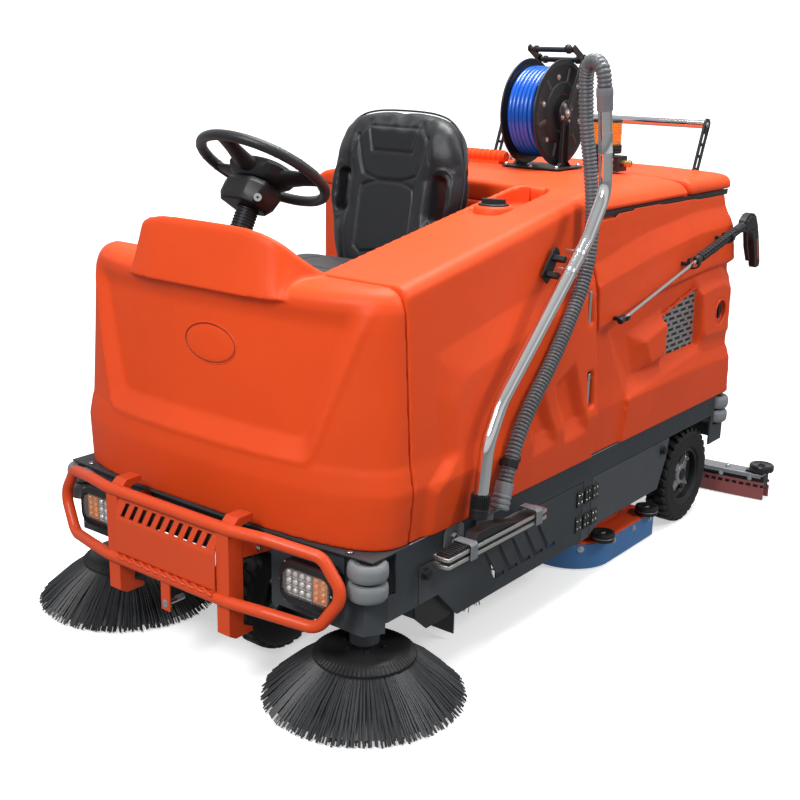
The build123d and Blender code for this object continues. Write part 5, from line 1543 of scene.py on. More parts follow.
# ------------------------------------------------------------------ hose reel on the top cover
RC = V(52, 3650, 1440)
XA = Vector((1, 0, 0))
for sgn, xf in ((1, .118), (-1, -.014)):
    b = Build()
    c = Vector((xf, RC.y, RC.z))
    ax = XA * sgn
    b.ring(c, ax, [(.0105, -.0040), (.0600, -.0040), (.0640, -.0005), (.0980, -.0005), (.1020, -.0040), (.1500, -.0040),
                   (.1560, -.0020), (.1640, -.0020), (.1690, -.0045), (.1745, -.0045), (.1760, -.0020), (.1745, .0010),
                   (.1700, .0004), (.1650, .0020), (.1550, .0020), (.1490, 0), (.1030, 0), (.0990, .0034), (.0640, .0034),
                   (.0600, 0), (.0105, 0)], 96)
    for i in range(6):
        t = math.pi / 3 * i + .26
        d = Vector((0, math.cos(t), math.sin(t)))
        q = ax.cross(d)
        # pressed rib from the hub ring to the rim bead
        b.add([c + d * r + q * e + ax * h for r, hw in ((.103, .010), (.149, .007)) for e, h in
               ((-hw, -.0003), (hw, -.0003), (hw * .5, .0024), (-hw * .5, .0024))],
              [(0, 1, 2, 3)[::-1], (4, 5, 6, 7), (0, 4, 5, 1)[::-1], (1, 5, 6, 2)[::-1], (2, 6, 7, 3)[::-1], (3, 7, 4, 0)[::-1]])
    b.done("reel_flange_%d" % (sgn > 0), "black_steel", "reel_drum", "black_steel", smooth=32)
b = Build()
b.ring(Vector((-.012, RC.y, RC.z)), XA, [(.088, 0), (.096, 0), (.096, .128), (.088, .128)], 72)
b.done("reel_core", "black_steel", "reel_drum", "black_steel", smooth=40)
b = Build()
for sgn, xf in ((1, .118), (-1, -.014)):
    for i in range(6):
        t = math.pi / 3 * i + .26 + math.pi / 6
        b.bolt(Vector((xf, RC.y + .121 * math.cos(t), RC.z + .121 * math.sin(t))), (sgn, 0, 0), .0062, .004)
rb = b.done("reel_bolts", "steel", "reel_drum", "black_steel", smooth=32)
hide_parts("reel_drum")
# hose turns: two layers, the outer one loose
r_ = random.Random(5)
b = Build()
for R_, turns, rad, x0, x1, wob in ((.1285, 7, .0082, -.0005, .1045, .0), (.1432, 6.4, .0080, .0015, .1025, 1.0)):
    pts = []
    m = int(turns * 56)
    ph = [r_.uniform(0, 6.28) for _ in range(8)]
    for i in range(m + 1):
        u_ = i / m
        t = 2 * math.pi * turns * u_
        k = int(t / (2 * math.pi))
        f_ = (t / (2 * math.pi)) % 1
        sm = min(1, max(0, (f_ - .62) / .34))
        lane = (k + sm * sm * (3 - 2 * sm)) / turns
        x = x0 + (x1 - x0) * min(1, lane) + .0016 * wob * math.sin(t * .7 + ph[k % 8])
        rr = R_ + .0006 * wob * math.sin(2.3 * t + ph[(k + 3) % 8])
        pts.append(Vector((x, RC.y + rr * math.cos(t), RC.z + rr * math.sin(t))))
    b.tube(pts, rad, 12)
b.ring(Vector((-.008, RC.y, RC.z)), XA, [(.0965, 0), (.124, 0), (.124, .120), (.0965, .120)], 64)
rh = b.done("reel_hose_turns", "blue_hose", "reel_drum", "blue_hose", smooth=60)
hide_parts("reel_hose")
# stand: foot plate, channel pedestals, hub plates, guide arms and roller head
b = Build()
b.prism([V(x, s, 1256.3) for x, s in ((-63, 3570), (-53, 3560), (157, 3560), (167, 3570), (167, 3730), (157, 3740),
                                      (-53, 3740), (-63, 3730))], (0, 0, .005))
for px, sg in ((128, 1), (-29, -1)):
    # web of the pedestal, and its two folded flanges
    b.prism([V(px, s, z) for s, z in ((3605, 1260), (3626, 1276), (3631, 1436), (3669, 1436), (3674, 1276), (3695, 1260))],
            (sg * .004, 0, 0))
    for s0, s1, s2 in ((3605, 3626, 3631), (3695, 3674, 3669)):
        d = 1 if s0 < 3650 else -1
        b.prism([V(px, s0, 1260), V(px, s1, 1276), V(px, s2, 1436), V(px, s2 + 4 * d, 1436), V(px, s1 + 4 * d, 1276),
                 V(px, s0 + 4 * d, 1260)], (sg * .014, 0, 0))
    c = V(px + sg * 3, 3650, 1440)
    b.lathe(c, (sg, 0, 0), [(0, 0), (.040, 0), (.042, .0015), (.042, .0045), (.040, .006), (.020, .006), (.018, .010), (0, .010)], 40)
    # guide arm: flat bar with a raised edge
    pa, pb = V(px + sg * 7, 3650, 1422), V(px + sg * 7, 3748, 1618)
    d = (pb - pa).normalized()
    q = Vector((0, -d.z, d.y))
    L = (pb - pa).length
    out = []
    for u_, hw in ((-.012, .010), (.0, .0185), (L * .5, .0165), (L, .015), (L + .012, .008)):
        out.append((u_, hw))
    poly = [pa + d * u_ + q * hw for u_, hw in out] + [pa + d * u_ - q * hw for u_, hw in out[::-1]]
    b.prism(poly, (sg * .005, 0, 0))
    b.prism([pa + d * .03 + q * .008, pa + d * (L - .02) + q * .007, pa + d * (L - .02) - q * .007, pa + d * .03 - q * .008],
            (sg * .008, 0, 0))
    pc = V(px + sg * 7, 3746, 1612)
    pd_ = V(px + sg * 7, 3680, 1648)
    d = (pd_ - pc).normalized()
    q = Vector((0, -d.z, d.y))
    L = (pd_ - pc).length
    b.prism([pc - d * .012 + q * .012, pd_ + d * .008 + q * .012, pd_ + d * .014, pd_ + d * .008 - q * .012, pc - d * .012 - q * .012],
            (sg * .005, 0, 0))
b.done("reel_stand", "black_steel", ROOT, "black_steel", bevel=.0010, smooth=35)
b = Build()
for ds, dz in ((93, 172), (30, 205)):
    b.rod(V(-31, 3650 + ds, 1440 + dz), V(135, 3650 + ds, 1440 + dz), .0088)
    for x in (-18, 110):
        b.ring(V(x, 3650 + ds, 1440 + dz), XA, [(.008, 0), (.013, 0), (.013, .010), (.008, .010)], 28)
b.rod(V(-30, 3650, 1440), V(132, 3650, 1440), .009)
b.sphere(V(128, 3653, 1650), .0135, 10)
b.done("reel_rollers", "black_plastic", ROOT, "black_steel", smooth=40)
b = Build()
for px, sg in ((128, 1), (-29, -1)):
    c = V(px + sg * 9, 3650, 1440)
    b.bolt(c + Vector((sg * .004, 0, 0)), (sg, 0, 0), .010, .006)
    for i in range(4):
        t = math.pi / 2 * i + .5
        b.bolt(c + Vector((0, .029 * math.cos(t), .029 * math.sin(t))), (sg, 0, 0), .0056, .0045)
    for s, z in ((3702, 1526), (3736, 1594), (3748, 1618)):
        b.bolt(V(px + sg * 15 if z < 1600 else px + sg * 12, s, z), (sg, 0, 0), .0056, .0045)
for x, s in ((-48, 3578), (152, 3578), (-48, 3722), (152, 3722), (52, 3578), (52, 3722)):
    b.bolt(V(x, s, 1261), (0, 0, 1), .0068, .006)
rs = b.done("reel_stand_bolts", "steel", ROOT, "black_steel", smooth=32)
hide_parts("reel_frame")

# ------------------------------------------------------------------ beacon and the valve block under it
BC = V(262, 3712, 0)
Z = Vector((0, 0, 1))


def rounded_stack(b, c, rows, n=72, pw=3.2):
    """Stack of squarish rounds (half width, height)."""
    verts, faces = [], []
    for k, (r, h) in enumerate(rows):
        for i in range(n):
            t = 2 * math.pi * i / n
            ct, sn = math.cos(t), math.sin(t)
            f = 1 / (abs(ct) ** pw + abs(sn) ** pw) ** (1 / pw)
            verts.append(c + Vector((ct * f * r, sn * f * r, h)))
    m = len(rows)
    for k in range(m - 1):
        for i in range(n):
            j = (i + 1) % n
            faces.append((k * n + i, k * n + j, k * n + n + j, k * n + n + i))
    faces.append(tuple(range(n))[::-1])
    faces.append(tuple((m - 1) * n + i for i in range(n)))
    b.add(verts, faces)


b = Build()
rows = [(.0425, 1.342)]
z_ = 1.344
while z_ < 1.412:
    rows += [(.0425, z_), (.0448, z_ + .0012), (.0448, z_ + .0046), (.0425, z_ + .0058)]
    z_ += .0072
rows += [(.0425, 1.4165)]
rounded_stack(b, BC, rows)
b.done("beacon_lens", "amber", ROOT, "amber", smooth=28)
b = Build()
rounded_stack(b, BC, [(.0440, 1.4160), (.0452, 1.4172), (.0452, 1.4215), (.0435, 1.4245), (.0380, 1.4255)])
b.lathe(BC, Z, [(0, 1.3140), (.050, 1.3140), (.052, 1.316), (.052, 1.3215), (.0495, 1.323), (.0495, 1.3265), (.052, 1.328),
                (.052, 1.3330), (.0495, 1.3345), (.0495, 1.338), (.0515, 1.3395), (.0505, 1.343), (.040, 1.343), (0, 1.343)], 56)
for i in range(28):
    t = 2 * math.pi * i / 28
    b.box(BC + Vector((.0506 * math.cos(t), .0506 * math.sin(t), 1.3285)), (.0030, .0040, .022),
          (Vector((math.cos(t), math.sin(t), 0)), Vector((-math.sin(t), math.cos(t), 0)), Z))
bc = b.done("beacon_base", "black_plastic", ROOT, "amber", bevel=.0005, smooth=35)
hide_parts("beacon")
b = Build()
b.box(V(270, 3710, 1282), (.118, .062, .050))
b.box(V(240, 3694, 1292), (.030, .030, .038))
b.box(V(300, 3697, 1288), (.034, .034, .040))
b.lathe(V(262, 3712, 0), Z, [(0, 1.304), (.030, 1.304), (.030, 1.3145), (0, 1.3145)], 32)
for i in range(3):
    b.rod(V(248 + 16 * i, 3690, 1304), V(248 + 16 * i, 3678, 1300), .0042)
b.done("valve_body", "black_plastic", ROOT, "black_plastic", bevel=.0025, smooth=35)
b = Build()
b.rod(V(326, 3710, 1284), V(362, 3710, 1284), .0095, .0015)
b.ring(V(333, 3710, 1284), XA, [(.009, 0), (.0125, 0), (.0125, .008), (.009, .008)], 6)
b.ring(V(350, 3710, 1284), XA, [(.009, 0), (.0118, .001), (.0118, .009), (.009, .010)], 24)
b.bolt(V(302, 3679.8, 1296), (0, -1, 0), .0058, .004)
b.bolt(V(302, 3679.8, 1276), (0, -1, 0), .0058, .004)
vs = b.done("valve_fittings", "brass", ROOT, "black_plastic", smooth=32)
b = Build()
b.rod(V(236, 3676, 1297), V(236, 3668, 1296), .0070, .001)
b.ring(V(222, 3706, 1272), (.35, .2, 1), [(.0105, 0), (.0150, 0), (.0150, .022), (.0105, .022)], 28)
b.box(V(216, 3692, 1288), (.007, .012, .022))
b.done("valve_clamp", "red_handle", ROOT, "black_plastic", bevel=.0006, smooth=35)
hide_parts("valve_block")

# ------------------------------------------------------------------ chrome rail and its slotted arms
b = Build()
b.rod(V(-418, 4139, 1400), V(418, 4139, 1400), .0145, .001, 32)
rr_ = b.done("rail_tube", "chrome", "rear_lid", "chrome_tube", smooth=40)
b = Build()
for sg in (1, -1):
    x = sg * 420
    outer = [(4052, 1230), (4070, 1226), (4088, 1230), (4158, 1396), (4154, 1412), (4138, 1418), (4124, 1408)]
    cx_ = sum(s for s, z in outer) / len(outer)
    # two side strips, end pads and cross webs leave the slots open
    pL = [(4050, 1230), (4064, 1228), (4134, 1404), (4118, 1408)]
    pR = [(4082, 1226), (4098, 1230), (4166, 1396), (4152, 1400)]
    b.prism([V(x, s, z) for s, z in pL], (sg * .006, 0, 0))
    b.prism([V(x, s, z) for s, z in pR], (sg * .006, 0, 0))
    for f0, f1 in ((0, .14), (.33, .39), (.56, .62), (.80, 1.0)):
        a0 = Vector((4057, 1229)).lerp(Vector((4129, 1406)), f0), Vector((4090, 1228)).lerp(Vector((4159, 1398)), f0)
        a1 = Vector((4057, 1229)).lerp(Vector((4129, 1406)), f1), Vector((4090, 1228)).lerp(Vector((4159, 1398)), f1)
        b.prism([V(x, a0[0].x, a0[0].y), V(x, a0[1].x, a0[1].y), V(x, a1[1].x, a1[1].y), V(x, a1[0].x, a1[0].y)], (sg * .006, 0, 0))
    b.prism([V(x, s, z) for s, z in ((4118, 1406), (4166, 1394), (4167, 1406), (4156, 1420), (4132, 1422))], (sg * .006, 0, 0))
    b.prism([V(x, s, z) for s, z in ((4052, 1230), (4052, 1236), (4090, 1236), (4090, 1230))], (-sg * .026, 0, 0))
b.done("rail_arms", "black_steel", "rear_lid", "chrome_tube", bevel=.0008)
b = Build()
for sg in (1, -1):
    b.bolt(V(sg * 426, 4139, 1400), (sg, 0, 0), .007, .004)
    b.bolt(V(sg * 426, 4069, 1240), (sg, 0, 0), .006, .004)
b.done("rail_bolts", "steel", "rear_lid", "chrome_tube", smooth=32)
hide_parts("rear_rail")

# ------------------------------------------------------------------ filler: lugged cap on its raised ring
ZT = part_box("filler_cap")[0].z
FC = Vector((.340, st(2925), ZT))
b = Build()
b.ring(FC, Z, [(.034, -.016), (.060, -.016), (.058, -.004), (.053, .004), (.047, .005), (.043, .002), (.034, .002)], 56)
b.done("filler_ring", "orange", ROOT, "orange_plastic", smooth=50)
b = Build()
b.lathe(FC, Z, [(0, -.004), (.0425, -.004), (.0435, .001), (.0435, .007), (.0415, .010), (.034, .0105), (.031, .007), (0, .006)], 48)
for i in range(20):
    t = 2 * math.pi * i / 20
    b.box(FC + Vector((.0430 * math.cos(t), .0430 * math.sin(t), .004)), (.0030, .0055, .010),
          (Vector((math.cos(t), math.sin(t), 0)), Vector((-math.sin(t), math.cos(t), 0)), Z))
ca, sa = math.cos(math.radians(20)), math.sin(math.radians(20))
b.box(FC + Vector((0, 0, .0145)), (.070, .013, .017), (Vector((ca, sa, 0)), Vector((-sa, ca, 0)), Z))
fc_ = b.done("filler_cap_lugs", "black_plastic", ROOT, "black_plastic", bevel=.0012, smooth=35)
b = Build()
b.bolt(Vector((.392, st(2990), ZT - .019)), Z, .006, .005)
b.done("filler_bolt", "steel", ROOT, "dark_steel", smooth=32)
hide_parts("filler_cap")

# ------------------------------------------------------------------ ribs and pin of the cover's hinge barrel
b = Build()
for i in range(14):
    b.ring(V(-412 + i * 22, 3660, 1277), XA, [(.0195, 0), (.0228, .0015), (.0228, .0125), (.0195, .014)], 36)
b.done("barrel_ribs", "orange", ROOT, "orange_plastic", smooth=50)
b = Build()
b.rod(V(-88, 3660, 1277), V(-78, 3660, 1277), .0085, .001)
bb_ = Build()
bb_.rod(V(-418, 3660, 1277), V(-102, 3660, 1277), .0198, .003, 40)
bb_.prism([V(-400, s, z) for s, z in ((3634, 1240), (3686, 1240), (3675, 1272), (3645, 1272))], (.280, 0, 0))
bb_.done("barrel_core", "orange", ROOT, "orange_plastic", smooth=40)
b.done("barrel_pin", "steel", ROOT, "dark_steel", smooth=32)

# ------------------------------------------------------------------ steering wheel
tl = math.radians(33)
cd = Vector((0, math.sin(tl), math.cos(tl)))
hub = V(0, 2334, 1327)
wx, wy = Vector((1, 0, 0)), cd.cross(Vector((1, 0, 0)))     # across and along the wheel


def wp(x, y, h=0.0):
    return hub + wx * x + wy * y + cd * h


b = Build()
b.loop([wp(.175 * math.cos(2 * math.pi * i / 96), .175 * math.sin(2 * math.pi * i / 96)) for i in range(96)], .0142, 20)
for x in (-1, 1):
    t0 = math.radians(-8 if x > 0 else 188)
    # collar seams on the rim
    for dt in (-.16, .16, .52, -.52):
        t = t0 + dt
        c_ = wp(.175 * math.cos(t), .175 * math.sin(t))
        tg = (-wx * math.sin(t) + wy * math.cos(t))
        b.ring(c_, tg, [(.0125, -.0022), (.0147, -.0022), (.0150, 0), (.0147, .0022), (.0125, .0022)], 24)
b.done("wheel_rim", "vinyl", "steering_wheel", "black_plastic", smooth=60)
b = Build()
for t, w0, w1 in ((math.radians(8), .048, .034), (math.radians(172), .048, .034), (math.radians(-90), .040, .028)):
    dirn = wx * math.cos(t) + wy * math.sin(t)
    side = cd.cross(dirn)
    rows = []
    for r, hw, hh, lift in ((.030, w0, .020, -.016), (.080, w0 * .85, .018, -.014), (.120, w1, .014, -.008), (.150, w1, .012, -.004), (.170, w1 * 1.25, .011, 0)):
        ring_ = []
        for k in range(14):
            a_ = 2 * math.pi * k / 14
            ring_.append(hub + dirn * r + side * (hw * math.cos(a_)) + cd * (lift + hh * math.sin(a_)))
        rows.append(ring_)
    plate(b, rows)
b.done("wheel_spokes", "black_plastic", "steering_wheel", "black_plastic", smooth=60)
b = Build()
rows = []
for k, (rx, ry, h) in enumerate(((.066, .052, -.040), (.090, .066, -.026), (.100, .074, -.006), (.098, .072, .004), (.090, .066, .007))):
    rows.append([wp(rx * math.copysign(abs(math.cos(a_)) ** .8, math.cos(a_)), .004 + ry * math.copysign(abs(math.sin(a_)) ** .8, math.sin(a_)), h)
                 for a_ in [2 * math.pi * i / 48 for i in range(48)]])
plate(b, rows)
b.done("wheel_boss", "black_plastic", "steering_wheel", "black_plastic", smooth=35)
b = Build()
rows = []
for f_, h in ((1.0, .0065), (1.0, .0100), (.985, .0125), (.93, .0155), (.75, .0185), (.45, .0205), (.12, .0212)):
    rows.append([wp(.070 * f_ * math.cos(a_), .004 + .050 * f_ * math.sin(a_), h) for a_ in [2 * math.pi * i / 56 for i in range(56)]])
plate(b, rows)
wpd = b.done("wheel_pad", "vinyl", "steering_wheel", "black_plastic", smooth=50)
b = Build()
b.loop([wp(.0725 * math.cos(2 * math.pi * i / 64), .004 + .0525 * math.sin(2 * math.pi * i / 64), .0075) for i in range(64)], .0018, 8)
b.done("wheel_pad_bead", "black_plastic", "steering_wheel", "black_plastic", smooth=60)
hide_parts("steering_wheel")
# column: ribbed sleeve, angular shroud and its foot plate
b = Build()
foot_ = V(0, 2218, 1120)
ctop = hub - cd * .034
cdir = ((ctop - cd * .030) - foot_)
L = cdir.length
cu = cdir.normalized()
prof = [(0, -.02), (.028, -.02), (.028, .012)]
u_ = .014
while u_ < L - .03:
    prof += [(.0275, u_), (.0300, u_ + .0022), (.0300, u_ + .0046), (.0275, u_ + .0068)]
    u_ += .0084
prof += [(.0275, L - .012), (.031, L - .010), (.031, L + .004), (0, L + .004)]
b.lathe(foot_, cu, prof, 40)
b.ring(foot_ + cu * .004, cu, [(.028, 0), (.043, -.002), (.041, .010), (.033, .018), (.028, .020)], 40)
cs_ = b.done("column_sleeve", "black_plastic", ROOT, "black_plastic", smooth=40)
b = Build()
rows = []
oct_ = [(1, .55), (.62, 1), (-.62, 1), (-1, .55), (-1, -.62), (-.55, -1), (.55, -1), (1, -.62)]
for sx_, sy_, h, off in ((.058, .050, -.118, -.014), (.069, .060, -.096, -.010), (.071, .064, -.062, -.004), (.064, .056, -.047, 0)):
    rows.append([wp(sx_ * p, off + sy_ * q, h) for p, q in oct_])
plate(b, rows)
b.done("column_shroud", "black_plastic", ROOT, "black_plastic", bevel=.004, segs=3)
b = Build()
b.rod(wp(-.052, .012, -.085), wp(-.118, .040, -.078), .0052)
b.sphere(wp(-.122, .042, -.0775), .011, 8)
b.rod(wp(.050, -.030, -.098), wp(.068, -.044, -.100), .012, .002)
b.done("column_lever", "black_plastic", ROOT, "black_plastic", smooth=50)
b = Build()
b.ring(wp(.0688, -.0446, -.1002), (wp(.062, -.040, -.100) - wp(.050, -.030, -.098)), [(.0035, 0), (.0105, 0), (.0105, .0015), (.0035, .0015)], 24)
b.done("column_key", "steel", ROOT, "dark_steel", smooth=40)
b = Build()
b.prism([V(-60, s, z) for s, z in ((2160, 1168), (2256, 1093), (2256, 1101), (2164, 1174))], (.120, 0, 0))
b.done("column_plate", "black_steel", ROOT, "black_steel", bevel=.002)
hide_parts("steering_column")

# ------------------------------------------------------------------ spray gun and its clips
g0, g1, g2 = V(620, 3215, 868), V(620, 3714, 989), V(620, 4077, 1068)
d1, d2g = (g1 - g0).normalized(), (g2 - g1).normalized()
b = Build()
b.rod(g0 + d1 * .020, g1 + d1 * .010, .0058, .001, 24)
b.ring(g0 + d1 * .034, d1, [(.0055, 0), (.0085, 0), (.0085, .012), (.0055, .012)], 6)
b.done("gun_lance", "chrome", "rear_door_left", "black_plastic", smooth=40)
b = Build()
b.lathe(g0 - d1 * .004, d1, [(0, 0), (.0085, 0), (.0100, .002), (.0100, .024), (.0075, .030), (0, .030)], 24)
# ribbed and perforated barrel
L = (g2 - g1).length
b.lathe(g1, d2g, [(0, 0), (.0105, 0), (.0150, .006), (.0150, .020), (.0125, .024), (.0125, L - .060), (.0160, L - .050), (.0160, L - .004), (0, L)], 28)
a_, u__, w__ = basis(d2g)
n_h = 15
for i in range(n_h):
    p = g1 + d2g * (.034 + (L - .100) * i / (n_h - 1))
    b.ring(p, d2g, [(.0120, -.0035), (.0158, -.0030), (.0158, .0030), (.0120, .0035)], 20)
for k in range(8):
    t = 2 * math.pi * k / 8
    d = u__ * math.cos(t) + w__ * math.sin(t)
    b.box(g1 + d2g * (L * .5 - .018) + d * .0142, (.0032, .0050, L - .095), (d, d2g.cross(d), d2g))
# pistol body
hp = [(4052, 1048), (4064, 1088), (4090, 1106), (4118, 1110), (4142, 1106), (4162, 1094), (4184, 1062), (4202, 1020),
      (4220, 968), (4234, 922), (4228, 908), (4200, 906), (4190, 914), (4178, 960), (4160, 1004), (4140, 1034), (4118, 1046), (4084, 1046)]
b.prism([V(608, s, z) for s, z in hp], (.024, 0, 0))
b.prism([V(604, s, z) for s, z in ((4074, 1056), (4080, 1086), (4110, 1100), (4140, 1094), (4166, 1060), (4150, 1046), (4120, 1056))], (.032, 0, 0))
# trigger
b.prism([V(613, s, z) for s, z in ((4096, 1048), (4106, 1048), (4122, 1000), (4150, 940), (4144, 936), (4112, 992))], (.014, 0, 0))
gb = b.done("gun_body", "black_plastic", "rear_door_left", "black_plastic", bevel=.0022, segs=2, smooth=35)
b = Build()
b.prism([V(606.5, s, z) for s, z in ((4186, 1010), (4192, 1012), (4216, 938), (4208, 936))], (.027, 0, 0))
b.done("gun_strip", "red_handle", "rear_door_left", "black_plastic", bevel=.001)
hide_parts("spray_gun")
b = Build()
for s, z, x0, arm in ((3245, 876, 565, 604), (3700, 986, 561, 600), (3960, 1043, 560, 600)):
    b.box(V(x0 + 3, s, z), (.006, .026, .050))
    b.box(V((x0 + arm) / 2, s, z - 8), ((arm - x0) / 1000, .018, .012))
    # open hook round the lance or barrel
    c = g0 + d1 * ((V(620, s, z) - g0).dot(d1)) if s < 3714 else g1 + d2g * ((V(620, s, z) - g1).dot(d2g))
    rr2 = .0078 if s < 3690 else .0172
    if s == 3700:
        rr2 = .0165
    pts = []
    for i in range(15):
        t = math.radians(140 + 250 * i / 14)
        pts.append((math.cos(t), math.sin(t)))
    sec_o = [c + Vector((rr2 * 1.05 * x + .0, 0, rr2 * 1.05 * y)) for x, y in pts]
    sec_i = [c + Vector(((rr2 + .0045) * 1.05 * x, 0, (rr2 + .0045) * 1.05 * y)) for x, y in pts]
    hw = Vector((0, .009, 0))
    P = []
    for o_, i_ in zip(sec_o, sec_i):
        P += [o_ - hw, o_ + hw, i_ + hw, i_ - hw]
    F = [(0, 1, 2, 3)[::-1]]
    m = len(pts)
    for k in range(m - 1):
        for j in range(4):
            l = (j + 1) % 4
            F.append((k * 4 + j, k * 4 + l, k * 4 + 4 + l, k * 4 + 4 + j))
    F.append(((m - 1) * 4, (m - 1) * 4 + 1, (m - 1) * 4 + 2, (m - 1) * 4 + 3))
    b.add(P, F)
b.done("gun_clips", "black_plastic", "rear_door_left", "black_plastic", bevel=.0008, smooth=35)
# ------------------------------------------------------------------ floor nozzle on its shelf
b = Build()
for z0, z1 in ((381, 391), (401, 411)):
    for x0 in (614, 661):
        prof = [(2302, z0 + 3), (2306, z0), (2768, z0), (2770, z1), (2306, z1), (2302, z1 - 3)]
        b.prism([V(x0, s, z) for s, z in prof], (.005, 0, 0))
    # rounded ends joining the two faces
    for se in (2306, 2766):
        sg = -1 if se < 2500 else 1
        pts_o = [V(640 + 26 * math.cos(t), se + sg * 9 * math.sin(t), z0) for t in [math.pi * i / 10 for i in range(11)]]
        b.prism(pts_o, (0, 0, (z1 - z0) / 1000))
b.done("nozzle_strips", "alu", ROOT, "aluminium_strip", bevel=.0009, smooth=35)
b = Build()
b.box(V(640, 2536, 396), (.040, .452, .012))
b.prism([V(622, s, z) for s, z in ((2420, 410), (2640, 410), (2600, 420), (2520, 438), (2440, 438))], (.036, 0, 0))
for i in range(9):
    b.box(V(640, 2318 + 11 * i, 414), (.044, .005, .010))
b.box(V(640, 2362, 411), (.046, .100, .004))
nz = b.done("nozzle_body", "black_plastic", ROOT, "aluminium_strip", bevel=.0015)
b = Build()
for s in (2392, 2708):
    b.prism([V(x, s, z) for x, z in ((608, 376), (608, 418), (614, 424), (666, 424), (672, 418), (672, 378), (668, 378), (668, 416),
                                     (664, 420), (616, 420), (612, 416), (612, 376))], (0, .030, 0))
b.done("nozzle_clamps", "grey_cuff", ROOT, "aluminium_strip", bevel=.0012)
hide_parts("floor_nozzle")
# bracket plates on the chassis band
b = Build()
c4 = [(2392, 380), (2392, 430), (2404, 442), (2470, 442), (2482, 430), (2482, 380)]
b.prism([V(580.2, s, z) for s, z in c4], (.004, 0, 0))
b.prism([V(580.2, s, z) for s, z in ((2540, 384), (2540, 452), (2550, 462), (2612, 462), (2622, 452), (2622, 384))], (.004, 0, 0))
b.prism([V(580.2, s, z) for s, z in ((2400, 375), (2670, 375), (2670, 378.5), (2400, 378.5))], (.070, 0, 0))
b.prism([V(580.2, s, z) for s, z in ((2544, 442), (2604, 442), (2604, 450), (2544, 450))], (.036, 0, 0))
wbk = b.done("nozzle_brackets", "grey_cuff", ROOT, "dark_steel", bevel=.0012)
b = Build()
for s, z in ((2437, 412), (2600, 430), (2556, 400)):
    b.bolt(V(584.2, s, z), (1, 0, 0), .0085, .006)
b.done("bracket_bolts", "steel", ROOT, "dark_steel", smooth=32)
# upper clip plate with two hooks
b = Build()
b.prism([V(562, s, z) for s, z in ((2838, 1050), (2868, 1022), (2880, 1030), (2928, 1100), (2922, 1112), (2900, 1124))], (.006, 0, 0))
for arm in (((2857, 1047), (2871, 1037), (2880, 1050), (2866, 1060)), ((2887, 1089), (2901, 1079), (2910, 1092), (2896, 1102))):
    b.prism([V(567, s, z) for s, z in arm], (.036, 0, 0))
b.done("clip_plate", "black_plastic", ROOT, "black_steel", bevel=.0015)
b = Build()
wd = (WAND[3] - WAND[2]).normalized()
for k in (.46, .60):
    q = WAND[2].lerp(WAND[3], 0) + wd * ((V(640, 2862 + (k - .46) * 330, 0).y - WAND[2].y) / wd.y)
    b.ring(q, wd, [(.0180, -.006), (.0205, -.006), (.0205, .006), (.0180, .006)], 36)
    a_, u_, w_ = basis(wd)
    b.box(q + Vector((-.030, 0, .004)), (.030, .010, .012))
b.done("clip_hooks", "steel", ROOT, "black_steel", bevel=.0005, smooth=35)
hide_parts("wand_brackets")

# ------------------------------------------------------------------ chassis fittings
# two hinges a door: one leaf and its knuckles on the door, the other leaf on the post between the doors
for sx, side in ((1, "left"), (-1, "right")):
    post, post_s = Build(), Build()
    for door_, s_axis, s_leaf, s_post in (("front", 3130.0, 3107, 3146), ("rear", 3180.0, 3203, 3164)):
        leaf, leaf_s = Build(), Build()
        for z0 in (298, 214):
            leaf.box(V(sx * 582.4, s_leaf, z0 + 22), (.0046, .034, .050))
            for ds, dz in ((-9, 10), (9, 10), (-9, 34), (9, 34)):
                leaf_s.screw(V(sx * 584.6, s_leaf + ds, z0 + dz), (sx, 0, 0), .0036, .0016)
        leaf.done("hinge_leaf_%s_%s" % (door_, side), "black_steel", "skirt_door_%s_%s" % (door_, side), "black_steel", bevel=.0010, smooth=35)
        leaf_s.done("leaf_screws_%s_%s" % (door_, side), "steel", "skirt_door_%s_%s" % (door_, side), "dark_steel", smooth=45)
        for z0 in (298, 214):
            post.box(V(sx * 582.4, s_post, z0 + 22), (.0046, .014, .050))
            for k in (-15, 0, 15):
                post.rod(V(sx * 583.2, s_axis + (7 if door_ == "front" else -7), z0 + 22 + k - 6), V(sx * 583.2, s_axis + (7 if door_ == "front" else -7), z0 + 22 + k + 6), .0046, .0006, 16)
            for dz in (10, 34):
                post_s.screw(V(sx * 584.6, s_post, z0 + dz), (sx, 0, 0), .0034, .0016)
    post.done("hinge_posts_" + side, "black_steel", ROOT, "black_steel", bevel=.0010, smooth=35)
    for s in (2112, 2196):
        post_s.screw(V(sx * 500, s, 447.8), (0, 0, 1), .0085, .0035)
    post_s.done("hinge_screws_" + side, "steel", ROOT, "dark_steel", smooth=45)
for sx, side in ((1, "left"), (-1, "right")):
    for s, z, bd in ((2318, 342, "skirt_door_front_" + side), (3665, 338, "skirt_door_rear_" + side)):
        b = Build()
        b.lathe(V(sx * 580, s, z), (sx, 0, 0), [(0, 0), (.0165, 0), (.0165, .003), (.0125, .004), (.0125, .010), (.0140, .011), (.0140, .015),
                                               (.0105, .0165), (0, .0165)], 6 if False else 28)
        b.box(V(sx * 592, s, z), (.008, .006, .022))
        b.done("knob_%s_%d" % (side, s), "black_plastic", bd, "black_plastic", bevel=.0006, smooth=35)
# thin lip along the deck plate
b = Build()
for sx in (1, -1):
    b.box(V(sx * 579.0, 3200, 444.6), (.0035, 1.90, .0018))
b.done("deck_lip", "hub", ROOT, "dark_steel", bevel=.0005)
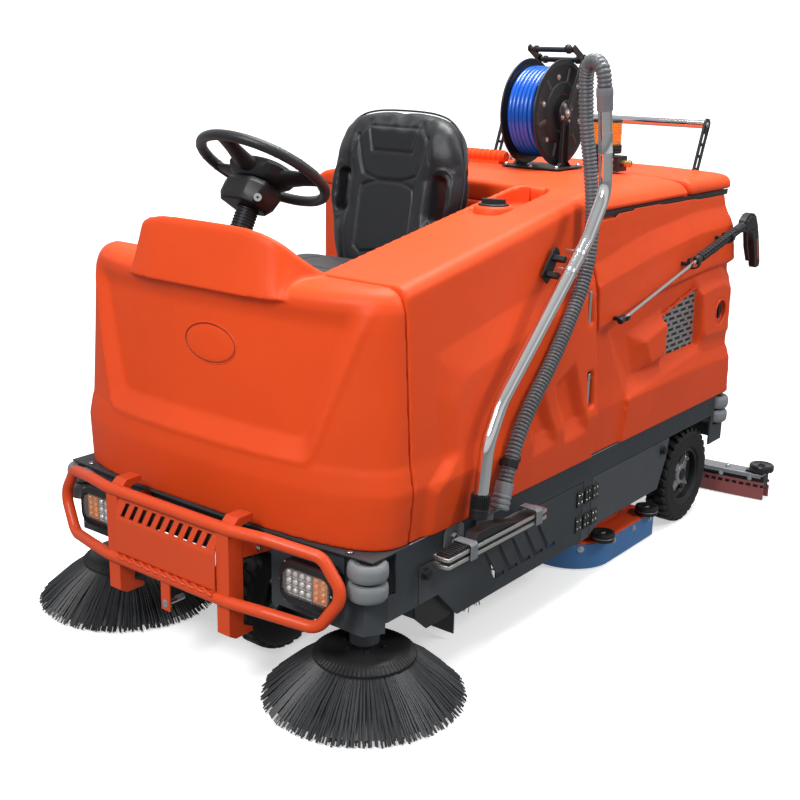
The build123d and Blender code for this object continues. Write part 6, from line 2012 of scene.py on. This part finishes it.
# flap behind the notch of the front door
b = Build()
for sx in (1, -1):
    b.prism([V(sx * 560, s, z) for s, z in ((2296, 258), (2372, 258), (2462, 172), (2450, 168), (2352, 168), (2300, 214))], (sx * .004, 0, 0))
b.done("notch_flap", "black_steel", ROOT, "dark_steel", bevel=.001)
# broom chamber: folded sheet with end plates, the rear wall ending above the doors' edge
b = Build()
b.prism([V(-470, s, z) for s, z in ((2610, 20), (2610, 300), (2660, 372), (3080, 372), (3118, 320), (3118, 118), (3112, 118),
                                    (3112, 318), (3078, 366), (2663, 366), (2616, 298), (2616, 20))], (.94, 0, 0))
slot_arc = [(2800 + 26 * math.cos(math.radians(a)), 151 + 26 * math.sin(math.radians(a))) for a in range(0, 181, 15)]
for x0 in (-469.4, 464.4):
    b.prism([V(x0, s, z) for s, z in [(2611, 121), (2611, 299.5), (2660.5, 371), (3079.5, 371), (3117, 319.5), (3117, 121),
                                      (2826, 121)] + slot_arc + [(2774, 121)]], (.005, 0, 0))
for sx in (-1, 1):
    for s in (2700, 3040):
        b.box(V(sx * 330, s, 385), (.030, .030, .030))
chamber = b.done("broom_chamber", "chassis", ROOT, "dark_steel", bevel=.0008)
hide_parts("broom_housing")

# ------------------------------------------------------------------ scrub deck
deck = moulded("scrub_cover", ["scrub_deck"], voxel=0.0066, smooth=5, keep=0.5, mat="orange", body="scrub_deck")
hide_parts("scrub_deck")


def deck_line(t=0.0, w=548):
    """Points along the skirt's front and sides at its outer face."""
    return [(-w, 3712), (-w, 3352), (-w + 10, 3326), (-w + 45, 3280), (-w + 80, 3262), (-410, 3240), (-390, 3236), (390, 3236), (410, 3240),
            (w - 80, 3262), (w - 45, 3280), (w - 10, 3326), (w, 3352), (w, 3712)]


b = Build()
line_o, line_i = [], []
for sg in (-1, 1):
    arc_o = [(sg * (398 + 150 * math.cos(t)), 3386 - 150 * math.sin(t)) for t in [math.pi / 2 * i / 14 for i in range(15)]]
    arc_i = [(sg * (398 + 144 * math.cos(t)), 3386 - 144 * math.sin(t)) for t in [math.pi / 2 * i / 14 for i in range(15)]]
    arc_o, arc_i = [(sg * 548, 3711)] + arc_o, [(sg * 542, 3705)] + arc_i
    line_o += arc_o if sg < 0 else arc_o[::-1]
    line_i += arc_i if sg < 0 else arc_i[::-1]
nl = len(line_o)
k_ = [V(x, s, z) for z in (4, 90) for x, s in line_o + line_i]
fs_ = []
for i in range(nl):
    j = (i + 1) % nl
    fs_ += [(i, j, 2 * nl + j, 2 * nl + i), (nl + i, 3 * nl + i, 3 * nl + j, nl + j), (i, nl + i, nl + j, j), (2 * nl + i, 2 * nl + j, 3 * nl + j, 3 * nl + i)]
b.add(k_, fs_)
sk_ = b.done("skirt_sheet", "blue_rubber", "scrub_deck", "blue_rubber", bevel=.0012, smooth=30)
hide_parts("scrub_skirt")
b = Build()
for x, s, nx, ny in [(548, 3420, 1, 0), (548, 3560, 1, 0), (548, 3680, 1, 0), (503, 3280, .71, -.71), (300, 3236, 0, -1), (100, 3236, 0, -1),
                     (-100, 3236, 0, -1), (-300, 3236, 0, -1), (-503, 3280, -.71, -.71), (-548, 3420, -1, 0), (-548, 3560, -1, 0),
                     (-548, 3680, -1, 0)]:
    b.bolt(V(x, s, 74), (nx, ny, 0), .0075, .005)
b.done("skirt_bolts", "steel", "scrub_deck", "blue_rubber", smooth=32)
for sx in (1, -1):
    for s in (3345, 3655):
        c = V(sx * 545, s, 0)
        b = Build()
        b.lathe(c, Z, [(0, .0985), (.030, .0985), (.0385, .100), (.0400, .103), (.0400, .1105), (.0388, .1118), (.0388, .1142), (.0400, .1155),
                       (.0400, .1235), (.0385, .1270), (.030, .1282), (.026, .1262), (0, .1262)], 48)
        dr = b.done("deck_roller_%d_%d" % (sx, s), "black_plastic", "scrub_deck", "black_plastic", smooth=32)
        if sx == 1 and s == 3345:
            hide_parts("deck_rollers")
        b = Build()
        b.ring(c, Z, [(.0384, .1120), (.0397, .1120), (.0397, .1140), (.0384, .1140)], 48)
        b.done("deck_roller_band_%d_%d" % (sx, s), "hub", "scrub_deck", "black_plastic", smooth=40)
        b = Build()
        b.bolt(V(sx * 545, s, 126), (0, 0, 1), .008, .0022)
        b.done("deck_roller_bolt_%d_%d" % (sx, s), "steel", "scrub_deck", "black_plastic", smooth=32)

# ------------------------------------------------------------------ squeegee
def bow(x, d):
    """Station of the bowed line at X mm, set back by d mm."""
    R_ = (713 ** 2 + 46 ** 2) / (2 * 46)
    return 4283 + R_ - math.sqrt(R_ * R_ - x * x) + d


def bar(b, x0, x1, d0, d1, z0, z1, n=60):
    rows = []
    for i in range(n + 1):
        x = x0 + (x1 - x0) * i / n
        rows.append([V(x, bow(x, d0), z0), V(x, bow(x, d1), z0), V(x, bow(x, d1), z1), V(x, bow(x, d0), z1)])
    plate(b, rows)


b = Build()
bar(b, -707, 707, -34, 34, 96, 104)
bar(b, -700, 700, -35, -31, 88, 104)
bar(b, -700, 700, 31, 35, 88, 104)
b.done("squeegee_top", "hub", "squeegee", "black_steel", bevel=.0012)
b = Build()
bar(b, -709, 709, -23, 23, 44, 96)
for px in (-190, 178):
    b.prism([V(px, s, z) for s, z in ((4290, 104), (4290, 128), (4110, 268), (4090, 268), (4082, 252), (4090, 236), (4104, 234), (4262, 104))], (.012, 0, 0))
b.ring(V(-200, 4098, 252), XA, [(.009, 0), (.017, 0), (.017, .400), (.009, .400)], 36)
for sx in (-1, 1):
    b.box(V(sx * 672, 4319, 108), (.070, .042, .007))
    b.rod(V(sx * 690, 4321, 105), V(sx * 690, 4321, 143), .008)
sqb = b.done("squeegee_frame", "black_steel", "squeegee", "black_steel", bevel=.0012)
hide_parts("squeegee_body")
# blades with a row of slots along the foot
b = Build()
for d0, d1 in ((-30, -25), (25, 30)):
    bar(b, -713, 713, d0, d1, 3, 50, 80)
    bar(b, -713, 713, d0, d1, 62, 72, 80)
    x = -713
    while x < 712:
        x1 = min(713, x + 9)
        rows = [[V(xx, bow(xx, d0), 50), V(xx, bow(xx, d1), 50), V(xx, bow(xx, d1), 62), V(xx, bow(xx, d0), 62)] for xx in (x, x1)]
        plate(b, rows)
        x += 27
sqbl = b.done("squeegee_rubber", "red_rubber", "squeegee", "red_rubber", bevel=.0004, segs=1)
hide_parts("squeegee_blades")
b = Build()
for d in (-32.5, 32.5):
    for i in range(13):
        x = -660 + 110 * i
        b.bolt(V(x, bow(x, d * 1.08), 84), (0, -1 if d < 0 else 1, 0), .006, .005)
for i in range(9):
    x = -560 + 140 * i
    b.bolt(V(x, bow(x, 0), 104), (0, 0, 1), .008, .007)
b.done("squeegee_bolts", "steel", "squeegee", "red_rubber", smooth=32)
b = Build()
for sx in (-1, 1):
    c = V(sx * 690, 4321, 0)
    b.lathe(c, Z, [(0, .1125), (.036, .1125), (.0435, .1145), (.0458, .119), (.0458, .1335), (.0435, .138), (.036, .140), (.030, .1375), (.014, .1375),
                   (.014, .1400), (0, .1400)], 56)
sqr = b.done("squeegee_end_rollers", "lamp_black", "squeegee", "black_plastic", smooth=35)
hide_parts("squeegee_rollers")

# ------------------------------------------------------------------ disc brushes and main broom


def disc(sx, side):
    body = "disc_brush_" + side
    c = V(sx * 268, 3474, 0)
    b = Build()
    b.lathe(c, Z, [(.022, .0465), (.218, .0465), (.224, .050), (.224, .0545), (.216, .0580), (.022, .0580)], 72)
    for i in range(8):
        t = math.pi / 4 * i
        b.box(c + Vector((.12 * math.cos(t), .12 * math.sin(t), .0582)), (.17, .010, .003),
              (Vector((math.cos(t), math.sin(t), 0)), Vector((-math.sin(t), math.cos(t), 0)), Z))
    b.done(body + "_plate", "black_plastic", body, "bristle", bevel=.0008, smooth=35)
    r_ = random.Random(31 + sx)
    b = Build()
    for rr_, m in ((.216, 130), (.202, 120), (.185, 105), (.165, 95), (.145, 84), (.122, 70), (.100, 58), (.078, 44)):
        for i in range(m):
            t = 2 * math.pi * (i + r_.uniform(-.3, .3)) / m
            a = c + Vector((rr_ * math.cos(t), rr_ * math.sin(t), .0470))
            e = c + Vector(((rr_ + .008) * math.cos(t), (rr_ + .008) * math.sin(t), .0038 + r_.uniform(0, .002)))
            b.cyl(e, a, .0032, n=5)
    ob = b.done(body + "_bristles", "bristle", body, "bristle", smooth=60)
    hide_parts(body)


disc(1, "left")
disc(-1, "right")
r_ = random.Random(77)
b = Build()
bc_ = V(0, 2800, 151)
b.rod(V(-458, 2800, 151), V(458, 2800, 151), .0178)
b.lathe(V(-421, 2800, 151), XA, [(0, 0), (.075, 0), (.078, .003), (.078, .839), (.075, .842), (0, .842)], 48)
b.done("broom_core", "black_plastic", "main_broom", "bristle", smooth=35)
b = Build()
for k in range(2600):
    x = r_.uniform(-.412, .412)
    row = r_.randrange(14)
    t = 2 * math.pi * row / 14 + x * 2.2 + r_.uniform(-.05, .05)
    d = Vector((0, math.cos(t), math.sin(t)))
    e = bc_ + Vector((x, 0, 0)) + d * (.1465 - r_.uniform(0, .004)) + Vector((r_.uniform(-.006, .006), 0, 0))
    b.cyl(bc_ + Vector((x, 0, 0)) + d * .074, e, .0016, .0012, n=4)
mb = b.done("broom_bristles", "bristle", "main_broom", "bristle", smooth=60)
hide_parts("main_broom")
# ------------------------------------------------------------------ seat: padded pieces settled as cloth under pressure


def swell(me, name, cap, voxel=0.0055, pressure=4.0, steps=20):
    """Inflates a closed form as cloth. The first frame's places bound how far a point may move."""
    ob = bpy.data.objects.new(name + "_sim", me)
    scene.collection.objects.link(ob)
    rm = ob.modifiers.new("r", "REMESH")
    rm.mode = "VOXEL"
    rm.voxel_size = voxel
    me = baked(ob)
    ob = bpy.data.objects.new(name + "_sim", me)
    scene.collection.objects.link(ob)
    rest = [v.co.copy() for v in me.vertices]
    cl = ob.modifiers.new("cloth", "CLOTH")
    cs = cl.settings
    cs.quality = 5
    cs.mass = 0.35
    cs.tension_stiffness = 22
    cs.compression_stiffness = 22
    cs.shear_stiffness = 12
    cs.bending_stiffness = 1.2
    cs.use_pressure = True
    cs.uniform_pressure_force = pressure
    cs.effector_weights.gravity = 0.0
    cl.collision_settings.use_self_collision = False
    cl.collision_settings.use_collision = False
    cl.point_cache.frame_start = 1
    cl.point_cache.frame_end = steps
    for fr in range(1, steps + 1):
        scene.frame_set(fr)
    dg = bpy.context.evaluated_depsgraph_get()
    out = bpy.data.meshes.new_from_object(ob.evaluated_get(dg))
    scene.frame_set(1)
    for v, r in zip(out.vertices, rest):
        d = v.co - r
        if d.length > cap:
            v.co = r + d * (cap / d.length)
    bpy.data.objects.remove(ob)
    return out


def soften(me, name, iterations=6, factor=0.5, keep=1.0):
    ob = bpy.data.objects.new(name + "_s", me)
    scene.collection.objects.link(ob)
    sm = ob.modifiers.new("s", "SMOOTH")
    sm.factor = factor
    sm.iterations = iterations
    if keep < 1:
        dc = ob.modifiers.new("d", "DECIMATE")
        dc.ratio = keep
    return baked(ob)


def subdivided(me, name):
    ob = bpy.data.objects.new(name + "_d", me)
    scene.collection.objects.link(ob)
    sb_ = ob.modifiers.new("d", "SUBSURF")
    sb_.levels = 1
    sb_.render_levels = 1
    return baked(ob)


def thinned(me, name, keep):
    """Fewer triangles, the form kept."""
    ob = bpy.data.objects.new(name + "_t", me)
    scene.collection.objects.link(ob)
    dc = ob.modifiers.new("d", "DECIMATE")
    dc.ratio = keep
    return baked(ob)


def seg_dist(p, poly, closed=False):
    """Distance from a flat point to a run of lines."""
    best = 1e9
    n = len(poly)
    for i in range(n if closed else n - 1):
        a_, b_ = poly[i], poly[(i + 1) % n]
        dx, dy = b_[0] - a_[0], b_[1] - a_[1]
        t = max(0, min(1, ((p[0] - a_[0]) * dx + (p[1] - a_[1]) * dy) / max(1e-9, dx * dx + dy * dy)))
        d = math.hypot(p[0] - a_[0] - dx * t, p[1] - a_[1] - dy * t)
        best = min(best, d)
    return best


def poly_arc(p0, p1, bulge, n=14):
    """A shallow arc between two flat points, bulge sideways in the same units."""
    out = []
    dx, dy = p1[0] - p0[0], p1[1] - p0[1]
    L = math.hypot(dx, dy)
    for i in range(n + 1):
        t = i / n
        k = 4 * t * (1 - t) * bulge
        out.append((p0[0] + dx * t - dy / L * k, p0[1] + dy * t + dx / L * k))
    return out


lean = math.radians(10)
bo = V(0, 2822, 1020)
bx, bz = Vector((1, 0, 0)), Vector((0, math.sin(lean), math.cos(lean)))
bn = Vector((0, -math.cos(lean), math.sin(lean)))        # out of the front face


def bp(x, y, h=0.0):
    """A point on the seat back from across, up and out of its face, in mm."""
    return bo + bx * (x / 1000) + bz * (y / 1000) + bn * (h / 1000)


def back_half_width(y):
    pts = [(-66, 150), (-40, 176), (0, 196), (60, 219), (150, 241), (230, 248), (310, 240), (370, 224), (410, 196), (436, 158), (450, 112), (457, 60), (458, 0)]
    if y >= 458:
        return 0
    for (y0, w0), (y1, w1) in zip(pts, pts[1:]):
        if y <= y1:
            t = (y - y0) / (y1 - y0)
            if w1 < 120:
                return w1 + (w0 - w1) * math.sqrt(max(0, 1 - t * t)) if w1 == 0 else w0 + (w1 - w0) * t
            return w0 + (w1 - w0) * t
    return 0


# outline of the shell as points, right side up then mirrored
side_pts = [(150, -62), (176, -40), (197, 0), (219, 60), (240, 150), (248, 230), (242, 300), (228, 362), (204, 408), (166, 438), (116, 452), (60, 457), (0, 458)]


def catmull(pts, k=6):
    out = []
    n = len(pts)
    for i in range(n - 1):
        p0, p1, p2, p3 = pts[max(0, i - 1)], pts[i], pts[i + 1], pts[min(n - 1, i + 2)]
        for j in range(k):
            t = j / k
            out.append(tuple(0.5 * ((2 * p1[c]) + (-p0[c] + p2[c]) * t + (2 * p0[c] - 5 * p1[c] + 4 * p2[c] - p3[c]) * t * t +
                                    (-p0[c] + 3 * p1[c] - 3 * p2[c] + p3[c]) * t ** 3) for c in (0, 1)))
    out.append(pts[-1])
    return out


half_o = catmull(side_pts, 6)
outline = half_o + [(-x, y) for x, y in half_o[::-1][1:]]
b = Build()
cxm, cym = 0, 190
rows = []
for h, k in ((-104, .900), (-100, .945), (-88, .975), (-60, .985), (-30, .985), (-14, .965), (-6, .93), (-3, .885)):
    rows.append([bp(cxm + (x - cxm) * k, cym + (y - cym) * k, h) for x, y in outline])
plate_rows(b, rows[::-1])
bk = temp_ob("back_start", b.v, b.f)
# hand openings through both sides and dark pockets in the side faces
for sx in (-1, 1):
    g_ = Build()
    pts_ = []
    for i in range(24):
        t = 2 * math.pi * i / 24
        x, y = sx * 192 + 24 * math.cos(t), 205 + (50 if math.sin(t) > 0 else -50) + 24 * math.sin(t)
        pts_.append(bp(x, y, 60))
    g_.prism(pts_, bn * -.24)
    h_ = temp_ob("h", g_.v, g_.f)
    md = bk.modifiers.new("b", "BOOLEAN")
    md.operation = "DIFFERENCE"
    md.solver = "EXACT"
    md.object = h_
me = baked(bk)
for o_ in [o for o in scene.objects if o.name.startswith("h") and o.type == "MESH" and o.parent is None and o.name.split(".")[0] == "h"]:
    hm = o_.data
    bpy.data.objects.remove(o_)
    bpy.data.meshes.remove(hm)
me = swell(me, "seat_back", 0.016, voxel=0.0060)
me = soften(me, "seat_back", 16)
me = subdivided(me, "seat_back")
# seams and channels, pressed in after the swelling
top_trap = [(-92, 402), (92, 402), (74, 330), (-74, 330), (-92, 402)]
curve_seam = [(-130, 372), (-112, 300), (-98, 262)] + poly_arc((-98, 262), (98, 262), -20)[1:] + [(112, 300), (130, 372)]
low_panel = poly_arc((-96, 224), (96, 224), 22) + [(100, 190), (100, 40), (78, 22)] + poly_arc((78, 22), (-78, 22), -8)[1:] + [(-100, 40), (-100, 190), (-96, 224)]
low_edge = poly_arc((-110, -20), (110, -20), 14)
bolster = []
for sx in (-1, 1):
    bolster.append([(sx * 136, -50), (sx * 150, 60), (sx * 156, 200), (sx * 152, 300), (sx * 132, 372), (sx * 96, 414)])


def up_local(v):
    d = v - bo
    return d.dot(bx) * 1000, d.dot(bz) * 1000, d.dot(bn) * 1000


for v in me.vertices:
    x, y, h = up_local(v.co)
    if h > -42:
        # dished middle between the bolsters
        wd_ = max(0.0, 1 - (abs(x) / 150) ** 4) * max(0.0, 1 - ((y - 190) / 260) ** 4)
        push = -15.0 * wd_
        for poly, depth, wid in ((top_trap, 4.5, 5.0), (curve_seam, 4.5, 5.0), (low_panel, 4.5, 5.0), (low_edge, 4, 5)):
            d = seg_dist((x, y), poly)
            if d < wid * 2.6:
                push -= depth * math.exp(-(d / wid) ** 2)
        for poly in bolster:
            d = seg_dist((x, y), poly)
            push -= 5.0 * math.exp(-(d / 9) ** 2)
        # rounded lip round each opening
        d = max(0, math.hypot(abs(x) - 192, max(0, abs(y - 205) - 50)) - 24)
        push += 3.0 * math.exp(-((d - 9) / 6) ** 2)
        v.co += bn * (push / 1000)
    elif -86 < h < -42 and abs(x) > 190 and 120 < y < 330:
        # pocket in the side face
        k = math.exp(-((h + 64) / 13) ** 4) * math.exp(-((y - 225) / 78) ** 6)
        v.co -= bx * (math.copysign(1, x) * .014 * k)
me = thinned(me, "seat_back", 0.5)
me.materials.clear()
sb1 = finish_mesh("seat_back_pad", me, "vinyl", ROOT, smooth=0)
me.shade_smooth()
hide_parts("seat_back")
# piping round the edge of the back
b = Build()
half_p = catmull([(x * .992, cym + (y - cym) * .992) for x, y in side_pts], 4)
pl = half_p + [(-x, y) for x, y in half_p[::-1][1:]]
b.tube([bp(x * 1.0, y, -46) for x, y in pl], .0032, 8)
b.done("seat_back_piping", "vinyl", ROOT, "black_vinyl", smooth=60)

# seat cushion: crowned pad with raised side bolsters
b = Build()


def cush(k, z, dx=0.0):
    out = []
    for i in range(88):
        t = 2 * math.pi * i / 88
        ct, sn = math.cos(t), math.sin(t)
        x = 232 * k * math.copysign(abs(ct) ** .42, ct)
        y = 192 * k * math.copysign(abs(sn) ** .42, sn)
        x *= 1 - .05 * math.sin(t * 1) ** 2 * 0
        out.append(V(x, 2596 + y, z))
    return out


rows = [cush(.93, 927), cush(.985, 936), cush(.995, 962), cush(.985, 992), cush(.95, 1012), cush(.88, 1020), cush(.6, 1023), cush(.2, 1024)]
plate_rows(b, rows)
cu = temp_ob("cush_start", b.v, b.f)
me = baked(cu)
me = swell(me, "seat_cushion", 0.022, voxel=0.0060)
me = soften(me, "seat_cushion", 9)
me = subdivided(me, "seat_cushion")
seat_seam = [(-118, 2430), (-122, 2600), (-104, 2742)] + poly_arc((-104, 2742), (104, 2742), 12)[1:] + [(122, 2600), (118, 2430)]
cross_ = poly_arc((-120, 2560), (120, 2560), -14)
for v in me.vertices:
    x, s, z = v.co.x * 1000, (v.co.y + MID) * 1000, v.co.z * 1000
    if z < 928:
        v.co.z = .928
    if z > 985:
        push = 12 * ramp01((abs(x) - 120) / 60) - 4
        push *= ramp01((1 - abs(s - 2596) / 200) * 4)
        for poly in (seat_seam, cross_):
            d = seg_dist((x, s), poly)
            if d < 16:
                push -= 5 * math.exp(-(d / 5.5) ** 2)
        v.co.z = min(1.040, v.co.z + push / 1000)
me = thinned(me, "seat_cushion", 0.5)
me.materials.clear()
sc1 = finish_mesh("seat_cushion_pad", me, "vinyl", ROOT, smooth=0)
me.shade_smooth()
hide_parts("seat_cushion")
b = Build()
pp = []
for i in range(88):
    t = 2 * math.pi * i / 88
    ct, sn = math.cos(t), math.sin(t)
    pp.append(V(237 * math.copysign(abs(ct) ** .42, ct), 2596 + 197 * math.copysign(abs(sn) ** .42, sn), 964))
b.loop(pp, .0032, 8)
b.done("seat_cushion_piping", "vinyl", ROOT, "black_vinyl", smooth=60)

# brackets that carry the seat back on the seat base
b = Build()
for x in (-134, 134):
    p1, p2, p3 = bp(0, 150, -112), bp(0, 150, -101), bp(0, -52, -60)
    side_ = [(2838, 925), (3000, 925), (3000, 933), (2968, 990)]
    pts_ = [V(x, s_, z_) for s_, z_ in side_] + [Vector((x / 1000, q.y, q.z)) for q in (p1, p2, p3)] + [V(x, 2838, 944)]
    b.prism(pts_, (.005, 0, 0))
    b.prism([V(x - 14, s_, z_) for s_, z_ in ((2832, 925), (3004, 925), (3004, 929), (2832, 929))], (.033, 0, 0))
    for s_ in (2850, 2986):
        b.bolt(V(x - 6, s_, 929), (0, 0, 1), .0065, .0045)
b.done("seat_back_brackets", "black_steel", ROOT, "black_steel", bevel=.0010, smooth=35)
# ribbed rubber mat on the step beside the seat base
b = Build()
b.prism([V(x, 2296, z) for x, z in ((-553, 444.2), (-553, 446.5), (-551, 447.5), (-311, 447.5), (-309, 446.5), (-309, 444.2))], (0, .816, 0))
for i in range(10):
    x = -541 + i * 25.2
    b.prism([V(x - 5, 2304, 447.3), V(x - 3.2, 2304, 449.6), V(x + 3.2, 2304, 449.6), V(x + 5, 2304, 447.3)], (0, .800, 0))
b.done("step_mat", "tyre", ROOT, "black_plastic", bevel=.0005, smooth=35)
